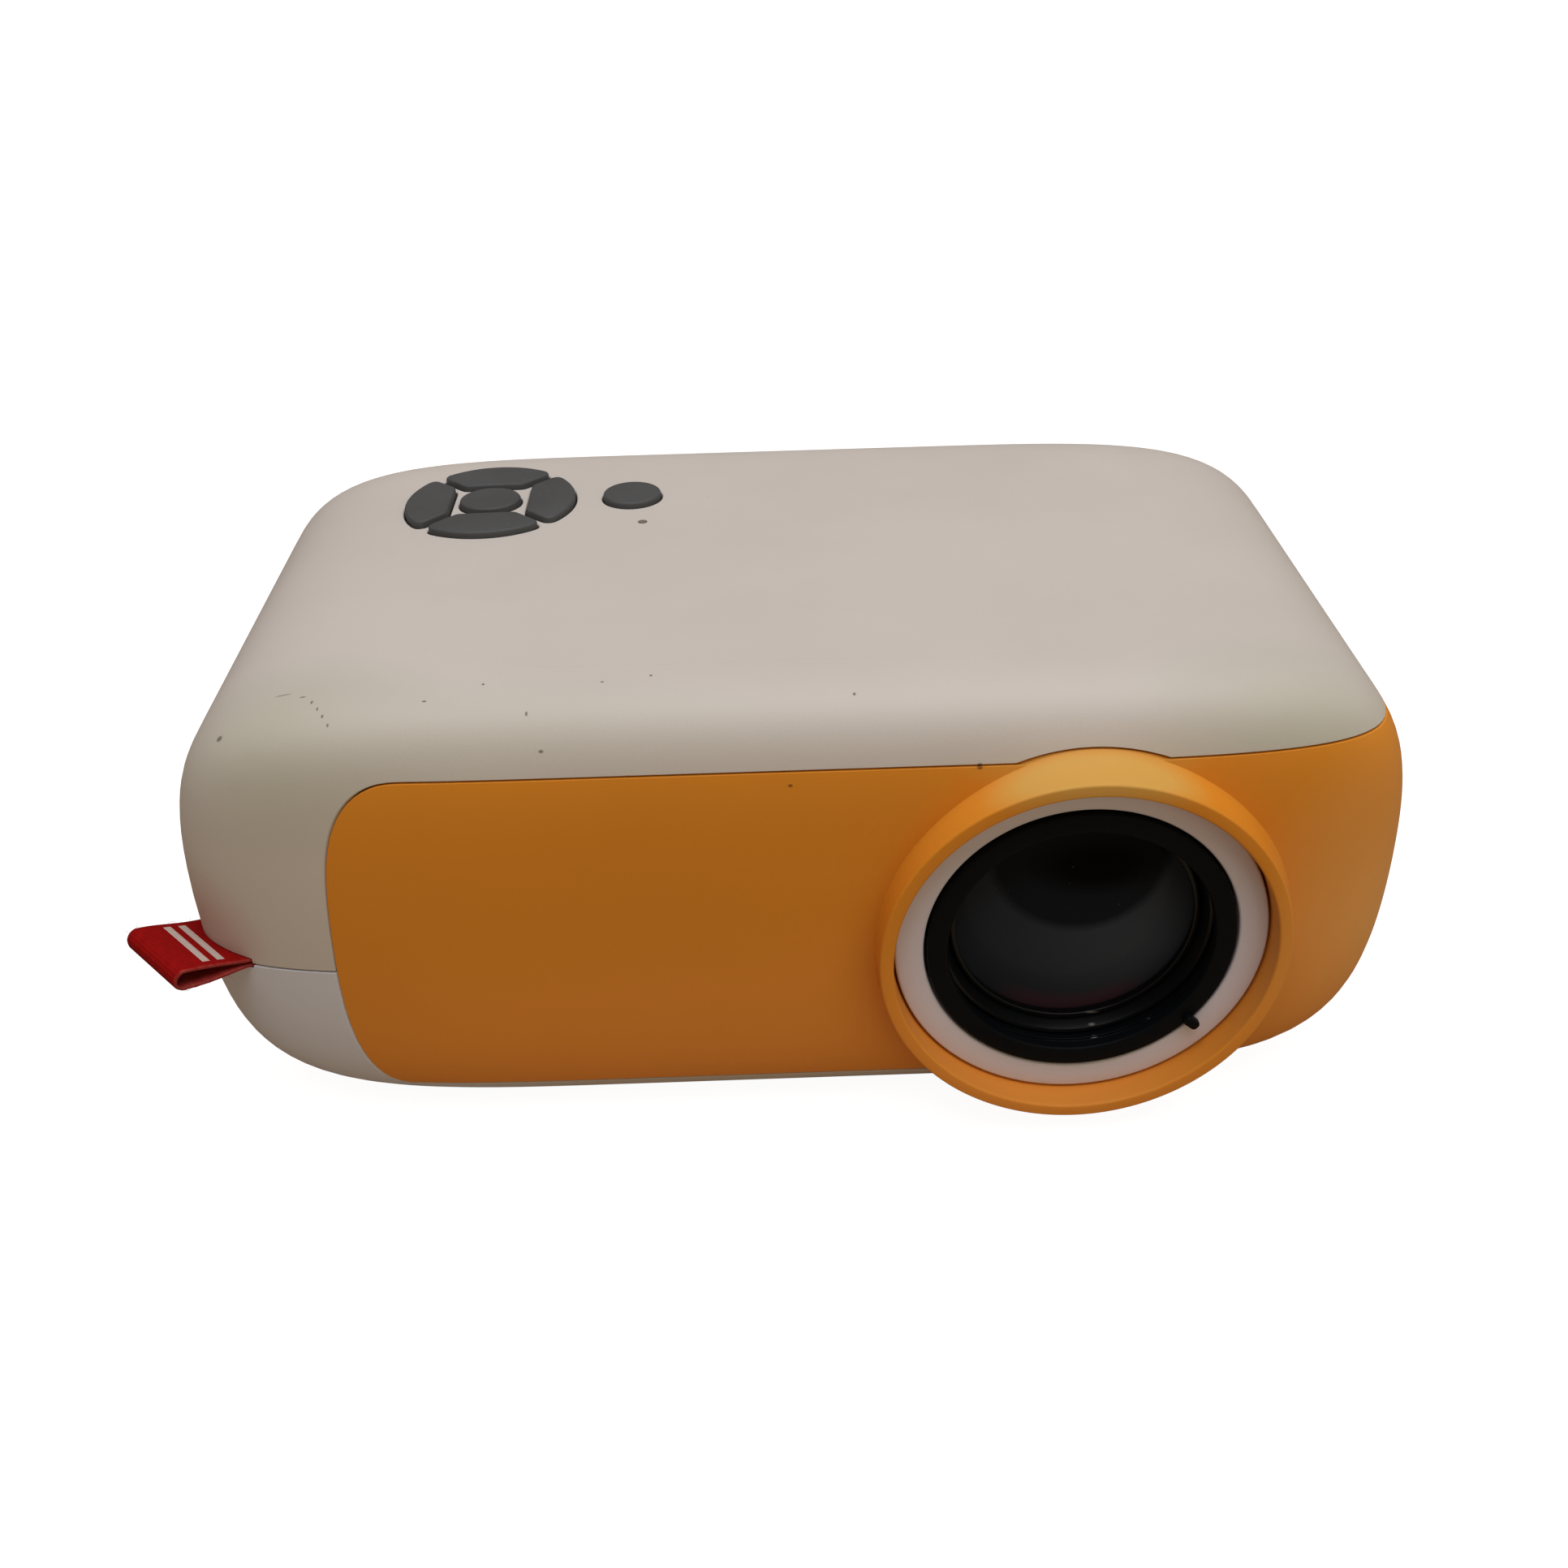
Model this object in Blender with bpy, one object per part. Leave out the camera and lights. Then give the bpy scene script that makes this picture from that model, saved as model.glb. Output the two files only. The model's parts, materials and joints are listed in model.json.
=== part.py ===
"""Mini video projector with a front cover that wraps round onto its right side.

The case is a soft pebble in two halves, with the cover let in flush. Behind the cover's round hood sits a
focusing lens; inside are the folded optical engine, its lamp, heatsink and fan, the key board, the main
board with its row of sockets, and a small speaker. Each of them is its own solid.

Units are metres. +Z is up and -Y is the front, where the lens looks out. Pieces are worked out in the
case's own coordinates, with x and y from the middle of the case and z from the table. An empty then
shifts the case so that the origin lies at the bottom centre of the whole object.
"""

from math import acos, asin, cos, hypot, pi, radians, sin, sqrt, tan

import bmesh
import bpy
import numpy as np
from mathutils import Vector

# General values
GAP = 0.0003
OVERRUN = 0.0010
MERGE = 0.000001
SMOOTH_ANGLE = radians(32)
ROUND_SEGMENTS = 32
SMALL_SEGMENTS = 14
POST_SEGMENTS = 10
ARC_STEPS = 3

# Case form
BODY_WIDTH = 0.1400
BODY_DEPTH = 0.0840
BODY_HEIGHT = 0.0545
STANDOFF = 0.0020
WALL = 0.0022
END_ROUND = 0.0546
FACE_ROUND = 0.01845
CROWN_RISE = 0.0439
BELLY_RISE = 0.0540
PLAN_EXPONENT = 4.31
PROFILE_EXPONENT = 5.95
FLAT_SHARE = 0.50
CORNER_STEPS = 7
CROWN_STEPS = 7
BELLY_STEPS = 6
SEAM_HEIGHT = 0.0230
SEAM_LIP_HEIGHT = 0.0014
SEAM_LIP_WALL = 0.0008

# Front cover
PANEL_THICK = 0.0012
PANEL_LEFT_MARGIN = 0.0177
PANEL_SIDE_SHARE = 0.512
PANEL_LOW = 0.0043
PANEL_HIGH = 0.0472
PANEL_END_ROUND = 0.0092
PANEL_HIGH_ROUND = 0.0120
PANEL_LOW_ROUND = 0.0155
PANEL_LEAN = radians(3.5)
PANEL_LEFT_END_ROUND = 0.0088
PANEL_LEFT_HIGH_ROUND = 0.0183
PANEL_LEFT_LOW_ROUND = 0.0016
PANEL_LEFT_EXPONENT = 4
PANEL_LEFT_TIP = 0.0001
PANEL_LEDGE = 0.0030
PANEL_ROWS = 8
ROUND_STEPS = 5
BORDER_STEPS = 8

# Lens place and hood
LENS_EDGE = 0.0313
LENS_INSET_SHARE = 0.05
LENS_HEIGHT = 0.0245
HOOD_PROUD = 0.0035
HOOD_RADIUS = 0.0229
HOOD_FLARE = 0.0012
HOOD_FLARE_DEPTH = 0.0018
HOOD_FLARE_EXPONENT = 3
HOOD_LIP_ROUND = 0.0003
HOOD_SEAT = 0.0026
HOOD_COLLAR_WALL = 0.0016
HOOD_SHELF_THICK = 0.0014

# White ring round the lens
TRIM_RADIUS = 0.0210
TRIM_BORE = 0.0177
TRIM_SETBACK = 0.0032
TRIM_THICK = 0.0023
TRIM_CHAMFER = 0.0008

# Focus ring
FOCUS_PROUD = 0.0004
FOCUS_LIP_RADIUS = 0.0150
FOCUS_LIP_THICK = 0.0013
FOCUS_EDGE = 0.0003
FOCUS_FLANGE = 0.0018
FOCUS_TUBE_RADIUS = 0.0171
FOCUS_TUBE_WALL = 0.0011
FOCUS_LENGTH = 0.0150
FOCUS_TRAVEL = 0.0020
NUB_WIDTH = 0.0012
NUB_REACH = 0.0009
NUB_THICK = 0.0011
NUB_ANGLE = radians(-40)

# Lens sleeve, which carries the focus ring and guides the lens cell
SLEEVE_WALL = 0.0016
SLEEVE_FLANGE_WIDTH = 0.0020
SLEEVE_FLANGE_THICK = 0.0020
SHELF_MARGIN = 0.0006
LUG_WIDTH = 0.0020
LUG_REACH = 0.0011
LUG_LENGTH = 0.0040

# Lens cell and its glass
CELL_WALL = 0.0011
CELL_MOUTH = 0.0012
RETAINER_WIDTH = 0.0006
RETAINER_THICK = 0.0012
FRONT_GLASS_EDGE = 0.0025
FRONT_GLASS_BULGE = 0.0024
FRONT_GLASS_BACK_BULGE = 0.0012
CELL_SHELF_WIDTH = 0.0016
CELL_SHELF_THICK = 0.0020
REAR_WALL = 0.0036
REAR_GLASS_EDGE = 0.0020
REAR_GLASS_BULGE = 0.0013
REAR_SHELF_WIDTH = 0.0012
REAR_SETBACK = 0.0004

# Optical engine
ENGINE_CENTRE_SHARE = 1 / 42
ENGINE_DEPTH_SHARE = 3 / 7
ENGINE_HEIGHT = 0.0340
ENGINE_WALL = 0.0020
ENGINE_LID = 0.0015
ENGINE_END_CLEARANCE = 0.0010
ENGINE_POST_RADIUS = 0.0022
ENGINE_POST_INSET = 0.0045
MIRROR_REACH_SHARE = 0.70
MIRROR_THICK = 0.0015
OPTIC_SPACING_SHARE = 3 / 140
GROOVE_DEPTH = 0.0010
PLATE_THICKNESSES = (
    ("fresnel_front", 0.0015),
    ("lcd_panel", 0.0022),
    ("fresnel_rear", 0.0015),
    ("heat_glass", 0.0010),
)
CONDENSER_RADIUS = 0.0130
CONDENSER_RISE = 0.0070
CONDENSER_FLANGE = 0.0015
CONDENSER_STANDOFF = 0.0010

# Lamp, heatsink and fan
LAMP_SIZE = 0.0120
LAMP_THICK = 0.0018
LAMP_HOLE_MARGIN = 0.0010
LAMP_BOARD_SIZE = 0.0300
LAMP_BOARD_THICK = 0.0016
HEATSINK_INSET = 0.0005
HEATSINK_BASE = 0.0025
HEATSINK_FIN = 0.0010
HEATSINK_FINS = 9
FAN_DEPTH_SHARE = 5 / 12
FAN_HEIGHT_SHARE = 9 / 14
FAN_THICK = 0.0100
FAN_RIM = 0.0010
FAN_WALL_CLEARANCE = 0.0010
FAN_HUB_RADIUS = 0.0080
FAN_HUB_THICK = 0.0060
FAN_TIP_CLEARANCE = 0.0007
FAN_BLADE_CHORD = 0.0080
FAN_BLADE_THICK = 0.0008
FAN_BLADE_PITCH = radians(38)
FAN_BLADES = 7
FAN_STRUT_WIDTH = 0.0022
FAN_STRUT_THICK = 0.0014
FAN_BEARING_RADIUS = 0.0030
FAN_BEARING_REACH = 0.0022
FAN_SHAFT_RADIUS = 0.0010

# Keys
PAD_INSET_X = 0.0318
PAD_INSET_Y = 0.0239
PAD_RADIUS = 0.0112
PAD_SPLIT = 0.0012
ARC_KEY_INNER = 0.0047
SIDE_KEY_INNER = 0.0051
OK_KEY_WIDTH = 0.0080
OK_KEY_DEPTH = 0.0074
KEY_PROUD = 0.0010
KEY_TRAVEL = 0.0006
KEY_CORNER = 0.0007
KEY_TOP_ROUND = 0.00045
KEY_HOLE_GAP = 0.00022
KEY_FLANGE = 0.00042
KEY_FLANGE_THICK = 0.0008
KEY_STEM_RADIUS = 0.0010
KEY_STEM_INTO_SWITCH = 0.0005
KEY_STEM_OFFSET_SHARE = 0.70
POWER_KEY_OFFSET_X = 0.0187
POWER_KEY_OFFSET_Y = 0.0006
POWER_KEY_RADIUS = 0.0038
LIGHT_OFFSET_X = 0.0204
LIGHT_OFFSET_Y = -0.0077
LIGHT_RADIUS = 0.0005
LIGHT_WIDTH = 0.0012

# Key board and its switches
SWITCH_SIZE = 0.0045
SWITCH_HEIGHT = 0.0032
SWITCH_BORE_DEPTH = 0.0018
KEY_BOARD_THICK = 0.0012
KEY_BOARD_MARGIN = 0.0015
KEY_POST_RADIUS = 0.0014
KEY_POST_INSET = 0.0018

# Case screws and their bosses
BOSS_INSET_X = 0.0130
BOSS_INSET_Y = 0.0150
BOSS_RADIUS = 0.0032
BOSS_SPLIT_HEIGHT = 0.0120
SCREW_RADIUS = 0.00125
SCREW_HEAD_RADIUS = 0.0024
SCREW_HEAD_THICK = 0.0018
SCREW_SEAT_THICK = 0.0040
SCREW_GRIP = 0.0080
SCREW_SLOT_WIDTH = 0.0006
SCREW_SLOT_DEPTH = 0.0008

# Feet
FOOT_INSET_X = 0.0250
FOOT_INSET_Y = 0.0170
FOOT_RADIUS = 0.0050
FOOT_SEAT_DEPTH = 0.0010
FOOT_EDGE = 0.0004

# Tripod socket
TRIPOD_BORE = 0.0031
TRIPOD_RADIUS = 0.0046
TRIPOD_POST_WALL = 0.0014
TRIPOD_ROOF = 0.0008

# Main board and the row of sockets along its rear edge
BOARD_HEIGHT = 0.0125
BOARD_THICK = 0.0016
BOARD_EDGE_CLEARANCE = 0.0016
BOARD_POST_RADIUS = 0.0020
BOARD_POST_INSET = 0.0040
PORT_ROW_START_SHARE = -1 / 4
PORT_ROW_END_SHARE = 1 / 3
PORT_GAPS = 5
PORT_SETBACK = 0.0008
IR_CASE_WIDTH = 0.0056
IR_CASE_HEIGHT = 0.0064
IR_CASE_DEPTH = 0.0040
IR_WINDOW_RADIUS = 0.0025
DC_WIDTH = 0.0090
DC_HEIGHT = 0.0084
DC_DEPTH = 0.0120
DC_BORE = 0.0030
DC_PIN = 0.0010
DC_BORE_DEPTH = 0.0095
AV_WIDTH = 0.0065
AV_HEIGHT = 0.0052
AV_DEPTH = 0.0120
AV_BORE = 0.0018
AV_BORE_DEPTH = 0.0100
USB_WIDTH = 0.0134
USB_HEIGHT = 0.0062
USB_DEPTH = 0.0130
USB_SKIN = 0.0004
USB_TONGUE_THICK = 0.0007
USB_TONGUE_WIDTH = 0.0100
HDMI_WIDTH = 0.0150
HDMI_HEIGHT = 0.0056
HDMI_DEPTH = 0.0110
HDMI_SKIN = 0.0005
HDMI_CORNER = 0.0015
HDMI_TONGUE_THICK = 0.0005
HDMI_TONGUE_WIDTH = 0.0100
CARD_WIDTH = 0.0130
CARD_HEIGHT = 0.0022
CARD_DEPTH = 0.0120
CARD_SLOT_HEIGHT = 0.0010
CARD_SLOT_WIDTH = 0.0112
CHIP_SIZE = 0.0090
CHIP_THICK = 0.0024
CHIP_SHARE = 0.60

# Speaker in its collar behind the cover's side
SPEAKER_OFFSET = 0.0010
SPEAKER_HEIGHT = 0.0265
SPEAKER_RADIUS = 0.0135
SPEAKER_RIM = 0.0020
SPEAKER_RIM_THICK = 0.0015
SPEAKER_BODY_RADIUS = 0.0105
SPEAKER_BODY_DEPTH = 0.0050
SPEAKER_CONE_DEPTH = 0.0030
SPEAKER_CAP_RADIUS = 0.0040
SPEAKER_MAGNET_RADIUS = 0.0070
SPEAKER_MAGNET_THICK = 0.0035
SPEAKER_COLLAR_WALL = 0.0012
SPEAKER_COLLAR_DEPTH = 0.0055
SPEAKER_SLOTS = 5
SPEAKER_SLOT_HEIGHT = 0.0016
SPEAKER_SLOT_PITCH = 0.0038
SPEAKER_SLOT_RADIUS = 0.0105

# Air slots
VENT_HEIGHT = 0.0018
VENT_LENGTH = 0.0280
VENT_PITCH = 0.0040
VENTS_ABOVE = 4
VENTS_BELOW = 3
INTAKE_SLOTS = 6
INTAKE_WIDTH = 0.0018
INTAKE_LENGTH = 0.0200
INTAKE_PITCH = 0.0042
INTAKE_INSET = 0.0400

# Ribbon tag held in the seam at the front left corner
TAG_ANGLE = radians(223)
TAG_INSET_X = 0.0046
TAG_INSET_Y = 0.0076
TAG_WIDTH = 0.0113
TAG_THICK = 0.0005
TAG_REACH = 0.0084
TAG_INSIDE = 0.0052
TAG_LOOP_HEIGHT = 0.0023
TAG_STEPS = 7
TAG_RISE = 0.0021

# Places that follow from the sizes above
CORE_X = BODY_WIDTH / 2 - END_ROUND
CORE_Y = BODY_DEPTH / 2 - FACE_ROUND
FRONT_Y = -BODY_DEPTH / 2
PANEL_LEFT_RUN = BODY_WIDTH / 2 - PANEL_LEFT_MARGIN
PANEL_SIDE_REACH = BODY_DEPTH * PANEL_SIDE_SHARE
LENS_INSET = LENS_EDGE + BODY_WIDTH * LENS_INSET_SHARE
LENS_X = BODY_WIDTH / 2 - LENS_INSET
OPTIC_SPACING = BODY_WIDTH * OPTIC_SPACING_SHARE
PAD_X = PAD_INSET_X - BODY_WIDTH / 2
PAD_Y = BODY_DEPTH / 2 - PAD_INSET_Y
BOSS_X = BODY_WIDTH / 2 - BOSS_INSET_X
BOSS_Y = BODY_DEPTH / 2 - BOSS_INSET_Y
FOOT_X = BODY_WIDTH / 2 - FOOT_INSET_X
FOOT_Y = BODY_DEPTH / 2 - FOOT_INSET_Y
PORT_ROW_START = BODY_WIDTH * PORT_ROW_START_SHARE
PORT_ROW_LENGTH = BODY_WIDTH * PORT_ROW_END_SHARE - PORT_ROW_START
PORT_WIDTHS = IR_CASE_WIDTH + DC_WIDTH + AV_WIDTH + USB_WIDTH + HDMI_WIDTH + CARD_WIDTH
PORT_SPACING = (PORT_ROW_LENGTH - PORT_WIDTHS) / PORT_GAPS
INTAKE_X = INTAKE_INSET - BODY_WIDTH / 2
TAG_X = TAG_INSET_X - BODY_WIDTH / 2
TAG_Y = TAG_INSET_Y - BODY_DEPTH / 2
SPEAKER_Y = SPEAKER_OFFSET
ENGINE_CENTRE_Y = BODY_DEPTH * ENGINE_CENTRE_SHARE
ENGINE_DEPTH = BODY_DEPTH * ENGINE_DEPTH_SHARE
FAN_SIZE = min(BODY_DEPTH * FAN_DEPTH_SHARE, BODY_HEIGHT * FAN_HEIGHT_SHARE)
HEATSINK_SIZE = FAN_SIZE - 2 * HEATSINK_INSET
FAN_BORE = FAN_SIZE / 2 - FAN_RIM
FAN_BLADE_REACH = FAN_BORE - FAN_HUB_RADIUS - FAN_TIP_CLEARANCE
TOP_Z = STANDOFF + BODY_HEIGHT
CEILING_Z = TOP_Z - WALL
FLOOR_Z = STANDOFF + WALL
SEAM_Z = STANDOFF + SEAM_HEIGHT
LENS_Z = STANDOFF + LENS_HEIGHT
LIP_Y = FRONT_Y - HOOD_PROUD
TRIM_Y = LIP_Y + TRIM_SETBACK
SHELF_Y = TRIM_Y + TRIM_THICK + GAP
COLLAR_END_Y = SHELF_Y + HOOD_SHELF_THICK
HOOD_BORE = TRIM_RADIUS + GAP
HOOD_COLLAR_RADIUS = HOOD_BORE + HOOD_COLLAR_WALL
FOCUS_Y = TRIM_Y - FOCUS_PROUD
FOCUS_RADIUS = TRIM_BORE - GAP
FOCUS_BORE = FOCUS_TUBE_RADIUS - FOCUS_TUBE_WALL
FOCUS_END_Y = FOCUS_Y + FOCUS_LENGTH
SLEEVE_BORE = FOCUS_TUBE_RADIUS + GAP
SLEEVE_RADIUS = SLEEVE_BORE + SLEEVE_WALL
SHELF_RADIUS = SLEEVE_RADIUS + SHELF_MARGIN
CELL_RADIUS = FOCUS_BORE - GAP
CELL_Y = FOCUS_Y + FOCUS_LIP_THICK + GAP + FOCUS_TRAVEL
ENGINE_FRONT_Y = ENGINE_CENTRE_Y - ENGINE_DEPTH / 2
ENGINE_REAR_Y = ENGINE_CENTRE_Y + ENGINE_DEPTH / 2
ENGINE_LOW_Z = LENS_Z - ENGINE_HEIGHT / 2
ENGINE_HIGH_Z = LENS_Z + ENGINE_HEIGHT / 2
SLEEVE_END_Y = ENGINE_FRONT_Y - GAP
SLEEVE_STEP_Y = FOCUS_END_Y + GAP
CELL_END_Y = SLEEVE_END_Y - FOCUS_TRAVEL - GAP
MIRROR_LENGTH = (ENGINE_DEPTH - 2 * ENGINE_WALL) * sqrt(2) * MIRROR_REACH_SHARE
MIRROR_HALF = (MIRROR_LENGTH + MIRROR_THICK) / 2 / sqrt(2)
ENGINE_RIGHT_X = LENS_X + MIRROR_HALF + ENGINE_END_CLEARANCE + ENGINE_WALL
BOARD_TOP_Z = STANDOFF + BOARD_HEIGHT
PORT_BASE_Z = BOARD_TOP_Z + GAP
SPEAKER_Z = STANDOFF + SPEAKER_HEIGHT


# Meshes and objects


def made_mesh(name, points, faces):
    mesh = bpy.data.meshes.new(name)
    mesh.from_pydata([tuple(point) for point in points], [], faces)
    shape = bmesh.new()
    shape.from_mesh(mesh)
    bmesh.ops.remove_doubles(shape, verts=shape.verts, dist=MERGE)
    bmesh.ops.recalc_face_normals(shape, faces=shape.faces)
    shape.to_mesh(mesh)
    shape.free()
    return mesh


def joined(name, parts):
    """One mesh from several lists of points and faces that don't touch."""
    points = []
    faces = []
    for part_points, part_faces in parts:
        start = len(points)
        points.extend(part_points)
        faces.extend([tuple(start + index for index in face) for face in part_faces])
    return made_mesh(name, points, faces)


def block(low, high):
    points = [(x, y, z) for x in (low[0], high[0]) for y in (low[1], high[1]) for z in (low[2], high[2])]
    faces = [(0, 1, 3, 2), (4, 6, 7, 5), (0, 4, 5, 1), (2, 3, 7, 6), (0, 2, 6, 4), (1, 5, 7, 3)]
    return points, faces


def prism(outline, low, high):
    """An upright prism on a list of (x, y) points."""
    count = len(outline)
    points = [(x, y, low) for x, y in outline] + [(x, y, high) for x, y in outline]
    faces = [tuple(range(count)), tuple(range(count, 2 * count))]
    for index in range(count):
        after = (index + 1) % count
        faces.append((index, after, count + after, count + index))
    return points, faces


def turned(profile, axis, centre=(0, 0), segments=ROUND_SEGMENTS, ring=False):
    """A profile of (radius, distance along the axis) points turned round an axis parallel to X, Y or Z.

    A profile that starts and ends on the axis gives a plain solid, and a ring's profile closes on itself.
    """
    points = []
    for radius, along in profile:
        for step in range(segments):
            angle = 2 * pi * step / segments
            across = centre[0] + radius * cos(angle)
            upward = centre[1] + radius * sin(angle)
            if axis == "X":
                points.append((along, across, upward))
            elif axis == "Y":
                points.append((across, along, upward))
            else:
                points.append((across, upward, along))
    faces = []
    rows = len(profile)
    for row in range(rows if ring else rows - 1):
        below = row * segments
        above = (row + 1) % rows * segments
        for step in range(segments):
            after = (step + 1) % segments
            faces.append((below + step, below + after, above + after, above + step))
    return points, faces


def disc(radius, low, high):
    """The profile of a plain cylinder."""
    return [(0, low), (radius, low), (radius, high), (0, high)]


def tube(inner, outer, low, high):
    return [(inner, low), (outer, low), (outer, high), (inner, high)]


def material(name, colour, roughness, metallic=0.0):
    made = bpy.data.materials.new(name)
    made.use_nodes = True
    shader = made.node_tree.nodes["Principled BSDF"]
    shader.inputs["Base Color"].default_value = (*colour, 1)
    shader.inputs["Roughness"].default_value = roughness
    shader.inputs["Metallic"].default_value = metallic
    made.diffuse_color = (*colour, 1)
    return made


class Assembly:
    """The empty that carries every piece, with the finishes that the pieces share."""

    def __init__(self, shift):
        self.frame = bpy.data.objects.new("case_frame", None)
        self.frame.location = shift
        bpy.context.collection.objects.link(self.frame)
        self.finishes = {
            "white_plastic": material("white_plastic", (0.56, 0.51, 0.46), 0.45),
            "orange_plastic": material("orange_plastic", (0.62, 0.26, 0.035), 0.48),
            "black_plastic": material("black_plastic", (0.012, 0.012, 0.012), 0.40),
            "key_rubber": material("key_rubber", (0.085, 0.085, 0.088), 0.60),
            "foot_rubber": material("foot_rubber", (0.03, 0.03, 0.03), 0.85),
            "lens_glass": material("lens_glass", (0.02, 0.02, 0.022), 0.05),
            "clear_optic": material("clear_optic", (0.75, 0.80, 0.82), 0.10),
            "mirror_glass": material("mirror_glass", (0.85, 0.85, 0.86), 0.04, 1.0),
            "board_green": material("board_green", (0.02, 0.14, 0.06), 0.45),
            "socket_steel": material("socket_steel", (0.60, 0.60, 0.60), 0.30, 1.0),
            "fin_aluminium": material("fin_aluminium", (0.70, 0.70, 0.71), 0.40, 1.0),
            "screw_steel": material("screw_steel", (0.20, 0.20, 0.21), 0.35, 1.0),
            "insert_brass": material("insert_brass", (0.72, 0.52, 0.22), 0.30, 1.0),
            "lamp_phosphor": material("lamp_phosphor", (0.85, 0.72, 0.15), 0.50),
            "red_ribbon": material("red_ribbon", (0.23, 0.004, 0.003), 0.80),
        }

    def piece(self, name, mesh, finish, origin=(0, 0, 0), smooth=True):
        """Adds a named sub-part whose mesh is given in case coordinates, with its origin where stated."""
        if any(origin):
            for point in mesh.vertices:
                point.co -= Vector(origin)
        if smooth:
            mesh.shade_smooth()
            mesh.set_sharp_from_angle(angle=SMOOTH_ANGLE)
        made = bpy.data.objects.new(name, mesh)
        made.location = origin
        made.parent = self.frame
        made.data.materials.append(self.finishes[finish])
        bpy.context.collection.objects.link(made)
        return made

    def guide(self, name, mesh):
        """Adds a helper solid that only cuts or joins other solids."""
        made = bpy.data.objects.new(name, mesh)
        made.parent = self.frame
        made.hide_render = True
        made.display_type = "WIRE"
        bpy.context.collection.objects.link(made)
        return made


def combine(target, other, operation):
    modifier = target.modifiers.new(other.name, "BOOLEAN")
    modifier.operation = operation
    modifier.solver = "EXACT"
    modifier.object = other


def cut(target, *cutters):
    for cutter in cutters:
        combine(target, cutter, "DIFFERENCE")


def rounded(target, width, segments=2, angle=radians(40)):
    modifier = target.modifiers.new("edge_rounds", "BEVEL")
    modifier.width = width
    modifier.segments = segments
    modifier.limit_method = "ANGLE"
    modifier.angle_limit = angle


# The pebble form


def fullness(z, inset):
    """Share of the corner radii that a level section keeps, on the skin that lies inset inside the case's."""
    height = z - STANDOFF
    rise = max((height - BODY_HEIGHT + CROWN_RISE) / (CROWN_RISE - inset), 0)
    fall = max((BELLY_RISE - height) / (BELLY_RISE - inset), 0)
    left = max(1 - rise**PROFILE_EXPONENT - fall**PROFILE_EXPONENT, 0)
    return max(left ** (1 / PROFILE_EXPONENT), FLAT_SHARE)


def corner_shares(turn):
    """How far round a corner a turn from 0 at the front or rear to a quarter at the side reaches, in x and y."""
    return sin(turn) ** (2 / PLAN_EXPONENT), max(cos(turn), 0) ** (2 / PLAN_EXPONENT)


def corner_turns():
    return [step * pi / 2 / CORNER_STEPS for step in range(CORNER_STEPS + 1)]


def level_section(z, inset):
    """The outline of the skin at one height, anticlockwise from the front's right end."""
    full = fullness(z, inset)
    reach_x = (END_ROUND - inset) * full
    reach_y = (FACE_ROUND - inset) * full
    turns = corner_turns()
    points = []
    for side_x, side_y, order in ((1, -1, turns), (1, 1, turns[::-1]), (-1, 1, turns), (-1, -1, turns[::-1])):
        for turn in order:
            share_x, share_y = corner_shares(turn)
            x = side_x * (CORE_X + reach_x * share_x)
            y = side_y * (CORE_Y + reach_y * share_y)
            points.append((x, y, z))
    return points


def skin_height(x, y, inset):
    """Height of a skin's crown over a point."""
    over_x = max((abs(x) - CORE_X) / (END_ROUND - inset), 0)
    over_y = max((abs(y) - CORE_Y) / (FACE_ROUND - inset), 0)
    full = max((over_x**PLAN_EXPONENT + over_y**PLAN_EXPONENT) ** (1 / PLAN_EXPONENT), FLAT_SHARE)
    level = (1 - full**PROFILE_EXPONENT) ** (1 / PROFILE_EXPONENT)
    flat = (1 - FLAT_SHARE**PROFILE_EXPONENT) ** (1 / PROFILE_EXPONENT)
    low = STANDOFF + BODY_HEIGHT - CROWN_RISE
    return low + (CROWN_RISE - inset) * (level if full > FLAT_SHARE else max(level, flat))


def half_width(z, inset):
    return CORE_X + (END_ROUND - inset) * fullness(z, inset)


def half_depth(z, inset):
    return CORE_Y + (FACE_ROUND - inset) * fullness(z, inset)


def loft(rows):
    """A closed solid through level sections, given as (height, inset) pairs, with a flat cap at each end."""
    points = []
    for z, inset in rows:
        points.extend(level_section(z, inset))
    count = len(level_section(SEAM_Z, 0))
    faces = [tuple(range(count)), tuple(range((len(rows) - 1) * count, len(rows) * count))]
    for row in range(len(rows) - 1):
        below = row * count
        above = below + count
        for step in range(count):
            after = (step + 1) % count
            faces.append((below + step, below + after, above + after, above + step))
    return points, faces


def crown_heights(inset, start_z):
    """Heights up a skin's crown, closer together where it turns over."""
    low = STANDOFF + BODY_HEIGHT - CROWN_RISE
    rise = CROWN_RISE - inset
    share = max(start_z - low, 0) / rise
    first = asin(share ** (PROFILE_EXPONENT / 2))
    last = acos(FLAT_SHARE ** (PROFILE_EXPONENT / 2))
    turns = [first + (last - first) * step / CROWN_STEPS for step in range(CROWN_STEPS)]
    heights = [low + rise * sin(turn) ** (2 / PROFILE_EXPONENT) for turn in turns]
    return [start_z] + heights[1:] + [low + rise]


def belly_heights(inset, start_z):
    """Heights down a skin's belly, closer together where it turns under."""
    high = STANDOFF + BELLY_RISE
    fall = BELLY_RISE - inset
    share = max(high - start_z, 0) / fall
    first = asin(share ** (PROFILE_EXPONENT / 2))
    last = acos(FLAT_SHARE ** (PROFILE_EXPONENT / 2))
    turns = [first + (last - first) * step / BELLY_STEPS for step in range(BELLY_STEPS)]
    heights = [high - fall * sin(turn) ** (2 / PROFILE_EXPONENT) for turn in turns]
    return [start_z] + heights[1:] + [high - fall]


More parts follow.
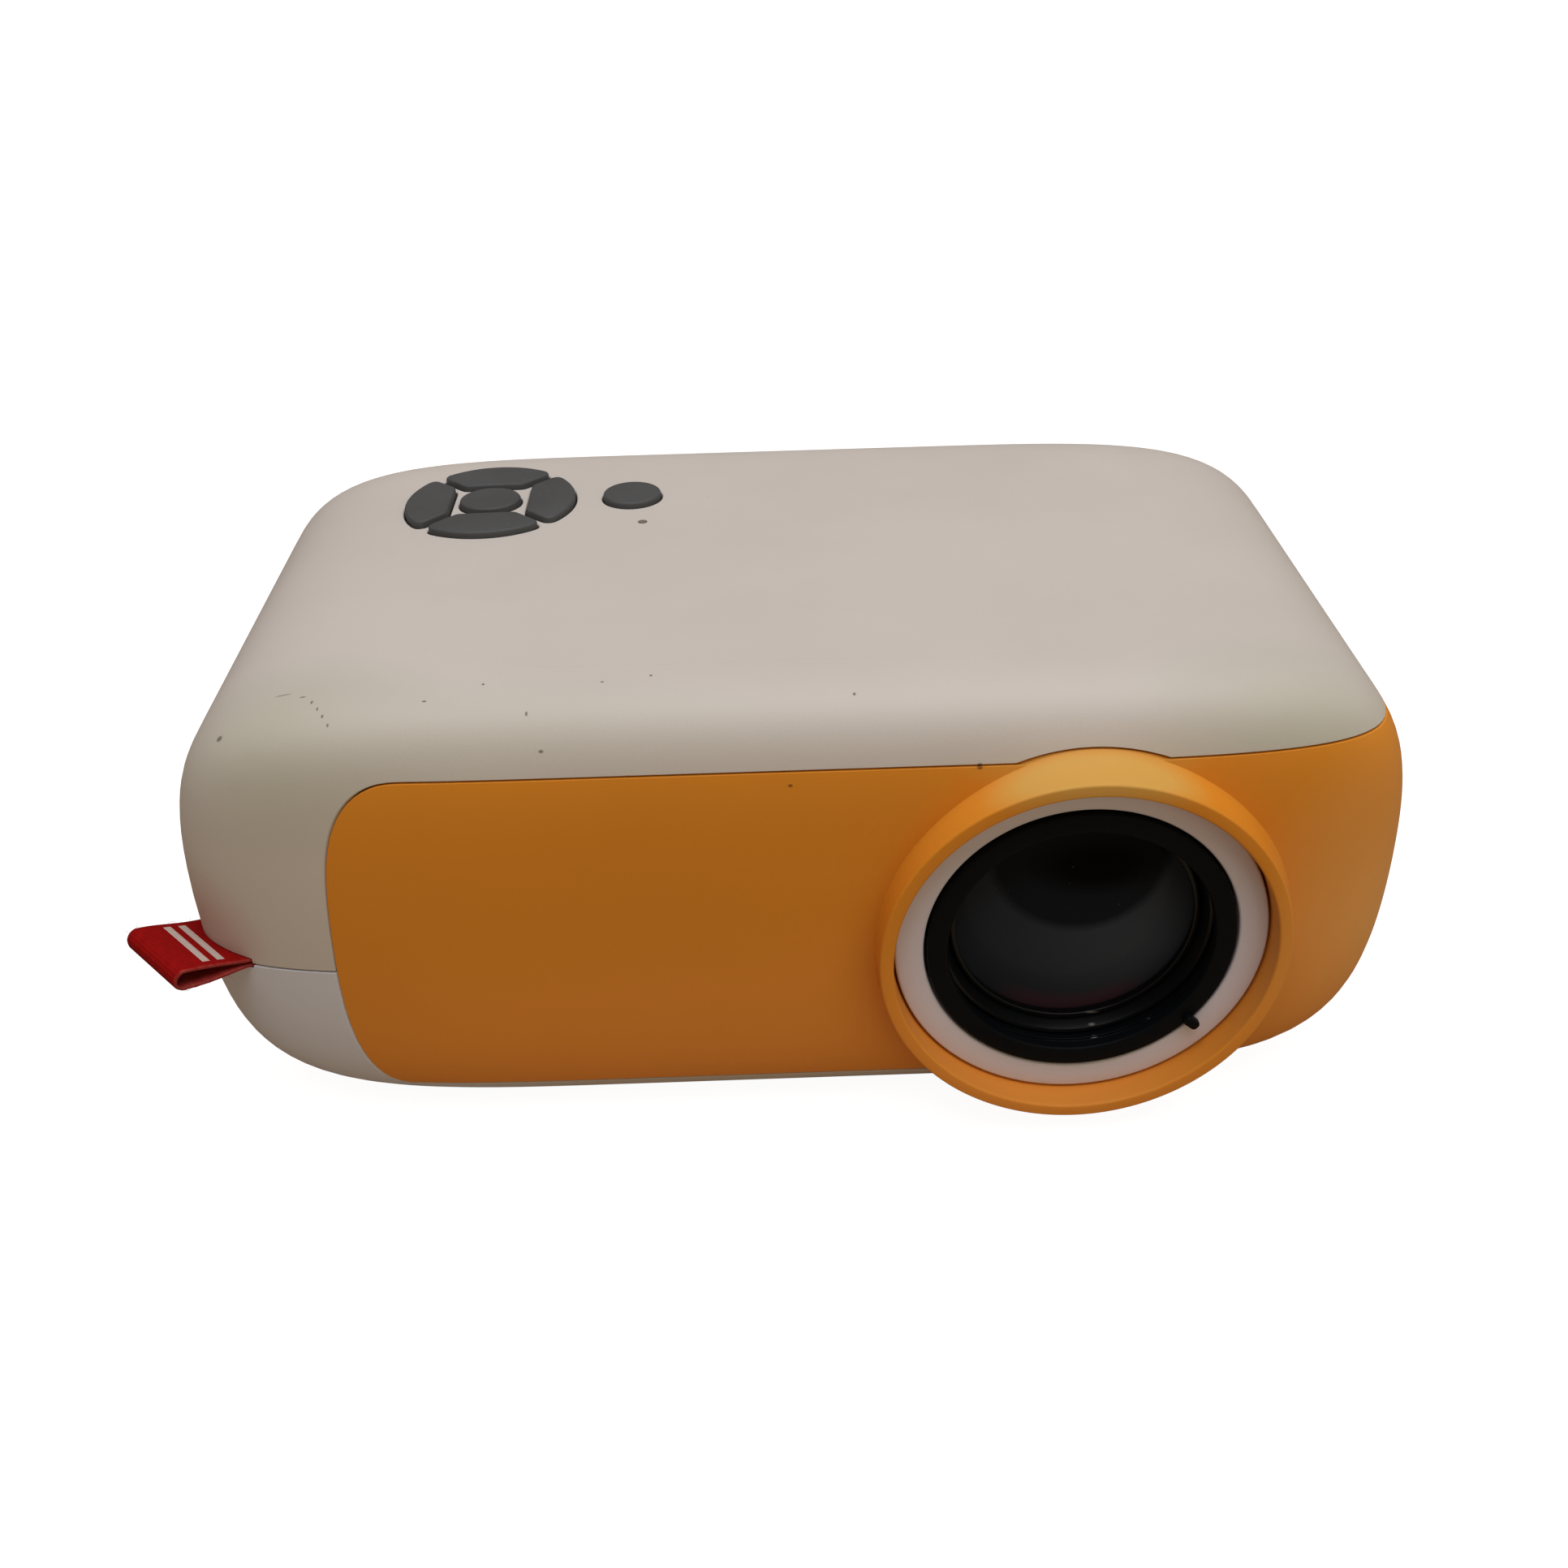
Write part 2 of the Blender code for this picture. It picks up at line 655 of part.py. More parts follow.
def corner_lengths():
    """Turns round a full corner of the widest section, with the length of skin up to each."""
    steps = CORNER_STEPS * CORNER_STEPS
    turns = [step * pi / 2 / steps for step in range(steps + 1)]
    places = [(END_ROUND * corner_shares(turn)[0], FACE_ROUND * corner_shares(turn)[1]) for turn in turns]
    lengths = [0.0]
    for before, after in zip(places, places[1:]):
        lengths.append(lengths[-1] + hypot(after[0] - before[0], after[1] - before[1]))
    return turns, lengths


CORNER_TURNS, CORNER_LENGTHS = corner_lengths()
CORNER_LENGTH = CORNER_LENGTHS[-1]
PANEL_RIGHT_RUN = CORE_X + CORNER_LENGTH + PANEL_SIDE_REACH


def skin_point(run, z, inset):
    """The point of a skin at a height, a run of skin away from the middle of the front, positive rightwards."""
    full = fullness(z, inset)
    reach_x = (END_ROUND - inset) * full
    reach_y = (FACE_ROUND - inset) * full
    side = 1 if run >= 0 else -1
    past = abs(run) - CORE_X
    if past <= 0:
        return run, -CORE_Y - reach_y, z
    if past <= CORNER_LENGTH:
        share_x, share_y = corner_shares(np.interp(past, CORNER_LENGTHS, CORNER_TURNS))
        return side * (CORE_X + reach_x * share_x), -CORE_Y - reach_y * share_y, z
    along = past - CORNER_LENGTH
    if along <= 2 * CORE_Y:
        return side * (CORE_X + reach_x), along - CORE_Y, z
    over = min(along - 2 * CORE_Y, CORNER_LENGTH)
    share_x, share_y = corner_shares(np.interp(CORNER_LENGTH - over, CORNER_LENGTHS, CORNER_TURNS))
    return side * (CORE_X + reach_x * share_x), CORE_Y + reach_y * share_y, z


def left_border(grow):
    """The cover's leaning left border: curves of (run, height) that part at its leftmost point, upper one first."""
    left = -PANEL_LEFT_RUN - grow
    low = STANDOFF + PANEL_LOW - grow
    high = STANDOFF + PANEL_HIGH + grow
    end = PANEL_LEFT_END_ROUND + grow
    high_round = PANEL_LEFT_HIGH_ROUND + grow
    low_round = max(PANEL_LEFT_LOW_ROUND + grow, GAP)
    power = 2 / PANEL_LEFT_EXPONENT
    upper = [(0, low + low_round)]
    lower = []
    for step in range(BORDER_STEPS + 1):
        turn = step * pi / 2 / BORDER_STEPS
        upper.append((end * (1 - cos(turn) ** power), high - high_round * (1 - sin(turn) ** power)))
        lower.append((low_round * (1 - cos(turn)), low + low_round * (1 - sin(turn))))
    curves = []
    for curve in (upper, lower):
        curves.append([(left + inward + (height - SEAM_Z) * tan(PANEL_LEAN), height) for inward, height in curve])
    return curves


def panel_columns(grow):
    """Upright stations along the cover's outline, each with its lowest and highest point.

    grow widens the outline all round for a clearance, and a negative value draws it in for the ledge.
    """
    right = PANEL_RIGHT_RUN + grow
    low = STANDOFF + PANEL_LOW - grow
    high = STANDOFF + PANEL_HIGH + grow
    end = max(PANEL_END_ROUND + grow, GAP)
    low_round = max(PANEL_LOW_ROUND + grow, GAP)
    high_round = max(PANEL_HIGH_ROUND + grow, GAP)
    upper, lower = left_border(grow)
    first = lower[0][0] + PANEL_LEFT_TIP
    runs = sorted([first] + [run for run, height in upper + lower if run > first + PANEL_LEFT_TIP])
    columns = []
    for run in runs:
        bottom = float(np.interp(run, *zip(*lower)))
        top = float(np.interp(run, *zip(*upper)))
        columns.append((run, bottom, top))
    corner_runs = list(np.interp(corner_turns(), CORNER_TURNS, CORNER_LENGTHS))
    runs = [-CORE_X - run for run in corner_runs[::-1]] + [CORE_X + run for run in corner_runs]
    side_start = CORE_X + CORNER_LENGTH
    runs.append(side_start + CORE_Y)
    for run in runs:
        if columns[-1][0] + OVERRUN < run < right - end - OVERRUN:
            columns.append((run, low, high))
    for step in range(ROUND_STEPS + 1):
        turn = (ROUND_STEPS - step) * pi / 2 / ROUND_STEPS
        lift = low_round * (1 - sin(turn))
        drop = high_round * (1 - sin(turn))
        columns.append((right - end * (1 - cos(turn)), low + lift, high - drop))
    return columns


def skin_patch(grow, outer_inset, inner_inset):
    """The piece of the case's wall inside the cover's outline, between two skins."""
    columns = panel_columns(grow)
    points = []
    for inset in (outer_inset, inner_inset):
        for run, low, high in columns:
            for row in range(PANEL_ROWS + 1):
                points.append(skin_point(run, low + (high - low) * row / PANEL_ROWS, inset))
    height = PANEL_ROWS + 1
    width = len(columns)
    half = width * height
    faces = []
    for side in (0, half):
        for column in range(width - 1):
            for row in range(PANEL_ROWS):
                corner = side + column * height + row
                faces.append((corner, corner + 1, corner + 1 + height, corner + height))
    for column in range(width - 1):
        for row in (0, PANEL_ROWS):
            corner = column * height + row
            faces.append((corner, corner + height, half + corner + height, half + corner))
    for row in range(PANEL_ROWS):
        for column in (0, width - 1):
            corner = column * height + row
            faces.append((corner, corner + 1, half + corner + 1, half + corner))
    return points, faces


# Cover, hood and the cutters that they share with the case


def hood_outline(grow):
    """The outer profile of the hood, from its lip back to the end of its collar."""
    radius = HOOD_RADIUS + grow
    root = radius + HOOD_FLARE
    profile = [(0, LIP_Y - grow)]
    for step in range(ARC_STEPS + 1):
        turn = step * pi / 2 / ARC_STEPS
        profile.append(
            (
                radius - HOOD_LIP_ROUND * (1 - sin(turn)),
                LIP_Y - grow + HOOD_LIP_ROUND * (1 - cos(turn)),
            )
        )
    straight_end = LIP_Y + HOOD_LIP_ROUND
    flare_end = FRONT_Y + HOOD_FLARE_DEPTH
    for step in range(1, ARC_STEPS + 1):
        share = step / ARC_STEPS
        flare = HOOD_FLARE * share**HOOD_FLARE_EXPONENT
        profile.append((radius + flare, straight_end + (flare_end - straight_end) * share))
    seat_y = FRONT_Y + HOOD_SEAT + grow
    profile.append((root, seat_y))
    profile.append((HOOD_COLLAR_RADIUS + grow, seat_y))
    profile.append((HOOD_COLLAR_RADIUS + grow, COLLAR_END_Y + grow))
    profile.append((0, COLLAR_END_Y + grow))
    return profile


def hood_bore_profile():
    mouth = HOOD_LIP_ROUND
    profile = [(0, LIP_Y - OVERRUN), (HOOD_BORE + mouth, LIP_Y - OVERRUN)]
    for step in range(ARC_STEPS + 1):
        turn = step * pi / 2 / ARC_STEPS
        profile.append((HOOD_BORE + mouth * (1 - sin(turn)), LIP_Y + mouth * (1 - cos(turn))))
    profile.append((HOOD_BORE, SHELF_Y))
    profile.append((SHELF_RADIUS, SHELF_Y))
    profile.append((SHELF_RADIUS, COLLAR_END_Y + OVERRUN))
    profile.append((0, COLLAR_END_Y + OVERRUN))
    return profile


def speaker_slots():
    """Sound slots through the cover's side, shorter towards the top and bottom of a round field."""
    parts = []
    skin_x = BODY_WIDTH / 2
    for index in range(SPEAKER_SLOTS):
        level = (index - (SPEAKER_SLOTS - 1) / 2) * SPEAKER_SLOT_PITCH
        half = sqrt(max(SPEAKER_SLOT_RADIUS**2 - level**2, SPEAKER_SLOT_HEIGHT**2))
        low = (skin_x - SPEAKER_COLLAR_DEPTH, SPEAKER_Y - half, SPEAKER_Z + level - SPEAKER_SLOT_HEIGHT / 2)
        high = (skin_x + OVERRUN, SPEAKER_Y + half, SPEAKER_Z + level + SPEAKER_SLOT_HEIGHT / 2)
        parts.append(block(low, high))
    return parts


def speaker_front_x():
    """The plane behind the cover's side against which the speaker's rim rests."""
    low_z = SPEAKER_Z - SPEAKER_RADIUS
    high_z = SPEAKER_Z + SPEAKER_RADIUS
    return min(half_width(low_z, PANEL_THICK), half_width(high_z, PANEL_THICK)) - GAP


def front_panel(assembly, guides):
    panel = assembly.piece("front_panel", made_mesh("front_panel", *loft(form_rows(0))), "orange_plastic")
    outline = skin_patch(0, -OVERRUN, PANEL_THICK + OVERRUN)
    combine(panel, assembly.guide("panel_outline", made_mesh("panel_outline", *outline)), "INTERSECT")
    cut(panel, assembly.guide("panel_back", made_mesh("panel_back", *loft(form_rows(PANEL_THICK)))))
    lens = (LENS_X, LENS_Z)
    blank = assembly.guide("hood_blank", made_mesh("hood_blank", *turned(hood_outline(0), "Y", lens)))
    collar_high = half_width(SPEAKER_Z, PANEL_THICK / 2)
    collar_low = speaker_front_x() - SPEAKER_RIM_THICK - SPEAKER_BODY_DEPTH / 2
    collar_inner = SPEAKER_RADIUS + GAP
    collar_profile = tube(collar_inner, collar_inner + SPEAKER_COLLAR_WALL, collar_low, collar_high)
    speaker = (SPEAKER_Y, SPEAKER_Z)
    collar = assembly.guide(
        "speaker_collar", made_mesh("speaker_collar", *turned(collar_profile, "X", speaker, ROUND_SEGMENTS, True))
    )
    combine(collar, guides["cover_inside"], "INTERSECT")
    # The bore has one side more than the collar, so none of its corners falls on an edge of the collar's end.
    bore_points = turned(hood_bore_profile(), "Y", lens, ROUND_SEGMENTS + 1)
    bore = assembly.guide("hood_bore", made_mesh("hood_bore", *bore_points))
    slots = assembly.guide("speaker_slots", joined("speaker_slots", speaker_slots()))
    combine(panel, blank, "UNION")
    combine(panel, collar, "UNION")
    cut(panel, bore, slots)


# Case halves


def case_screw_places():
    return [(side * BOSS_X, end * BOSS_Y) for side in (-1, 1) for end in (-1, 1)]


def foot_places():
    return [(side * FOOT_X, end * FOOT_Y) for side in (-1, 1) for end in (-1, 1)]


def boss_split_z():
    return STANDOFF + BOSS_SPLIT_HEIGHT


def upper_rows():
    lip = WALL - SEAM_LIP_WALL - GAP
    seam = SEAM_Z + GAP / 2
    lip_z = SEAM_Z + SEAM_LIP_HEIGHT + GAP
    outer = [(z, 0) for z in crown_heights(0, seam)][::-1]
    inner = [(z, WALL) for z in crown_heights(WALL, lip_z)]
    return outer + [(seam, lip), (lip_z, lip)] + inner


def lower_rows():
    lip = WALL - SEAM_LIP_WALL
    seam = SEAM_Z - GAP / 2
    lip_z = SEAM_Z + SEAM_LIP_HEIGHT
    outer = [(z, 0) for z in belly_heights(0, seam)][::-1]
    inner = [(z, WALL) for z in belly_heights(WALL, seam)]
    return outer + [(seam, lip), (lip_z, lip), (lip_z, WALL)] + inner


def form_rows(inset):
    return [(z, inset) for z in belly_heights(inset, SEAM_Z)][::-1] + [
        (z, inset) for z in crown_heights(inset, SEAM_Z)
    ][1:]


def panel_rebate(assembly):
    """The shallow recess that the cover fills, down to the skin that lies a gap behind it."""
    depth = PANEL_THICK + GAP
    rebate = assembly.guide("panel_rebate", made_mesh("panel_rebate", *skin_patch(GAP, -OVERRUN, depth + OVERRUN)))
    cut(rebate, assembly.guide("rebate_floor", made_mesh("rebate_floor", *loft(form_rows(depth)))))
    return rebate


def shared_guides(assembly):
    """Solids that cut or trim more than one piece."""
    lens = (LENS_X, LENS_Z)
    return {
        "wall_inside": assembly.guide("wall_inside", made_mesh("wall_inside", *loft(form_rows(WALL / 2)))),
        "cover_inside": assembly.guide("cover_inside", made_mesh("cover_inside", *loft(form_rows(PANEL_THICK / 2)))),
        "panel_rebate": panel_rebate(assembly),
        "panel_window": assembly.guide(
            "panel_window", made_mesh("panel_window", *skin_patch(-PANEL_LEDGE, -OVERRUN, WALL + OVERRUN))
        ),
        "hood_clearance": assembly.guide(
            "hood_clearance", made_mesh("hood_clearance", *turned(hood_outline(GAP), "Y", lens))
        ),
        "sleeve_clearance": assembly.guide(
            "sleeve_clearance",
            made_mesh(
                "sleeve_clearance", *turned(disc(SLEEVE_RADIUS + GAP, SHELF_Y, SLEEVE_STEP_Y), "Y", lens)
            ),
        ),
        "tag_slot": assembly.guide("tag_slot", tag_slot_mesh()),
    }


def fan_left_x():
    low = half_width(LENS_Z - FAN_SIZE / 2, WALL)
    high = half_width(LENS_Z + FAN_SIZE / 2, WALL)
    return -min(low, high) + FAN_WALL_CLEARANCE


def side_vents(above):
    """Long slots in the left wall in front of the fan, above or below the seam."""
    parts = []
    count = VENTS_ABOVE if above else VENTS_BELOW
    for index in range(count):
        offset = (index + 1) * VENT_PITCH
        level = SEAM_Z + offset if above else SEAM_Z - offset
        low = (-BODY_WIDTH / 2 - OVERRUN, ENGINE_CENTRE_Y - VENT_LENGTH / 2, level - VENT_HEIGHT / 2)
        high = (fan_left_x() - GAP, ENGINE_CENTRE_Y + VENT_LENGTH / 2, level + VENT_HEIGHT / 2)
        parts.append(block(low, high))
    return parts


def key_board_extent():
    """Left, front, right and rear edges of the key board."""
    left = PAD_X - PAD_RADIUS - KEY_BOARD_MARGIN
    right = PAD_X + POWER_KEY_OFFSET_X + POWER_KEY_RADIUS + KEY_BOARD_MARGIN
    front = PAD_Y - PAD_RADIUS - KEY_BOARD_MARGIN
    rear = PAD_Y + PAD_RADIUS + KEY_BOARD_MARGIN
    return left, front, right, rear


def key_levels():
    """Heights of a key's flange and stem, of its switch and of the key board, worked down from the ceiling."""
    edges = [point for outline in key_outlines().values() for point in grown(outline, KEY_FLANGE)]
    flange_top = min(skin_height(x, y, WALL) for x, y in edges) - GAP
    flange_low = flange_top - KEY_FLANGE_THICK
    switch_top = flange_low - KEY_TRAVEL - GAP
    board_top = switch_top - SWITCH_HEIGHT - GAP
    return {
        "flange_top": flange_top,
        "flange_low": flange_low,
        "stem_low": switch_top - KEY_STEM_INTO_SWITCH,
        "switch_top": switch_top,
        "switch_low": switch_top - SWITCH_HEIGHT,
        "board_top": board_top,
        "board_low": board_top - KEY_BOARD_THICK,
    }


def key_posts():
    left, front, right, rear = key_board_extent()
    inset = KEY_POST_INSET
    return [(x, y) for x in (left + inset, right - inset) for y in (front + inset, rear - inset)]


def upper_shell(assembly, guides):
    shell = assembly.piece("upper_shell", made_mesh("upper_shell", *loft(upper_rows())), "white_plastic")
    boss_low = boss_split_z() + GAP
    parts = []
    for place in case_screw_places():
        parts.append(turned(disc(BOSS_RADIUS, boss_low, TOP_Z), "Z", place, POST_SEGMENTS))
    post_low = key_levels()["board_top"] + GAP
    for place in key_posts():
        parts.append(turned(disc(KEY_POST_RADIUS, post_low, TOP_Z), "Z", place, POST_SEGMENTS))
    bosses = assembly.guide("upper_bosses", joined("upper_bosses", parts))
    combine(bosses, guides["wall_inside"], "INTERSECT")
    combine(shell, bosses, "UNION")
    cut(shell, guides["panel_rebate"], guides["panel_window"], guides["tag_slot"])
    cut(shell, guides["hood_clearance"], guides["sleeve_clearance"])
    holes = []
    for place in case_screw_places():
        hole = disc(SCREW_RADIUS + GAP, boss_low - OVERRUN, boss_low + SCREW_GRIP + OVERRUN)
        holes.append(turned(hole, "Z", place, POST_SEGMENTS))
    for outline in key_outlines().values():
        holes.append(prism(grown(outline, KEY_HOLE_GAP), CEILING_Z - OVERRUN, TOP_Z + OVERRUN))
    light = disc(LIGHT_RADIUS + KEY_HOLE_GAP, CEILING_Z - OVERRUN, TOP_Z + OVERRUN)
    holes.append(turned(light, "Z", light_place(), SMALL_SEGMENTS))
    holes.extend(side_vents(True))
    cut(shell, assembly.guide("upper_holes", joined("upper_holes", holes)))


def engine_posts():
    inset = ENGINE_POST_INSET
    left = engine_left_x() + inset
    right = ENGINE_RIGHT_X - inset
    return [(x, y) for x in (left, right) for y in (ENGINE_FRONT_Y + inset, ENGINE_REAR_Y - inset)]


def board_posts():
    left, front, right, rear = board_extent()
    inset = BOARD_POST_INSET
    return [(x, y) for x in (left + inset, right - inset) for y in (front + inset, rear - inset)]


def tripod_levels():
    """Top of the brass insert, and of the post that holds it, under the engine."""
    post_top = ENGINE_LOW_Z - GAP
    return post_top - TRIPOD_ROOF - GAP, post_top


def lower_shell(assembly, guides):
    shell = assembly.piece("lower_shell", made_mesh("lower_shell", *loft(lower_rows())), "white_plastic")
    insert_top, tripod_post_top = tripod_levels()
    posts = []
    for place in case_screw_places():
        posts.append(turned(disc(BOSS_RADIUS + GAP, 0, boss_split_z()), "Z", place, POST_SEGMENTS))
    for place in engine_posts():
        posts.append(turned(disc(ENGINE_POST_RADIUS, 0, ENGINE_LOW_Z - GAP), "Z", place, POST_SEGMENTS))
    for place in board_posts():
        top = BOARD_TOP_Z - BOARD_THICK - GAP
        posts.append(turned(disc(BOARD_POST_RADIUS, 0, top), "Z", place, POST_SEGMENTS))
    tripod_post = TRIPOD_RADIUS + GAP + TRIPOD_POST_WALL
    posts.append(turned(disc(tripod_post, 0, tripod_post_top), "Z", (0, 0), SMALL_SEGMENTS))
    bosses = assembly.guide("lower_posts", joined("lower_posts", posts))
    combine(bosses, guides["wall_inside"], "INTERSECT")
    combine(shell, bosses, "UNION")
    cut(shell, guides["panel_rebate"], guides["panel_window"], guides["tag_slot"])
    cut(shell, guides["hood_clearance"], guides["sleeve_clearance"])
    holes = []
    seat_z = boss_split_z() - SCREW_SEAT_THICK
    for place in case_screw_places():
        head = SCREW_HEAD_RADIUS + GAP
        shank = SCREW_RADIUS + GAP
        profile = [(0, -OVERRUN), (head, -OVERRUN), (head, seat_z), (shank, seat_z)]
        profile += [(shank, boss_split_z() + OVERRUN), (0, boss_split_z() + OVERRUN)]
        holes.append(turned(profile, "Z", place, POST_SEGMENTS))
    for place in foot_places():
        pocket = disc(FOOT_RADIUS + GAP, 0, STANDOFF + FOOT_SEAT_DEPTH)
        holes.append(turned(pocket, "Z", place, SMALL_SEGMENTS))
    holes.append(turned(disc(TRIPOD_RADIUS + GAP, 0, insert_top + GAP), "Z", (0, 0), SMALL_SEGMENTS))
    for name, left, right, base, top, depth in port_places():
        low = (left - GAP, half_depth(base, WALL) - OVERRUN - PORT_SETBACK, base - GAP)
        high = (right + GAP, BODY_DEPTH / 2 + OVERRUN, top + GAP)
        holes.append(block(low, high))
    window_z = ir_centre_z()
    window = disc(IR_WINDOW_RADIUS + GAP, half_depth(window_z, WALL) - OVERRUN, BODY_DEPTH / 2 + OVERRUN)
    holes.append(turned(window, "Y", (ir_centre_x(), window_z), SMALL_SEGMENTS))
    holes.extend(side_vents(False))
    holes.extend(intake_slots())
    cut(shell, assembly.guide("lower_holes", joined("lower_holes", holes)))


def intake_slots():
    """Air slots in the floor under the heatsink."""
    parts = []
    for index in range(INTAKE_SLOTS):
        centre = INTAKE_X + (index - (INTAKE_SLOTS - 1) / 2) * INTAKE_PITCH
        low = (centre - INTAKE_WIDTH / 2, -INTAKE_LENGTH / 2, 0)
        high = (centre + INTAKE_WIDTH / 2, INTAKE_LENGTH / 2, FLOOR_Z + OVERRUN)
        parts.append(block(low, high))
    return parts


# Feet, screws and tripod insert


def feet(assembly):
    top = STANDOFF + FOOT_SEAT_DEPTH - GAP
    profile = [(0, 0), (FOOT_RADIUS - FOOT_EDGE, 0), (FOOT_RADIUS, FOOT_EDGE), (FOOT_RADIUS, top), (0, top)]
    for index, place in enumerate(foot_places()):
        name = f"foot_{index + 1}"
        mesh = made_mesh(name, *turned(profile, "Z", place, SMALL_SEGMENTS))
        assembly.piece(name, mesh, "foot_rubber", (*place, 0))


def case_screws(assembly):
    seat_z = boss_split_z() - SCREW_SEAT_THICK
    head_top = seat_z - GAP
    head_low = head_top - SCREW_HEAD_THICK
    tip = boss_split_z() + GAP + SCREW_GRIP
    dish = SCREW_SLOT_DEPTH
    profile = [(0, head_low + dish), (SCREW_SLOT_WIDTH, head_low + dish), (SCREW_SLOT_WIDTH * 2, head_low)]
    profile += [(SCREW_HEAD_RADIUS, head_low), (SCREW_HEAD_RADIUS, head_top), (SCREW_RADIUS, head_top)]
    profile += [(SCREW_RADIUS, tip - SCREW_RADIUS), (0, tip)]
    for index, place in enumerate(case_screw_places()):
        name = f"case_screw_{index + 1}"
        mesh = made_mesh(name, *turned(profile, "Z", place, POST_SEGMENTS))
        assembly.piece(name, mesh, "screw_steel", (*place, head_low))


def tripod_insert(assembly):
    profile = tube(TRIPOD_BORE, TRIPOD_RADIUS, STANDOFF, tripod_levels()[0])
    mesh = made_mesh("tripod_insert", *turned(profile, "Z", (0, 0), ROUND_SEGMENTS, True))
    assembly.piece("tripod_insert", mesh, "insert_brass", (0, 0, STANDOFF))


# Lens


def lens_trim_ring(assembly):
    edge = TRIM_CHAMFER
    back = TRIM_Y + TRIM_THICK
    profile = [(TRIM_BORE, TRIM_Y), (TRIM_RADIUS - 2 * edge, TRIM_Y), (TRIM_RADIUS - edge / 4, TRIM_Y + edge / 2)]
    profile += [(TRIM_RADIUS, TRIM_Y + edge), (TRIM_RADIUS, back), (TRIM_BORE, back)]
    mesh = made_mesh("lens_trim_ring", *turned(profile, "Y", (LENS_X, LENS_Z), ROUND_SEGMENTS, True))
    assembly.piece("lens_trim_ring", mesh, "white_plastic", (LENS_X, TRIM_Y, LENS_Z))


def focus_nub():
    """The thumb nub, a small block on the ring's rim that reaches over the white ring."""
    radial = Vector((cos(NUB_ANGLE), 0, sin(NUB_ANGLE)))
    across = Vector((-sin(NUB_ANGLE), 0, cos(NUB_ANGLE)))
    centre = Vector((LENS_X, 0, LENS_Z))
    front = TRIM_Y - GAP - NUB_THICK
    back = TRIM_Y - GAP
    points = []
    for reach in (FOCUS_RADIUS - NUB_REACH, FOCUS_RADIUS + NUB_REACH):
        for y in (front, back):
            for side in (-NUB_WIDTH / 2, NUB_WIDTH / 2):
                points.append(centre + radial * reach + across * side + Vector((0, y, 0)))
    return points, block((0, 0, 0), (1, 1, 1))[1]


def focus_ring(assembly):
    edge = FOCUS_EDGE
    profile = [(FOCUS_LIP_RADIUS + edge, FOCUS_Y), (FOCUS_RADIUS - edge, FOCUS_Y), (FOCUS_RADIUS, FOCUS_Y + edge)]
    profile += [(FOCUS_RADIUS, FOCUS_Y + FOCUS_FLANGE), (FOCUS_TUBE_RADIUS, FOCUS_Y + FOCUS_FLANGE)]
    profile += [(FOCUS_TUBE_RADIUS, FOCUS_END_Y), (FOCUS_BORE, FOCUS_END_Y)]
    profile += [(FOCUS_BORE, FOCUS_Y + FOCUS_LIP_THICK), (FOCUS_LIP_RADIUS, FOCUS_Y + FOCUS_LIP_THICK)]
    profile += [(FOCUS_LIP_RADIUS, FOCUS_Y + edge)]
    origin = (LENS_X, FOCUS_Y, LENS_Z)
    mesh = made_mesh("focus_ring", *turned(profile, "Y", (LENS_X, LENS_Z), ROUND_SEGMENTS, True))
    ring = assembly.piece("focus_ring", mesh, "black_plastic", origin)
    combine(ring, assembly.guide("focus_nub", made_mesh("focus_nub", *focus_nub())), "UNION")


def lens_sleeve(assembly):
    guide_bore = CELL_RADIUS + GAP
    flange_y = SLEEVE_END_Y - SLEEVE_FLANGE_THICK
    flange = SLEEVE_RADIUS + SLEEVE_FLANGE_WIDTH
    profile = [(SLEEVE_BORE, SHELF_Y), (SLEEVE_RADIUS, SHELF_Y), (SLEEVE_RADIUS, flange_y), (flange, flange_y)]
    profile += [(flange, SLEEVE_END_Y), (guide_bore, SLEEVE_END_Y), (guide_bore, SLEEVE_STEP_Y)]
    profile += [(SLEEVE_BORE, SLEEVE_STEP_Y)]
    mesh = made_mesh("lens_sleeve", *turned(profile, "Y", (LENS_X, LENS_Z), ROUND_SEGMENTS, True))
    sleeve = assembly.piece("lens_sleeve", mesh, "black_plastic", (LENS_X, SLEEVE_END_Y, LENS_Z))
    half = LUG_WIDTH / 2 + GAP
    low = (LENS_X - half, SLEEVE_STEP_Y - OVERRUN, LENS_Z + CELL_RADIUS - OVERRUN)
    high = (LENS_X + half, SLEEVE_END_Y + OVERRUN, LENS_Z + CELL_RADIUS + LUG_REACH + GAP)
    cut(sleeve, assembly.guide("lug_groove", made_mesh("lug_groove", *block(low, high))))


def cell_levels():
    """Places along the axis of the retainers, glasses and shelves inside the lens cell."""
    retainer = CELL_Y + CELL_MOUTH
    glass = retainer + RETAINER_THICK + GAP
    shelf = glass + FRONT_GLASS_EDGE + GAP
    rear_retainer = CELL_END_Y - REAR_SETBACK
    rear_glass_end = rear_retainer - RETAINER_THICK - GAP
    rear_glass = rear_glass_end - REAR_GLASS_EDGE
    return {
        "retainer": retainer,
        "glass": glass,
        "shelf": shelf,
        "shelf_end": shelf + CELL_SHELF_THICK,
        "rear_shelf": rear_glass - GAP,
        "rear_glass": rear_glass,
        "rear_retainer": rear_retainer,
    }


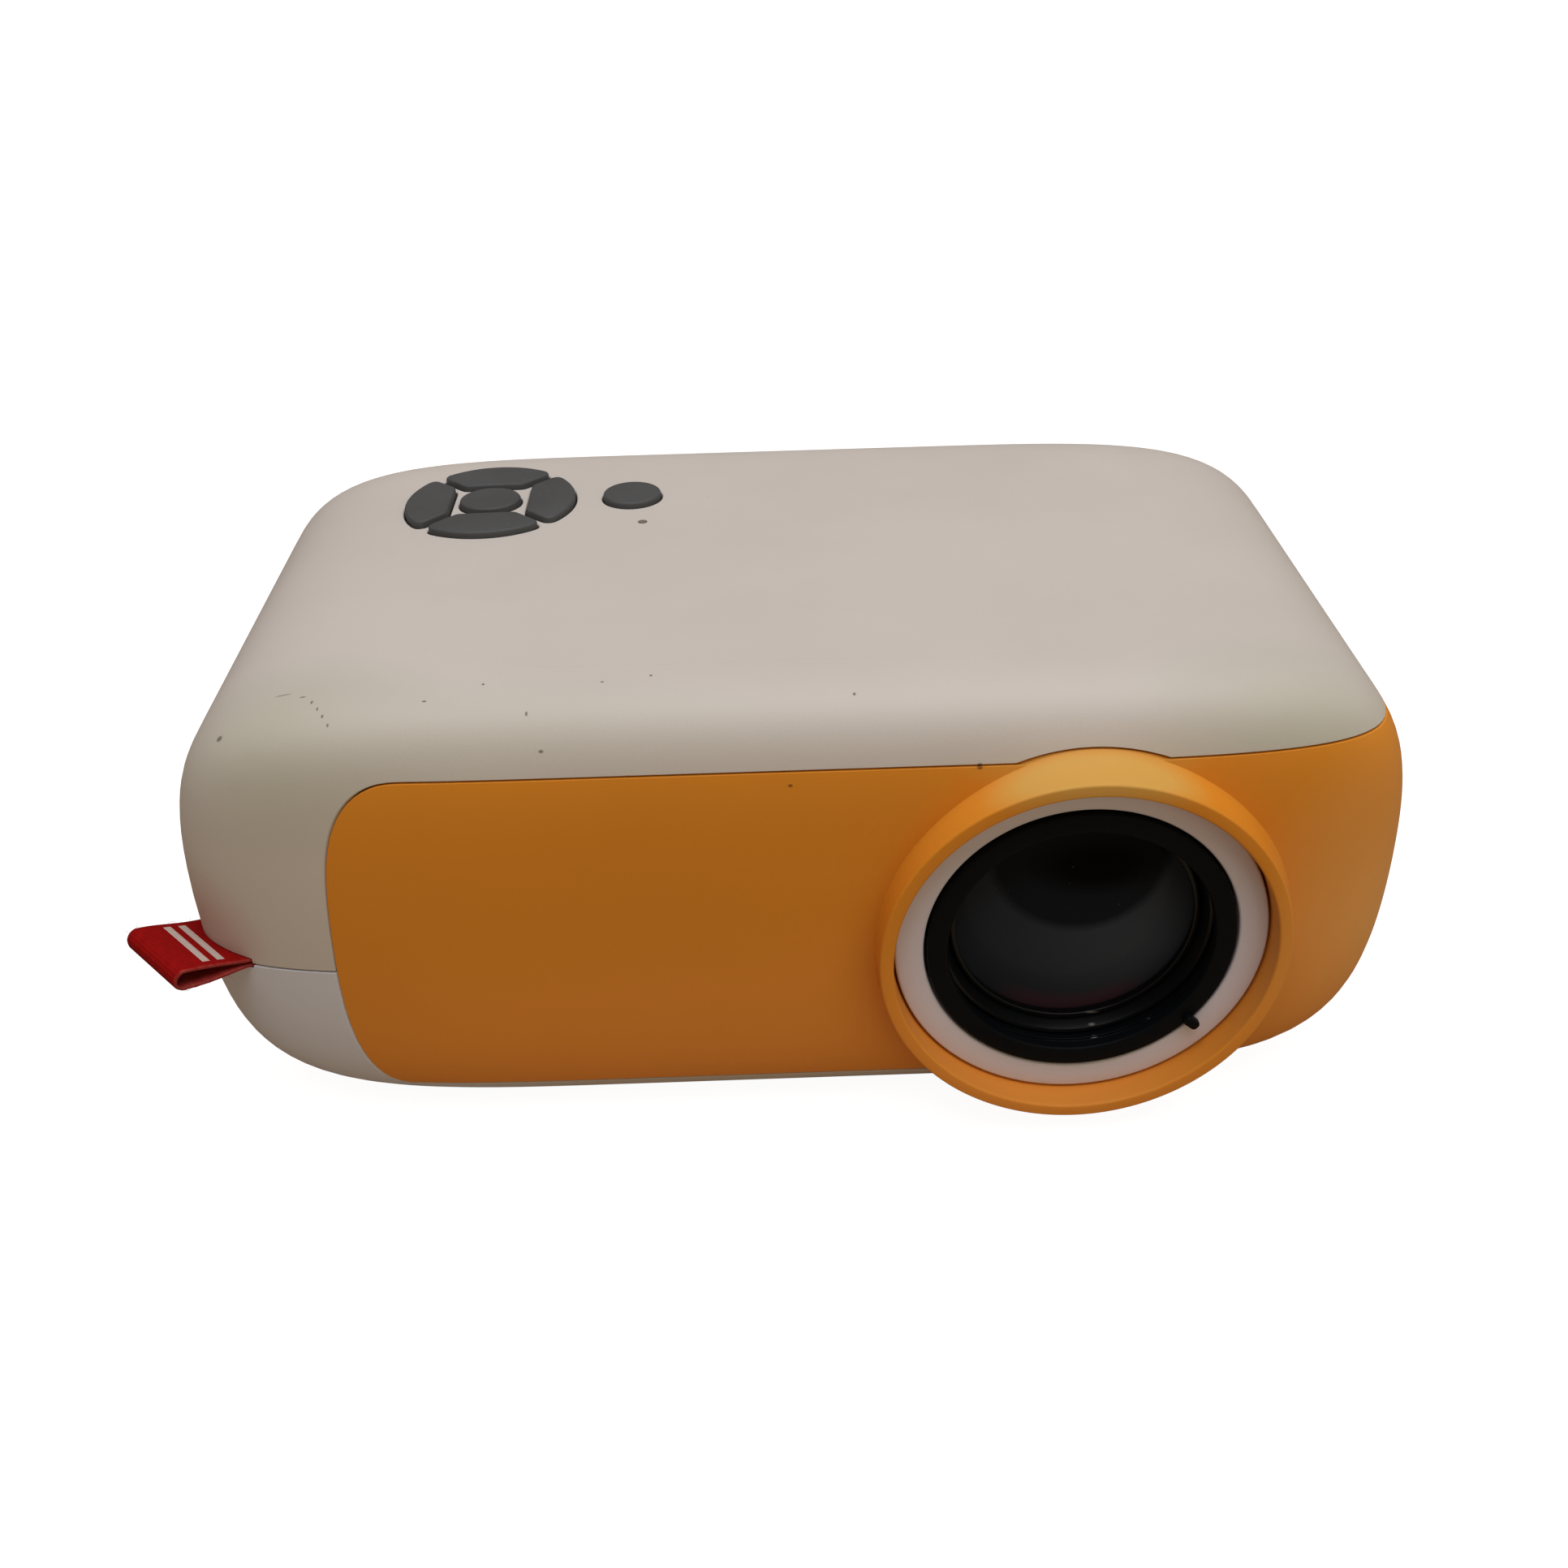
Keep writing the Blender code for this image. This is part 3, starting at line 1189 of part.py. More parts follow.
def lens_cell(assembly):
    level = cell_levels()
    seat = CELL_RADIUS - CELL_WALL
    shelf = seat - CELL_SHELF_WIDTH
    rear_seat = CELL_RADIUS - REAR_WALL
    rear_shelf = rear_seat - REAR_SHELF_WIDTH
    mouth = seat + CELL_WALL / 2
    profile = [(mouth, CELL_Y), (CELL_RADIUS, CELL_Y), (CELL_RADIUS, CELL_END_Y), (rear_seat, CELL_END_Y)]
    profile += [(rear_seat, level["rear_shelf"]), (rear_shelf, level["rear_shelf"])]
    profile += [(rear_shelf, level["rear_shelf"] - CELL_SHELF_THICK), (shelf, level["shelf_end"])]
    profile += [(shelf, level["shelf"]), (seat, level["shelf"]), (seat, level["retainer"])]
    mesh = made_mesh("lens_cell", *turned(profile, "Y", (LENS_X, LENS_Z), ROUND_SEGMENTS, True))
    cell = assembly.piece("lens_cell", mesh, "black_plastic", (LENS_X, CELL_Y, LENS_Z))
    middle = (SLEEVE_STEP_Y + CELL_END_Y) / 2
    low = (LENS_X - LUG_WIDTH / 2, middle - LUG_LENGTH / 2, LENS_Z + CELL_RADIUS - CELL_WALL / 2)
    high = (LENS_X + LUG_WIDTH / 2, middle + LUG_LENGTH / 2, LENS_Z + CELL_RADIUS + LUG_REACH)
    combine(cell, assembly.guide("cell_lug", made_mesh("cell_lug", *block(low, high))), "UNION")


def lens_profile(radius, front, edge, front_bulge, back_bulge):
    """A glass with a rim of the given edge thickness and two bulged faces."""
    profile = []
    for step in range(ARC_STEPS + 1):
        share = step / ARC_STEPS
        profile.append((radius * share, front - front_bulge * (1 - share**2)))
    for step in range(ARC_STEPS + 1):
        share = 1 - step / ARC_STEPS
        profile.append((radius * share, front + edge + back_bulge * (1 - share**2)))
    return profile


def lens_glasses(assembly):
    level = cell_levels()
    lens = (LENS_X, LENS_Z)
    seat = CELL_RADIUS - CELL_WALL - GAP
    rear_seat = CELL_RADIUS - REAR_WALL - GAP
    front = lens_profile(seat, level["glass"], FRONT_GLASS_EDGE, FRONT_GLASS_BULGE, FRONT_GLASS_BACK_BULGE)
    rear = lens_profile(rear_seat, level["rear_glass"], REAR_GLASS_EDGE, REAR_GLASS_BULGE, REAR_GLASS_BULGE / 2)
    for name, profile, y in (("front_lens", front, level["glass"]), ("rear_lens", rear, level["rear_glass"])):
        assembly.piece(name, made_mesh(name, *turned(profile, "Y", lens)), "lens_glass", (LENS_X, y, LENS_Z))
    rings = (
        ("front_retainer", seat, level["retainer"], level["retainer"] + RETAINER_THICK),
        ("rear_retainer", rear_seat, level["rear_retainer"] - RETAINER_THICK, level["rear_retainer"]),
    )
    for name, radius, start, end in rings:
        profile = tube(radius - RETAINER_WIDTH, radius, start, end)
        mesh = made_mesh(name, *turned(profile, "Y", lens, ROUND_SEGMENTS, True))
        assembly.piece(name, mesh, "black_plastic", (LENS_X, start, LENS_Z))


# Optical engine


def plate_places():
    """Each flat optic's name with its left and right faces, worked leftwards from the mirror."""
    places = []
    right = LENS_X - MIRROR_HALF - OPTIC_SPACING
    for name, thickness in PLATE_THICKNESSES:
        places.append((name, right - thickness, right))
        right -= thickness + OPTIC_SPACING
    return places


def condenser_left_x():
    return plate_places()[-1][1] - OPTIC_SPACING - CONDENSER_RISE - CONDENSER_FLANGE


def engine_left_x():
    return condenser_left_x() - CONDENSER_STANDOFF - ENGINE_WALL


def plate_outline():
    """Front, low, rear and high edges that every flat optic shares, inside its grooves."""
    reach = ENGINE_DEPTH / 2 - ENGINE_WALL + GROOVE_DEPTH - GAP
    low = ENGINE_LOW_Z + ENGINE_WALL + GAP
    high = ENGINE_HIGH_Z - ENGINE_LID - GAP
    return ENGINE_CENTRE_Y - reach, low, ENGINE_CENTRE_Y + reach, high


def engine_case(assembly):
    left = engine_left_x()
    top = ENGINE_HIGH_Z - ENGINE_LID
    mesh = made_mesh("engine_case", *block((left, ENGINE_FRONT_Y, ENGINE_LOW_Z), (ENGINE_RIGHT_X, ENGINE_REAR_Y, top)))
    case = assembly.piece("engine_case", mesh, "black_plastic", smooth=False)
    wall = ENGINE_WALL
    low = (left + wall, ENGINE_FRONT_Y + wall, ENGINE_LOW_Z + wall)
    high = (ENGINE_RIGHT_X - wall, ENGINE_REAR_Y - wall, top + OVERRUN)
    cavity = assembly.guide("engine_cavity", made_mesh("engine_cavity", *block(low, high)))
    reach = ENGINE_DEPTH / 2 - wall + GROOVE_DEPTH
    grooves = []
    condenser = ("condenser_lens", condenser_left_x(), condenser_left_x() + CONDENSER_FLANGE)
    for _, start, end in plate_places() + [condenser]:
        low = (start - GAP, ENGINE_CENTRE_Y - reach, ENGINE_LOW_Z + wall)
        high = (end + GAP, ENGINE_CENTRE_Y + reach, top + OVERRUN)
        grooves.append(block(low, high))
    half = LAMP_SIZE / 2 + LAMP_HOLE_MARGIN
    low = (left - OVERRUN, ENGINE_CENTRE_Y - half, LENS_Z - half)
    high = (left + wall + OVERRUN / 2, ENGINE_CENTRE_Y + half, LENS_Z + half)
    window = assembly.guide("lamp_window", made_mesh("lamp_window", *block(low, high)))
    hole = disc(CELL_RADIUS - CELL_WALL, ENGINE_FRONT_Y - OVERRUN, ENGINE_FRONT_Y + wall + OVERRUN)
    mouth = assembly.guide("engine_mouth", made_mesh("engine_mouth", *turned(hole, "Y", (LENS_X, LENS_Z))))
    cut(case, cavity, assembly.guide("engine_grooves", joined("engine_grooves", grooves)), window, mouth)
    low = (left, ENGINE_FRONT_Y, top + GAP)
    lid = made_mesh("engine_lid", *block(low, (ENGINE_RIGHT_X, ENGINE_REAR_Y, ENGINE_HIGH_Z + GAP)))
    assembly.piece("engine_lid", lid, "black_plastic", smooth=False)


def flat_optics(assembly):
    front, low, rear, high = plate_outline()
    for name, start, end in plate_places():
        finish = "board_green" if name == "lcd_panel" else "clear_optic"
        mesh = made_mesh(name, *block((start, front, low), (end, rear, high)))
        assembly.piece(name, mesh, finish, smooth=False)


def condenser_lens(assembly):
    front, low, rear, high = plate_outline()
    left = condenser_left_x()
    flange = left + CONDENSER_FLANGE
    mesh = made_mesh("condenser_lens", *block((left, front, low), (flange, rear, high)))
    lens = assembly.piece("condenser_lens", mesh, "clear_optic")
    profile = [(0, flange - CONDENSER_FLANGE / 2), (CONDENSER_RADIUS, flange - CONDENSER_FLANGE / 2)]
    for step in range(ARC_STEPS + 1):
        turn = step * pi / 2 / ARC_STEPS
        profile.append((CONDENSER_RADIUS * cos(turn), flange + CONDENSER_RISE * sin(turn)))
    centre = (ENGINE_CENTRE_Y, LENS_Z)
    dome = made_mesh("condenser_dome", *turned(profile, "X", centre, SMALL_SEGMENTS))
    combine(lens, assembly.guide("condenser_dome", dome), "UNION")


def fold_mirror(assembly):
    """The mirror stands at 45 degrees, and turns the light from +X towards the lens."""
    low = ENGINE_LOW_Z + ENGINE_WALL + GAP
    high = ENGINE_HIGH_Z - ENGINE_LID - GAP
    along = Vector((1, -1)).normalized() * MIRROR_LENGTH / 2
    thick = Vector((1, 1)).normalized() * MIRROR_THICK / 2
    centre = Vector((LENS_X, ENGINE_CENTRE_Y))
    corners = (centre - along - thick, centre + along - thick, centre + along + thick, centre - along + thick)
    mesh = made_mesh("fold_mirror", *prism([tuple(corner) for corner in corners], low, high))
    assembly.piece("fold_mirror", mesh, "mirror_glass", (*centre, low), smooth=False)


# Lamp, heatsink and fan


def lamp_board_left_x():
    return engine_left_x() - GAP - LAMP_BOARD_THICK


def lamp(assembly):
    right = engine_left_x() - GAP
    half = LAMP_BOARD_SIZE / 2
    low = (lamp_board_left_x(), ENGINE_CENTRE_Y - half, LENS_Z - half)
    board = made_mesh("lamp_board", *block(low, (right, ENGINE_CENTRE_Y + half, LENS_Z + half)))
    assembly.piece("lamp_board", board, "fin_aluminium", smooth=False)
    half = LAMP_SIZE / 2
    low = (right + GAP, ENGINE_CENTRE_Y - half, LENS_Z - half)
    high = (right + GAP + LAMP_THICK, ENGINE_CENTRE_Y + half, LENS_Z + half)
    assembly.piece("lamp", made_mesh("lamp", *block(low, high)), "lamp_phosphor", smooth=False)


def heatsink(assembly):
    """A comb of upright fins that reach from their base to the fan."""
    right = lamp_board_left_x() - GAP
    base = right - HEATSINK_BASE
    tip = fan_left_x() + FAN_THICK + GAP
    front = ENGINE_CENTRE_Y - HEATSINK_SIZE / 2
    pitch = (HEATSINK_SIZE - HEATSINK_FIN) / (HEATSINK_FINS - 1)
    outline = [(right, front), (right, front + HEATSINK_SIZE)]
    for index in reversed(range(HEATSINK_FINS)):
        start = front + index * pitch
        outline += [(base, start + HEATSINK_FIN), (tip, start + HEATSINK_FIN), (tip, start), (base, start)]
    outline = [outline[0], outline[1]] + outline[3:-1]
    low = LENS_Z - HEATSINK_SIZE / 2
    mesh = made_mesh("heatsink", *prism(outline, low, low + HEATSINK_SIZE))
    assembly.piece("heatsink", mesh, "fin_aluminium", smooth=False)


def fan_levels():
    """Places along the fan's axis, from its outer face inwards."""
    left = fan_left_x()
    hub_left = left + GAP
    hub_right = hub_left + FAN_HUB_THICK
    strut_right = left + FAN_THICK
    return left, hub_left, hub_right, strut_right


def fan_frame(assembly):
    left, _, hub_right, right = fan_levels()
    half = FAN_SIZE / 2
    low = (left, ENGINE_CENTRE_Y - half, LENS_Z - half)
    mesh = made_mesh("fan_frame", *block(low, (right, ENGINE_CENTRE_Y + half, LENS_Z + half)))
    frame = assembly.piece("fan_frame", mesh, "black_plastic")
    centre = (ENGINE_CENTRE_Y, LENS_Z)
    bore = turned(disc(FAN_BORE, left - OVERRUN, right + OVERRUN), "X", centre)
    cut(frame, assembly.guide("fan_bore", made_mesh("fan_bore", *bore)))
    strut_left = right - FAN_STRUT_THICK
    reach = FAN_BORE + OVERRUN
    half_strut = FAN_STRUT_WIDTH / 2
    upright = block(
        (strut_left, ENGINE_CENTRE_Y - half_strut, LENS_Z - reach), (right, ENGINE_CENTRE_Y + half_strut, LENS_Z + reach)
    )
    level = block(
        (strut_left, ENGINE_CENTRE_Y - reach, LENS_Z - half_strut), (right, ENGINE_CENTRE_Y + reach, LENS_Z + half_strut)
    )
    bearing_low = strut_left - FAN_BEARING_REACH
    bearing_profile = disc(FAN_BEARING_RADIUS, bearing_low, right)
    for name, part in (
        ("fan_upright_strut", upright),
        ("fan_level_strut", level),
        ("fan_bearing", turned(bearing_profile, "X", centre, SMALL_SEGMENTS)),
    ):
        combine(frame, assembly.guide(name, made_mesh(name, *part)), "UNION")
    hole = disc(FAN_SHAFT_RADIUS + GAP, bearing_low - OVERRUN, right + OVERRUN)
    cut(frame, assembly.guide("fan_shaft_hole", made_mesh("fan_shaft_hole", *turned(hole, "X", centre, SMALL_SEGMENTS))))


def fan_blade(index, left, right):
    """A flat blade set at its pitch, whose root is sunk in the hub."""
    angle = 2 * pi * index / FAN_BLADES
    radial = Vector((0, cos(angle), sin(angle)))
    spinward = Vector((0, -sin(angle), cos(angle)))
    middle = (left + right) / 2
    chord = Vector((sin(FAN_BLADE_PITCH), 0, 0)) + spinward * cos(FAN_BLADE_PITCH)
    normal = Vector((cos(FAN_BLADE_PITCH), 0, 0)) - spinward * sin(FAN_BLADE_PITCH)
    centre = Vector((middle, ENGINE_CENTRE_Y, LENS_Z))
    root = FAN_HUB_RADIUS - OVERRUN
    points = []
    for reach in (root, FAN_HUB_RADIUS + FAN_BLADE_REACH):
        for across in (-FAN_BLADE_THICK / 2, FAN_BLADE_THICK / 2):
            for along in (-FAN_BLADE_CHORD / 2, FAN_BLADE_CHORD / 2):
                scale = 1 if reach > root else FAN_HUB_RADIUS / FAN_BORE
                points.append(centre + radial * reach + normal * across + chord * along * scale)
    return points, block((0, 0, 0), (1, 1, 1))[1]


def fan_rotor(assembly):
    _, hub_left, hub_right, right = fan_levels()
    centre = (ENGINE_CENTRE_Y, LENS_Z)
    strut_left = right - FAN_STRUT_THICK
    bearing_low = strut_left - FAN_BEARING_REACH
    cup = bearing_low - GAP
    skirt = min(hub_right, strut_left - GAP)
    cup_radius = FAN_BEARING_RADIUS + GAP * 2
    profile = [(0, hub_left), (FAN_HUB_RADIUS, hub_left), (FAN_HUB_RADIUS, skirt), (cup_radius, skirt)]
    profile += [(cup_radius, min(cup, skirt - GAP)), (FAN_SHAFT_RADIUS, min(cup, skirt - GAP))]
    profile += [(FAN_SHAFT_RADIUS, right - GAP), (0, right - GAP)]
    origin = (hub_left, *centre)
    mesh = made_mesh("fan_rotor", *turned(profile, "X", centre, SMALL_SEGMENTS))
    rotor = assembly.piece("fan_rotor", mesh, "black_plastic", origin)
    blades = [fan_blade(index, hub_left, skirt) for index in range(FAN_BLADES)]
    combine(rotor, assembly.guide("fan_blades", joined("fan_blades", blades)), "UNION")


# Keys, switches and key board


def sector_outline(direction, inner):
    """A pad key: the outer arc of the pad between two diagonal splits, with a straight inner edge."""
    half_split = PAD_SPLIT / 2
    slant = sin(pi / 4)
    outer_run = sqrt(PAD_RADIUS**2 - half_split**2)
    tip_x = outer_run * slant - half_split * slant
    tip_y = outer_run * slant + half_split * slant
    inner_x = inner - 2 * half_split * slant
    edge_angle = asin(tip_x / PAD_RADIUS)
    points = [(-inner_x, inner), (inner_x, inner)]
    steps = 2 * ARC_STEPS
    for step in range(steps + 1):
        angle = edge_angle * (1 - 2 * step / steps)
        points.append((PAD_RADIUS * sin(angle), PAD_RADIUS * cos(angle)))
    points[2] = (tip_x, tip_y)
    points[-1] = (-tip_x, tip_y)
    turned_points = []
    for x, y in points:
        turned_points.append((x * direction[1] + y * direction[0], y * direction[1] - x * direction[0]))
    return eased(turned_points)


def eased(outline):
    """The outline with each sharp corner cut off by the key's corner size."""
    result = []
    count = len(outline)
    for index in range(count):
        before = Vector(outline[index - 1])
        here = Vector(outline[index])
        after = Vector(outline[(index + 1) % count])
        back = before - here
        ahead = after - here
        if back.angle(ahead) < radians(140):
            step = min(KEY_CORNER, back.length / 3, ahead.length / 3)
            first = here + back.normalized() * step
            last = here + ahead.normalized() * step
            middle = (first + last + here * 2) / 4
            result += [tuple(first), tuple(middle), tuple(last)]
        else:
            result.append(tuple(here))
    return result


def round_outline(width, depth):
    """A rounded outline, squarer than an ellipse."""
    points = []
    steps = 4 * ARC_STEPS
    for step in range(steps):
        angle = 2 * pi * (step + 1 / 2) / steps
        points.append((width / 2 * cos(angle), depth / 2 * sin(angle)))
    return points


def grown(outline, distance):
    """The outline pushed outwards by a distance along its corners' bisectors."""
    count = len(outline)
    area = sum(
        outline[index - 1][0] * outline[index][1] - outline[index][0] * outline[index - 1][1]
        for index in range(count)
    )
    side = 1 if area > 0 else -1
    result = []
    for index in range(count):
        here = Vector(outline[index])
        back = (here - Vector(outline[index - 1])).normalized()
        ahead = (Vector(outline[(index + 1) % count]) - here).normalized()
        back_normal = Vector((back.y, -back.x)) * side
        ahead_normal = Vector((ahead.y, -ahead.x)) * side
        bisector = (back_normal + ahead_normal).normalized()
        stretch = max(bisector.dot(ahead_normal), sin(pi / 6))
        result.append(tuple(here + bisector * distance / stretch))
    return result


def key_outlines():
    """The outline of each key in case coordinates."""
    shapes = {
        "key_up": (sector_outline((0, 1), ARC_KEY_INNER), (0, 0)),
        "key_down": (sector_outline((0, -1), ARC_KEY_INNER), (0, 0)),
        "key_left": (sector_outline((-1, 0), SIDE_KEY_INNER), (0, 0)),
        "key_right": (sector_outline((1, 0), SIDE_KEY_INNER), (0, 0)),
        "key_ok": (round_outline(OK_KEY_WIDTH, OK_KEY_DEPTH), (0, 0)),
        "key_power": (
            round_outline(2 * POWER_KEY_RADIUS, 2 * POWER_KEY_RADIUS),
            (POWER_KEY_OFFSET_X, POWER_KEY_OFFSET_Y),
        ),
    }
    outlines = {}
    for name, (outline, offset) in shapes.items():
        outlines[name] = [(PAD_X + offset[0] + x, PAD_Y + offset[1] + y) for x, y in outline]
    return outlines


def key_stems():
    """Where each key's stem stands, in case coordinates."""
    reach = PAD_RADIUS * KEY_STEM_OFFSET_SHARE
    return {
        "key_up": (PAD_X, PAD_Y + reach),
        "key_down": (PAD_X, PAD_Y - reach),
        "key_left": (PAD_X - reach, PAD_Y),
        "key_right": (PAD_X + reach, PAD_Y),
        "key_ok": (PAD_X, PAD_Y),
        "key_power": (PAD_X + POWER_KEY_OFFSET_X, PAD_Y + POWER_KEY_OFFSET_Y),
    }


def light_place():
    return PAD_X + LIGHT_OFFSET_X, PAD_Y + LIGHT_OFFSET_Y


def keys(assembly):
    level = key_levels()
    stems = key_stems()
    for name, outline in key_outlines().items():
        x, y = stems[name]
        origin = (x, y, level["flange_low"])
        top = skin_height(x, y, 0) + KEY_PROUD
        cap_low = level["flange_low"] + KEY_FLANGE_THICK / 2
        cap = made_mesh(name, *prism(outline, cap_low, top))
        key = assembly.piece(name, cap, "key_rubber", origin)
        rounded(key, KEY_TOP_ROUND, 1, radians(60))
        flange = made_mesh(
            f"{name}_flange", *prism(grown(outline, KEY_FLANGE), level["flange_low"], level["flange_top"])
        )
        stem_profile = disc(KEY_STEM_RADIUS, level["stem_low"], level["flange_low"] + KEY_FLANGE_THICK / 2)
        stem = made_mesh(f"{name}_stem", *turned(stem_profile, "Z", (x, y), SMALL_SEGMENTS))
        combine(key, assembly.guide(f"{name}_flange", flange), "UNION")
        combine(key, assembly.guide(f"{name}_stem", stem), "UNION")


def switches(assembly):
    level = key_levels()
    half = SWITCH_SIZE / 2
    for key_name, (x, y) in key_stems().items():
        name = key_name.replace("key_", "switch_")
        low = (x - half, y - half, level["switch_low"])
        mesh = made_mesh(name, *block(low, (x + half, y + half, level["switch_top"])))
        switch = assembly.piece(name, mesh, "black_plastic", (x, y, level["switch_low"]), smooth=False)
        bore_low = level["switch_top"] - SWITCH_BORE_DEPTH
        bore = disc(KEY_STEM_RADIUS + GAP, bore_low, level["switch_top"] + OVERRUN)
        mesh = made_mesh(f"{name}_bore", *turned(bore, "Z", (x, y), SMALL_SEGMENTS))
        cut(switch, assembly.guide(f"{name}_bore", mesh))


def key_board(assembly):
    level = key_levels()
    left, front, right, rear = key_board_extent()
    mesh = made_mesh("key_board", *block((left, front, level["board_low"]), (right, rear, level["board_top"])))
    assembly.piece("key_board", mesh, "board_green", smooth=False)
    profile = [(0, level["board_top"] + GAP), (LIGHT_WIDTH, level["board_top"] + GAP)]
    profile += [(LIGHT_WIDTH, level["switch_top"]), (LIGHT_RADIUS, level["switch_top"] + LIGHT_RADIUS)]
    profile += [(LIGHT_RADIUS, TOP_Z), (0, TOP_Z)]
    mesh = made_mesh("light_pipe", *turned(profile, "Z", light_place(), SMALL_SEGMENTS))
    assembly.piece("light_pipe", mesh, "black_plastic", (*light_place(), level["board_top"]))


# Main board and sockets


def port_sizes():
    """Each socket's name with its width, height and depth, from left to right."""
    return (
        ("dc_jack", DC_WIDTH, DC_HEIGHT, DC_DEPTH),
        ("av_jack", AV_WIDTH, AV_HEIGHT, AV_DEPTH),
        ("usb_port", USB_WIDTH, USB_HEIGHT, USB_DEPTH),
        ("hdmi_port", HDMI_WIDTH, HDMI_HEIGHT, HDMI_DEPTH),
        ("card_slot", CARD_WIDTH, CARD_HEIGHT, CARD_DEPTH),
    )


def port_row_left():
    return PORT_ROW_START + IR_CASE_WIDTH + PORT_SPACING


def port_places():
    """Each socket's name, left and right sides, base, top and depth."""
    places = []
    left = port_row_left()
    for name, width, height, depth in port_sizes():
        places.append((name, left, left + width, PORT_BASE_Z, PORT_BASE_Z + height, depth))
        left += width + PORT_SPACING
    return places


def port_front_y(base, top):
    """The plane of a socket's mouth, a little inside the rear wall."""
    return min(half_depth(base, 0), half_depth(top, 0)) - PORT_SETBACK


def ir_centre_x():
    return PORT_ROW_START + IR_CASE_WIDTH / 2


def ir_centre_z():
    return PORT_BASE_Z + IR_CASE_HEIGHT / 2


def board_extent():
    """Left, front, right and rear edges of the main board."""
    right = port_places()[-1][2] + PORT_SPACING / 2
    rear = half_depth(BOARD_TOP_Z - BOARD_THICK, WALL) - BOARD_EDGE_CLEARANCE
    return PORT_ROW_START - PORT_SPACING / 2, ENGINE_REAR_Y + OVERRUN, right, rear


def main_board(assembly):
    left, front, right, rear = board_extent()
    low = (left, front, BOARD_TOP_Z - BOARD_THICK)
    mesh = made_mesh("main_board", *block(low, (right, rear, BOARD_TOP_Z)))
    assembly.piece("main_board", mesh, "board_green", smooth=False)
    chip_left = left + (right - left) * CHIP_SHARE
    chip_front = front + OVERRUN / 2
    deepest = max(depth for _, _, _, depth in port_sizes())
    chip_rear = min(chip_front + CHIP_SIZE, half_depth(PORT_BASE_Z, 0) - PORT_SETBACK - deepest - 2 * GAP)
    low = (chip_left, chip_front, PORT_BASE_Z)
    mesh = made_mesh("main_chip", *block(low, (chip_left + CHIP_SIZE, chip_rear, PORT_BASE_Z + CHIP_THICK)))
    assembly.piece("main_chip", mesh, "black_plastic", smooth=False)


def ir_receiver(assembly):
    x = ir_centre_x()
    z = ir_centre_z()
    rear = half_depth(PORT_BASE_Z, WALL) - OVERRUN
    low = (x - IR_CASE_WIDTH / 2, rear - IR_CASE_DEPTH, PORT_BASE_Z)
    high = (x + IR_CASE_WIDTH / 2, rear, PORT_BASE_Z + IR_CASE_HEIGHT)
    assembly.piece("ir_receiver", made_mesh("ir_receiver", *block(low, high)), "black_plastic", smooth=False)
    outer = half_depth(z, 0) - PORT_SETBACK / 2
    profile = disc(IR_WINDOW_RADIUS, rear + GAP, outer)
    mesh = made_mesh("ir_window", *turned(profile, "Y", (x, z), SMALL_SEGMENTS))
    assembly.piece("ir_window", mesh, "lens_glass", (x, rear, z))


def shielded_port(assembly, place, skin, tongue_width, tongue_thick, corner):
    """A socket in a folded steel shield, with its tongue on the back wall."""
    name, left, right, base, top, depth = place
    rear = port_front_y(base, top)
    front = rear - depth
    slant = corner
    outline = [(left + slant, base), (right - slant, base), (right, base + slant), (right, top), (left, top)]
    outline += [(left, base + slant)]
    inner = [(left + skin + slant, base + skin), (right - skin - slant, base + skin)]
    inner += [(right - skin, base + skin + slant), (right - skin, top - skin), (left + skin, top - skin)]
    inner += [(left + skin, base + skin + slant)]
    port = assembly.piece(name, made_mesh(name, *upright_prism(outline, front, rear)), "socket_steel", smooth=False)
    mouth = upright_prism(inner, front + 2 * skin, rear + OVERRUN)
    cut(port, assembly.guide(f"{name}_mouth", made_mesh(f"{name}_mouth", *mouth)))
    middle_x = (left + right) / 2
    middle_z = (base + top) / 2
    low = (middle_x - tongue_width / 2, front + skin, middle_z - tongue_thick / 2)
    high = (middle_x + tongue_width / 2, rear - 2 * skin, middle_z + tongue_thick / 2)
    combine(port, assembly.guide(f"{name}_tongue", made_mesh(f"{name}_tongue", *block(low, high))), "UNION")


def upright_prism(outline, front, rear):
    """A prism along Y on a list of (x, z) points."""
    points, faces = prism(outline, front, rear)
    return [(x, y, z) for x, z, y in points], faces


def bored_port(assembly, place, bore, bore_depth, pin):
    """A moulded socket with a round bore, and a contact pin where it has one."""
    name, left, right, base, top, depth = place
    rear = port_front_y(base, top)
    low = (left, rear - depth, base)
    port = assembly.piece(name, made_mesh(name, *block(low, (right, rear, top))), "black_plastic", smooth=False)
    centre = ((left + right) / 2, (base + top) / 2)
    end = rear - bore_depth
    if pin:
        profile = [(pin, end), (bore, end), (bore, rear + OVERRUN), (pin, rear + OVERRUN)]
        hole = turned(profile, "Y", centre, POST_SEGMENTS, True)
    else:
        hole = turned(disc(bore, end, rear + OVERRUN), "Y", centre, POST_SEGMENTS)
    cut(port, assembly.guide(f"{name}_bore", made_mesh(f"{name}_bore", *hole)))


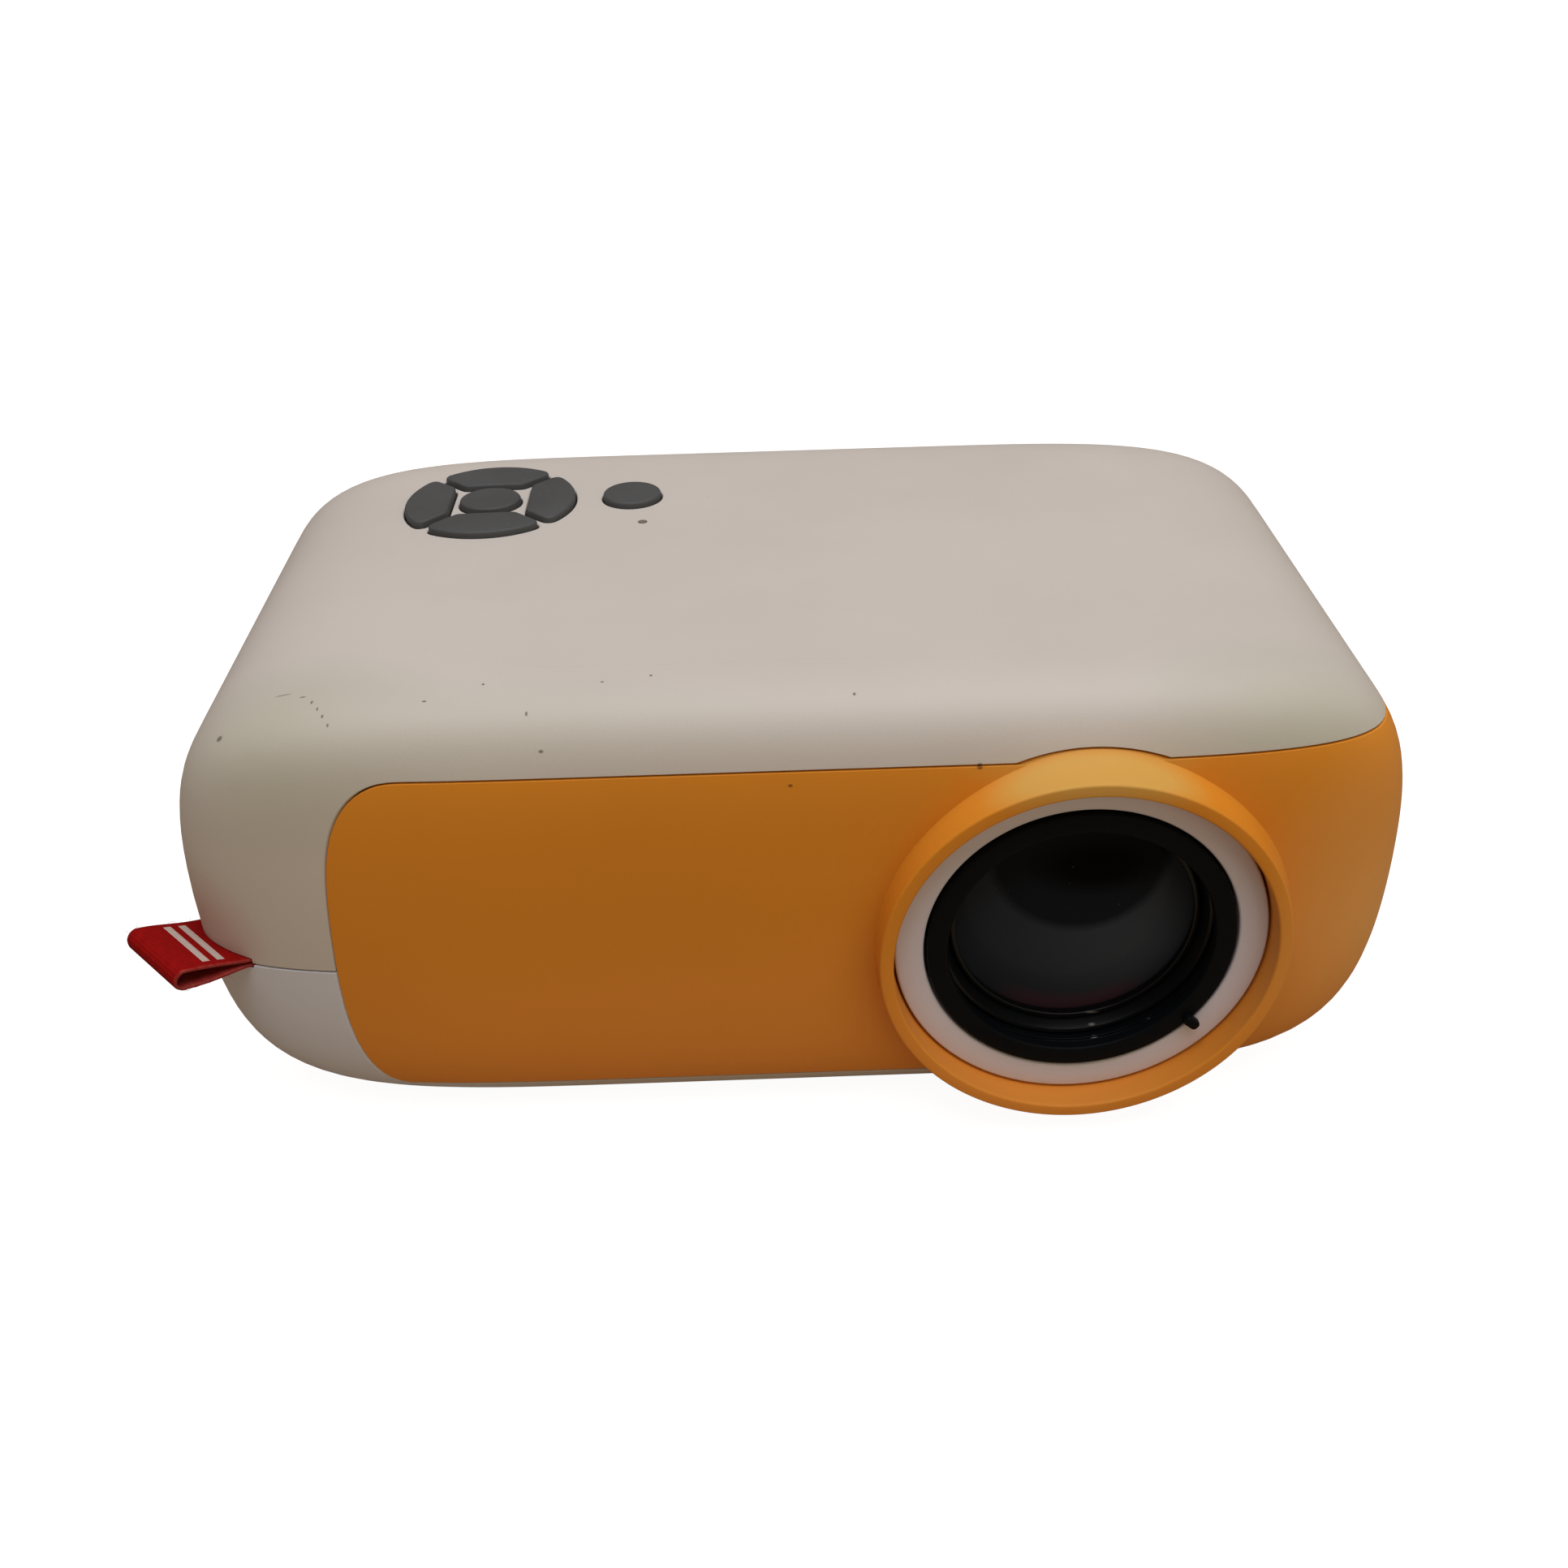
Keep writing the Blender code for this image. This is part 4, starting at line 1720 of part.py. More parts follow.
def card_slot(assembly, place):
    name, left, right, base, top, depth = place
    rear = port_front_y(base, top)
    mesh = made_mesh(name, *block((left, rear - depth, base), (right, rear, top)))
    slot = assembly.piece(name, mesh, "socket_steel", smooth=False)
    middle_x = (left + right) / 2
    middle_z = (base + top) / 2
    low = (middle_x - CARD_SLOT_WIDTH / 2, rear - depth + OVERRUN, middle_z - CARD_SLOT_HEIGHT / 2)
    high = (middle_x + CARD_SLOT_WIDTH / 2, rear + OVERRUN, middle_z + CARD_SLOT_HEIGHT / 2)
    cut(slot, assembly.guide("card_mouth", made_mesh("card_mouth", *block(low, high))))


def sockets(assembly):
    places = {place[0]: place for place in port_places()}
    bored_port(assembly, places["dc_jack"], DC_BORE, DC_BORE_DEPTH, DC_PIN)
    bored_port(assembly, places["av_jack"], AV_BORE, AV_BORE_DEPTH, 0)
    shielded_port(assembly, places["usb_port"], USB_SKIN, USB_TONGUE_WIDTH, USB_TONGUE_THICK, USB_SKIN)
    shielded_port(assembly, places["hdmi_port"], HDMI_SKIN, HDMI_TONGUE_WIDTH, HDMI_TONGUE_THICK, HDMI_CORNER)
    card_slot(assembly, places["card_slot"])


# Speaker


def speaker(assembly):
    rim_x = speaker_front_x()
    back_x = rim_x - SPEAKER_RIM_THICK
    base_x = back_x - SPEAKER_BODY_DEPTH
    centre = (SPEAKER_Y, SPEAKER_Z)
    cone = SPEAKER_RADIUS - SPEAKER_RIM
    profile = [(0, base_x), (SPEAKER_BODY_RADIUS, base_x), (SPEAKER_BODY_RADIUS, back_x), (SPEAKER_RADIUS, back_x)]
    profile += [(SPEAKER_RADIUS, rim_x), (cone, rim_x), (SPEAKER_CAP_RADIUS, rim_x - SPEAKER_CONE_DEPTH)]
    profile += [(0, rim_x - SPEAKER_CONE_DEPTH / 2)]
    mesh = made_mesh("speaker_driver", *turned(profile, "X", centre, SMALL_SEGMENTS))
    assembly.piece("speaker_driver", mesh, "black_plastic", (rim_x, *centre))
    magnet = disc(SPEAKER_MAGNET_RADIUS, base_x - GAP - SPEAKER_MAGNET_THICK, base_x - GAP)
    mesh = made_mesh("speaker_magnet", *turned(magnet, "X", centre, SMALL_SEGMENTS))
    assembly.piece("speaker_magnet", mesh, "screw_steel", (base_x, *centre))


# Ribbon tag


def tag_axes():
    outward = Vector((cos(TAG_ANGLE), sin(TAG_ANGLE), 0))
    across = Vector((-sin(TAG_ANGLE), cos(TAG_ANGLE), 0))
    return Vector((TAG_X, TAG_Y, SEAM_Z)), outward, across


def tag_layers(distance):
    """The upper and lower layer's lines of (along, height), out of the seam to the fold, pushed apart by a distance."""
    half = TAG_THICK / 2 + GAP / 4
    upper = [(-TAG_INSIDE, half + distance)]
    lower = [(-TAG_INSIDE, -half - distance)]
    for step in range(TAG_STEPS + 1):
        share = step / TAG_STEPS
        swell = sin(share * pi / 2) ** 2
        along = TAG_REACH * share
        rise = TAG_RISE * share
        spread = half + (TAG_LOOP_HEIGHT / 2 - half) * swell + distance
        upper.append((along, rise + spread))
        lower.append((along, rise - spread))
    return upper, lower


def tag_path(distance):
    """The ribbon's middle line pushed outwards by a distance: out of the seam, round its fold and back in."""
    upper, lower = tag_layers(distance)
    fold = []
    for step in range(1, TAG_STEPS):
        turn = pi * step / TAG_STEPS
        radius = TAG_LOOP_HEIGHT / 2 + distance
        fold.append((TAG_REACH + radius * sin(turn), radius * cos(turn) + TAG_RISE))
    return upper + fold + lower[::-1]


def tag_loop(assembly):
    origin, outward, across = tag_axes()
    outer = tag_path(TAG_THICK / 2)
    inner = tag_path(-TAG_THICK / 2)
    half_width_vector = across * TAG_WIDTH / 2
    points = []
    for edge in (-half_width_vector, half_width_vector):
        for path in (outer, inner):
            for along, height in path:
                points.append(origin + outward * along + edge + Vector((0, 0, height)))
    count = len(outer)
    faces = []
    for index in range(count - 1):
        near_outer, near_inner = index, count + index
        far_outer, far_inner = 2 * count + index, 3 * count + index
        faces.append((near_outer, near_outer + 1, near_inner + 1, near_inner))
        faces.append((far_outer, far_inner, far_inner + 1, far_outer + 1))
        faces.append((near_outer, far_outer, far_outer + 1, near_outer + 1))
        faces.append((near_inner, near_inner + 1, far_inner + 1, far_inner))
    for index in (0, count - 1):
        faces.append((index, count + index, 3 * count + index, 2 * count + index))
    assembly.piece("tag_loop", made_mesh("tag_loop", points, faces), "red_ribbon", tuple(origin))


def tag_slot_mesh():
    """The slit through both halves of the wall, which follows the ribbon."""
    origin, outward, across = tag_axes()
    side = across * (TAG_WIDTH / 2 + GAP)
    upper, lower = tag_layers(TAG_THICK / 2 + GAP)
    count = len(upper)
    points = []
    for edge in (-side, side):
        for line in (lower, upper):
            for along, height in line:
                start = along - OVERRUN if along < 0 else along
                points.append(origin + outward * start + edge + Vector((0, 0, height)))
    faces = []
    for index in range(count - 1):
        low, high = index, count + index
        far_low, far_high = 2 * count + index, 3 * count + index
        faces.append((low, low + 1, high + 1, high))
        faces.append((far_low, far_high, far_high + 1, far_low + 1))
        faces.append((low, far_low, far_low + 1, low + 1))
        faces.append((high, high + 1, far_high + 1, far_high))
    for index in (0, count - 1):
        faces.append((index, count + index, 3 * count + index, 2 * count + index))
    return made_mesh("tag_slot", points, faces)


def tag_overhang():
    """How far the ribbon reaches left of the case."""
    origin, outward, across = tag_axes()
    reach = TAG_REACH + TAG_LOOP_HEIGHT / 2 + TAG_THICK / 2
    tip = origin + outward * reach + across * TAG_WIDTH / 2 * (-1 if across.x > 0 else 1)
    return max(-BODY_WIDTH / 2 - tip.x, 0)


def clear_scene():
    for thing in list(bpy.data.objects):
        bpy.data.objects.remove(thing, do_unlink=True)


def main():
    clear_scene()
    assembly = Assembly((tag_overhang() / 2, HOOD_PROUD / 2, 0))
    guides = shared_guides(assembly)
    upper_shell(assembly, guides)
    lower_shell(assembly, guides)
    front_panel(assembly, guides)
    for make in (
        feet,
        case_screws,
        tripod_insert,
        lens_trim_ring,
        focus_ring,
        lens_sleeve,
        lens_cell,
        lens_glasses,
        engine_case,
        flat_optics,
        condenser_lens,
        fold_mirror,
        lamp,
        heatsink,
        fan_frame,
        fan_rotor,
        keys,
        switches,
        key_board,
        main_board,
        ir_receiver,
        sockets,
        speaker,
        tag_loop,
    ):
        make(assembly)


main()
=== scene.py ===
"""The looks of a mini video projector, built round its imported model.

Pieces are worked out in the case's own coordinates, in metres, with x and y from the middle of the case and z
from the table. CASE_PLACE then moves them to the model's frame. -Y is the front, where the lens looks out.
"""

import json
from math import acos, asin, cos, hypot, pi, radians, sin, sqrt, tan

import bmesh
import bpy
import numpy as np
from mathutils import Matrix, Vector
from mathutils.kdtree import KDTree

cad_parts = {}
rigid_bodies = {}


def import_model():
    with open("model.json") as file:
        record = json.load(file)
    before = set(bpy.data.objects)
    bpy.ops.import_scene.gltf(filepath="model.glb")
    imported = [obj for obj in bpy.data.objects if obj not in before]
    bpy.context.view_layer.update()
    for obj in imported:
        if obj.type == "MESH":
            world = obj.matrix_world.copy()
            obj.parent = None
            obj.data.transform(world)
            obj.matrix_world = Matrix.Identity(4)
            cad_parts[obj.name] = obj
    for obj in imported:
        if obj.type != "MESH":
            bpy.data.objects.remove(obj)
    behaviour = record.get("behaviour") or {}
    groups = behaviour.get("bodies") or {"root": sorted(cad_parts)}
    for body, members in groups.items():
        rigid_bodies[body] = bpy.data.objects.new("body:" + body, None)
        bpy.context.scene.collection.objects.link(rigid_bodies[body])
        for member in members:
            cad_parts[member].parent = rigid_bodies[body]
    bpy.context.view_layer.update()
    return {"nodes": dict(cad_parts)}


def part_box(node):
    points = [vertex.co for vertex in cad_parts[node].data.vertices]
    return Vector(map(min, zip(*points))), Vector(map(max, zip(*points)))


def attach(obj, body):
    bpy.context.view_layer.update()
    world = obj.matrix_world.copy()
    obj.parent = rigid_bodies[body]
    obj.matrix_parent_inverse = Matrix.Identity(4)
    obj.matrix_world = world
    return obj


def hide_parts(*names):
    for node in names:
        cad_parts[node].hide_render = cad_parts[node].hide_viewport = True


bl_info = {
    "name": "Mini video projector",
    "version": (1, 0, 0),
    "blender": (4, 5, 0),
    "location": "View3D > Sidebar > Projector",
    "description": "Builds the visible pieces of a mini video projector on its packed model",
    "category": "Object",
}

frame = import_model()

# Case form, as in the model
BODY_WIDTH = 0.1400
BODY_DEPTH = 0.0840
BODY_HEIGHT = 0.0545
STANDOFF = 0.0020
WALL = 0.0022
END_ROUND = 0.0546
FACE_ROUND = 0.01845
CROWN_RISE = 0.0439
BELLY_RISE = 0.0540
PLAN_EXPONENT = 4.31
PROFILE_EXPONENT = 5.95
FLAT_SHARE = 0.30
SEAM_HEIGHT = 0.0230
SEAM_LIP_HEIGHT = 0.0014
SEAM_LIP_WALL = 0.0008
GAP = 0.0003
OVERRUN = 0.0010

# Front cover
PANEL_THICK = 0.0012
PANEL_LEFT_RUN = 0.0523
PANEL_SIDE_REACH = 0.0430
PANEL_LOW = 0.0043
PANEL_HIGH = 0.0472
PANEL_END_ROUND = 0.0092
PANEL_HIGH_ROUND = 0.0120
PANEL_LOW_ROUND = 0.0155
PANEL_LEAN = radians(3.5)
PANEL_LEFT_END_ROUND = 0.0088
PANEL_LEFT_HIGH_ROUND = 0.0183
PANEL_LEFT_LOW_ROUND = 0.0016
PANEL_LEFT_EXPONENT = 4
PANEL_LEDGE = 0.0030
PANEL_COLUMNS = 150
PANEL_ROWS = 34

# Hood and lens
LENS_X = 0.0317
LENS_HEIGHT = 0.0245
HOOD_PROUD = 0.0035
HOOD_RADIUS = 0.0229
HOOD_FLARE = 0.0012
HOOD_FLARE_DEPTH = 0.0018
HOOD_FLARE_EXPONENT = 3
HOOD_SEAT = 0.0026
HOOD_COLLAR_WALL = 0.0016
HOOD_SHELF_THICK = 0.0014
HOOD_SHELF_REACH = 0.0016
OPENING_EASE = 0.0006
TRIM_RADIUS = 0.0210
TRIM_BORE = 0.0177
TRIM_SETBACK = 0.0032
TRIM_THICK = 0.0023
FOCUS_PROUD = 0.0004
FOCUS_LIP_RADIUS = 0.0150
FOCUS_LIP_THICK = 0.0013
FOCUS_FLANGE = 0.0018
FOCUS_TUBE_RADIUS = 0.0171
FOCUS_TUBE_WALL = 0.0011
FOCUS_LENGTH = 0.0150
NUB_ANGLE = radians(-40)
NUB_INSIDE = 0.0011
NUB_PROUD = 0.0009
NUB_HALF_WIDTH = 0.0006
NUB_THICK = 0.0011
NUB_ROUND = 0.00045
NUB_EDGE = 0.00025
RING_EDGE = 0.00035
RETAINER_EDGE = 0.00012
HOOD_SIDES = 192
LENS_SIDES = 160
CELL_WALL = 0.0011
CELL_MOUTH = 0.0012
RETAINER_WIDTH = 0.0006
GLASS_EDGE = 0.0025
GLASS_BULGE = 0.0024
GLASS_BACK_BULGE = 0.0011

# Key pad
PAD_X = -0.0382
PAD_Y = 0.0181
PAD_RADIUS = 0.0112
PAD_SPLIT = 0.0012
ARC_KEY_INNER = 0.0047
SIDE_KEY_INNER = 0.0051
OK_KEY_WIDTH = 0.0080
OK_KEY_DEPTH = 0.0074
KEY_HOLE_GAP = 0.00022
KEY_HOLE_CHAMFER = 0.00012
POWER_OFFSET = (0.0187, 0.0006)
POWER_RADIUS = 0.0038
LIGHT_OFFSET = (0.0204, -0.0077)
LIGHT_HOLE_RADIUS = 0.00062

# Air slots and sound slots
VENT_HEIGHT = 0.0018
VENT_LENGTH = 0.0280
VENT_PITCH = 0.0040
VENT_CENTRE_Y = 0.0020
VENTS_ABOVE = 4
VENTS_BELOW = 3
SOUND_SLOTS = 5
SOUND_SLOT_HEIGHT = 0.0016
SOUND_SLOT_PITCH = 0.0038
SOUND_FIELD_RADIUS = 0.0105
SOUND_SLOT_DEPTH = 0.0055
SPEAKER_Y = 0.0010
SPEAKER_HEIGHT = 0.0265
INTAKE_X = -0.0300
INTAKE_SLOTS = 6
INTAKE_WIDTH = 0.0018
INTAKE_LENGTH = 0.0200
INTAKE_PITCH = 0.0042
SLOT_END = 0.49  # A slot's end radius, as a share of its width

# Rear
SOCKETS = ("dc_jack", "av_jack", "usb_port", "hdmi_port", "card_slot")
SOCKET_REACH = 0.0040
SOCKET_ROUND = 0.0005
SOCKET_FLARE_DEPTH = 0.00045
SOCKET_FLARE_ROUND = 0.0008

# Underside
BOSS_RADIUS = 0.0035
BOSS_HEIGHT = 0.0120
INSERT_BOSS_RADIUS = 0.0063
INSERT_WELL_RADIUS = 0.0049
INSERT_COVER = 0.0011
SCREW_MOUTH_RADIUS = 0.0030
SCREW_WELL_RADIUS = 0.0027
SCREW_HOLE_RADIUS = 0.00155
SCREW_SEAT_THICK = 0.0040
FOOT_WELL_RADIUS = 0.0053
FOOT_WELL_DEPTH = 0.0010

# Ribbon tag
TAG_ANGLE = radians(223)
TAG_X = -0.0654
TAG_Y = -0.0344
TAG_WIDTH = 0.0113
TAG_REACH = 0.0084
TAG_INSIDE = 0.0052
TAG_LOOP_HEIGHT = 0.0023
TAG_RISE = 0.0021
TAG_HALF_GAP = 0.00033
TAG_SLIT_EASE = 0.00012

# Places that follow
CORE_X = BODY_WIDTH / 2 - END_ROUND
CORE_Y = BODY_DEPTH / 2 - FACE_ROUND
FRONT_Y = -BODY_DEPTH / 2
TOP_Z = STANDOFF + BODY_HEIGHT
CEILING_Z = TOP_Z - WALL
FLOOR_Z = STANDOFF + WALL
SEAM_Z = STANDOFF + SEAM_HEIGHT
LENS_Z = STANDOFF + LENS_HEIGHT
LIP_Y = FRONT_Y - HOOD_PROUD
TRIM_Y = LIP_Y + TRIM_SETBACK
SHELF_Y = TRIM_Y + TRIM_THICK + GAP
COLLAR_END_Y = SHELF_Y + HOOD_SHELF_THICK
HOOD_BORE = TRIM_RADIUS + GAP
HOOD_COLLAR_RADIUS = HOOD_BORE + HOOD_COLLAR_WALL
LENS_MIDDLE = (LENS_X, LENS_Z)
FOCUS_Y = TRIM_Y - FOCUS_PROUD
FOCUS_RADIUS = TRIM_BORE - GAP
FOCUS_BORE = FOCUS_TUBE_RADIUS - FOCUS_TUBE_WALL
SPEAKER_Z = STANDOFF + SPEAKER_HEIGHT


def case_place():
    """The middle of the case in the model's frame, over the tripod insert."""
    low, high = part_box("tripod_insert")
    return Vector(((low.x + high.x) / 2, (low.y + high.y) / 2, 0))


CASE_PLACE = case_place()


def case_box(node):
    """A model node's lowest and highest corners in the case's coordinates."""
    low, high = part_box(node)
    return low - CASE_PLACE, high - CASE_PLACE


# The pebble form


def fullness(z, inset=0.0):
    """Share of the corner radii that a level section of the skin keeps."""
    height = np.asarray(z, float) - STANDOFF
    rise = np.maximum((height - BODY_HEIGHT + CROWN_RISE) / (CROWN_RISE - inset), 0)
    fall = np.maximum((BELLY_RISE - height) / (BELLY_RISE - inset), 0)
    left = np.maximum(1 - rise**PROFILE_EXPONENT - fall**PROFILE_EXPONENT, 0)
    return np.maximum(left ** (1 / PROFILE_EXPONENT), FLAT_SHARE)


def corner_shares(turn):
    """How far round a corner a turn reaches, from 0 at the front or rear to a quarter at the side."""
    x = np.sin(turn) ** (2 / PLAN_EXPONENT)
    y = np.maximum(np.cos(turn), 0) ** (2 / PLAN_EXPONENT)
    return x, y


def level_section(z, inset, steps):
    """The outline of the skin at one height, anticlockwise from the front's right end."""
    full = float(fullness(z, inset))
    turns = np.linspace(0, pi / 2, steps + 1)
    ring = []
    for side_x, side_y, order in ((1, -1, turns), (1, 1, turns[::-1]), (-1, 1, turns), (-1, -1, turns[::-1])):
        share_x, share_y = corner_shares(order)
        x = side_x * (CORE_X + (END_ROUND - inset) * full * share_x)
        y = side_y * (CORE_Y + (FACE_ROUND - inset) * full * share_y)
        ring.append(np.column_stack([x, y, np.full(len(order), z)]))
    return np.concatenate(ring)


def skin_height(x, y, inset=0.0):
    over_x = np.maximum((np.abs(x) - CORE_X) / (END_ROUND - inset), 0)
    over_y = np.maximum((np.abs(y) - CORE_Y) / (FACE_ROUND - inset), 0)
    full = (over_x**PLAN_EXPONENT + over_y**PLAN_EXPONENT) ** (1 / PLAN_EXPONENT)
    level = np.maximum(1 - full**PROFILE_EXPONENT, 0) ** (1 / PROFILE_EXPONENT)
    return STANDOFF + BODY_HEIGHT - CROWN_RISE + (CROWN_RISE - inset) * level


def section_heights(level, rise, way, start_z, steps):
    """Heights from a start to the flat top or underside, closer together where the skin turns faster."""
    first = asin((max(way * (start_z - level), 0) / rise) ** (PROFILE_EXPONENT / 2))
    last = acos(FLAT_SHARE ** (PROFILE_EXPONENT / 2))
    turns = np.linspace(first, last, steps + 1)[1:]
    return [start_z] + list(level + way * rise * np.sin(turns) ** (2 / PROFILE_EXPONENT)) + [level + way * rise]


def crown_heights(inset, start_z, steps):
    return section_heights(STANDOFF + BODY_HEIGHT - CROWN_RISE, CROWN_RISE - inset, 1, start_z, steps)


def belly_heights(inset, start_z, steps):
    return section_heights(STANDOFF + BELLY_RISE, BELLY_RISE - inset, -1, start_z, steps)


def loft(rows, steps=26):
    """A closed solid through level sections, given as (height, inset) pairs."""
    rings = [level_section(z, inset, steps) for z, inset in rows]
    count = len(rings[0])
    return np.concatenate(rings), end_faces(len(rows), count) + grid_faces(len(rows), count, True)


def corner_table():
    """Turns round the widest section's corner, with the length of skin up to each."""
    turns = np.linspace(0, pi / 2, 2401)
    share_x, share_y = corner_shares(turns)
    places = np.column_stack([END_ROUND * share_x, FACE_ROUND * share_y])
    lengths = np.concatenate([[0], np.cumsum(np.hypot(*np.diff(places, axis=0).T))])
    return turns, lengths


CORNER_TURNS, CORNER_LENGTHS = corner_table()
CORNER_LENGTH = CORNER_LENGTHS[-1]
PANEL_RIGHT_RUN = CORE_X + CORNER_LENGTH + PANEL_SIDE_REACH


def skin_points(run, z, inset):
    """Points of a skin at heights z, a run of skin away from the middle of the front, positive rightwards."""
    run, z = np.broadcast_arrays(np.asarray(run, float), np.asarray(z, float))
    full = fullness(z, inset)
    reach_x = (END_ROUND - inset) * full
    reach_y = (FACE_ROUND - inset) * full
    past = np.abs(run) - CORE_X
    turn = np.interp(np.clip(past, 0, CORNER_LENGTH), CORNER_LENGTHS, CORNER_TURNS)
    share_x, share_y = corner_shares(turn)
    x = np.where(past <= 0, np.abs(run), CORE_X + reach_x * share_x)
    along = np.clip(past - CORNER_LENGTH, 0, 2 * CORE_Y)
    y = np.where(past > CORNER_LENGTH, along - CORE_Y, -CORE_Y - reach_y * share_y)
    return np.stack([np.where(run < 0, -x, x), y, z], axis=-1)


def skin_slope(points):
    """Unit normals of the case's form, and how far off its skin the points lie."""
    x, y = points[:, 0], points[:, 1]
    height = points[:, 2] - STANDOFF
    over_x = np.maximum((np.abs(x) - CORE_X) / END_ROUND, 0)
    over_y = np.maximum((np.abs(y) - CORE_Y) / FACE_ROUND, 0)
    rise = np.maximum((height - BODY_HEIGHT + CROWN_RISE) / CROWN_RISE, 0)
    fall = np.maximum((BELLY_RISE - height) / BELLY_RISE, 0)
    total = over_x**PLAN_EXPONENT + over_y**PLAN_EXPONENT
    ratio = PROFILE_EXPONENT / PLAN_EXPONENT
    form = total**ratio + rise**PROFILE_EXPONENT + fall**PROFILE_EXPONENT
    lift = PROFILE_EXPONENT * np.maximum(total, 1e-12) ** (ratio - 1)
    slope = np.column_stack([
        lift * over_x ** (PLAN_EXPONENT - 1) * np.sign(x) / END_ROUND,
        lift * over_y ** (PLAN_EXPONENT - 1) * np.sign(y) / FACE_ROUND,
        PROFILE_EXPONENT * (rise ** (PROFILE_EXPONENT - 1) / CROWN_RISE - fall ** (PROFILE_EXPONENT - 1) / BELLY_RISE),
    ])
    size = np.maximum(np.linalg.norm(slope, axis=1), 1e-9)
    return slope / size[:, None], (form - 1) / size


# Meshes


def plain_mesh(name, points, edges=(), faces=()):
    mesh = bpy.data.meshes.new(name)
    mesh.from_pydata([tuple(map(float, point)) for point in points], edges, [tuple(face) for face in faces])
    return mesh


def mesh_of(name, points, faces):
    """A mesh with its doubles merged and its faces turned outwards."""
    mesh = plain_mesh(name, points, faces=faces)
    shape = bmesh.new()
    shape.from_mesh(mesh)
    bmesh.ops.remove_doubles(shape, verts=shape.verts, dist=1e-7)
    bmesh.ops.recalc_face_normals(shape, faces=shape.faces)
    shape.to_mesh(mesh)
    shape.free()
    return mesh


def grid_faces(rows, columns, wrap=False, start=0):
    """The faces between rows of points, whose ends meet where the rows wrap round."""
    faces = []
    for row in range(rows - 1):
        for step in range(columns if wrap else columns - 1):
            after = (step + 1) % columns
            low, high = start + row * columns, start + (row + 1) * columns
            faces.append((low + step, low + after, high + after, high + step))
    return faces


def end_faces(rows, count):
    """The first and last of a solid's rings of points, as faces."""
    return [tuple(range(count)), tuple(range((rows - 1) * count, rows * count))]


def block(low, high):
    """A plain box, used only as a cutter or a contact."""
    points = [(x, y, z) for x in (low[0], high[0]) for y in (low[1], high[1]) for z in (low[2], high[2])]
    return points, [(0, 1, 3, 2), (4, 6, 7, 5), (0, 4, 5, 1), (2, 3, 7, 6), (0, 2, 6, 4), (1, 5, 7, 3)]


def point_on(axis, u, v, along):
    """A point from its two coordinates across an axis and the one along it."""
    return {"Z": (u, v, along), "Y": (u, along, v), "X": (along, u, v)}[axis]


def prism(outline, low, high, axis="Z"):
    """A prism on an outline of two coordinates, run along an axis."""
    count = len(outline)
    points = [point_on(axis, u, v, level) for level in (low, high) for u, v in outline]
    return points, end_faces(2, count) + grid_faces(2, count, True)


def rounded_box(low, high, radius, steps=5):
    """The outline of a box with round corners."""
    outline = []
    for corner, (x, y) in enumerate(((high[0], high[1]), (low[0], high[1]), (low[0], low[1]), (high[0], low[1]))):
        middle = (x - radius if x == high[0] else x + radius, y - radius if y == high[1] else y + radius)
        for step in range(steps + 1):
            turn = pi / 2 * (corner + step / steps)
            outline.append((middle[0] + radius * cos(turn), middle[1] + radius * sin(turn)))
    return outline


def oval(middle, radius_u, radius_v, steps):
    turns = [2 * pi * step / steps for step in range(steps)]
    return [(middle[0] + radius_u * cos(turn), middle[1] + radius_v * sin(turn)) for turn in turns]


def turned(profile, axis, centre=(0, 0), segments=128, closed=False):
    """A profile of (radius, along) points turned about an axis through the centre."""
    points = []
    for radius, along in profile:
        points += [point_on(axis, u, v, along) for u, v in oval(centre, radius, radius, segments)]
    count = len(profile)
    faces = grid_faces(count, segments, True)
    if not closed:
        return points, faces + end_faces(count, segments)
    last = (count - 1) * segments
    for step in range(segments):
        after = (step + 1) % segments
        faces.append((last + step, last + after, after, step))
    return points, faces


def arc(centre, radius, first, last, steps):
    """Points of a profile on an arc about a centre, between two angles in degrees."""
    turns = [radians(first + (last - first) * step / steps) for step in range(steps + 1)]
    return [(centre[0] + radius * cos(turn), centre[1] + radius * sin(turn)) for turn in turns]


def rounded_ends(low, high, edge, steps, level):
    """A profile's two rounded corners, between a low and a high radius, on one level."""
    first = arc((low + edge, level + edge), edge, 180, 270, steps[0])
    return first + arc((high - edge, level + edge), edge, -90, 0, steps[1])


def joined(name, parts):
    """One mesh of several (points, faces) parts."""
    points, faces = [], []
    for part_points, part_faces in parts:
        start = len(points)
        points.extend(part_points)
        faces.extend(tuple(start + corner for corner in face) for face in part_faces)
    return mesh_of(name, points, faces)


def applied(target):
    """The evaluated mesh of an object, which is then removed."""
    bpy.context.view_layer.update()
    graph = bpy.context.evaluated_depsgraph_get()
    mesh = bpy.data.meshes.new_from_object(target.evaluated_get(graph))
    name = target.name
    bpy.data.objects.remove(target, do_unlink=True)
    mesh.name = name
    return mesh


def helper(mesh):
    """A mesh's object, for a modifier to read or work on."""
    thing = bpy.data.objects.new(mesh.name, mesh)
    bpy.context.scene.collection.objects.link(thing)
    return thing


def carved(mesh, *steps):
    """A mesh after Booleans, given as (operation, other mesh) pairs."""
    target = helper(mesh)
    tools = []
    for operation, other in steps:
        tools.append(helper(other))
        modifier = target.modifiers.new(operation, "BOOLEAN")
        modifier.operation = operation
        modifier.solver = "EXACT"
        modifier.object = tools[-1]
    result = applied(target)
    for tool in tools:
        bpy.data.objects.remove(tool, do_unlink=True)
    return result


def differences(*meshes):
    return [("DIFFERENCE", mesh) for mesh in meshes]


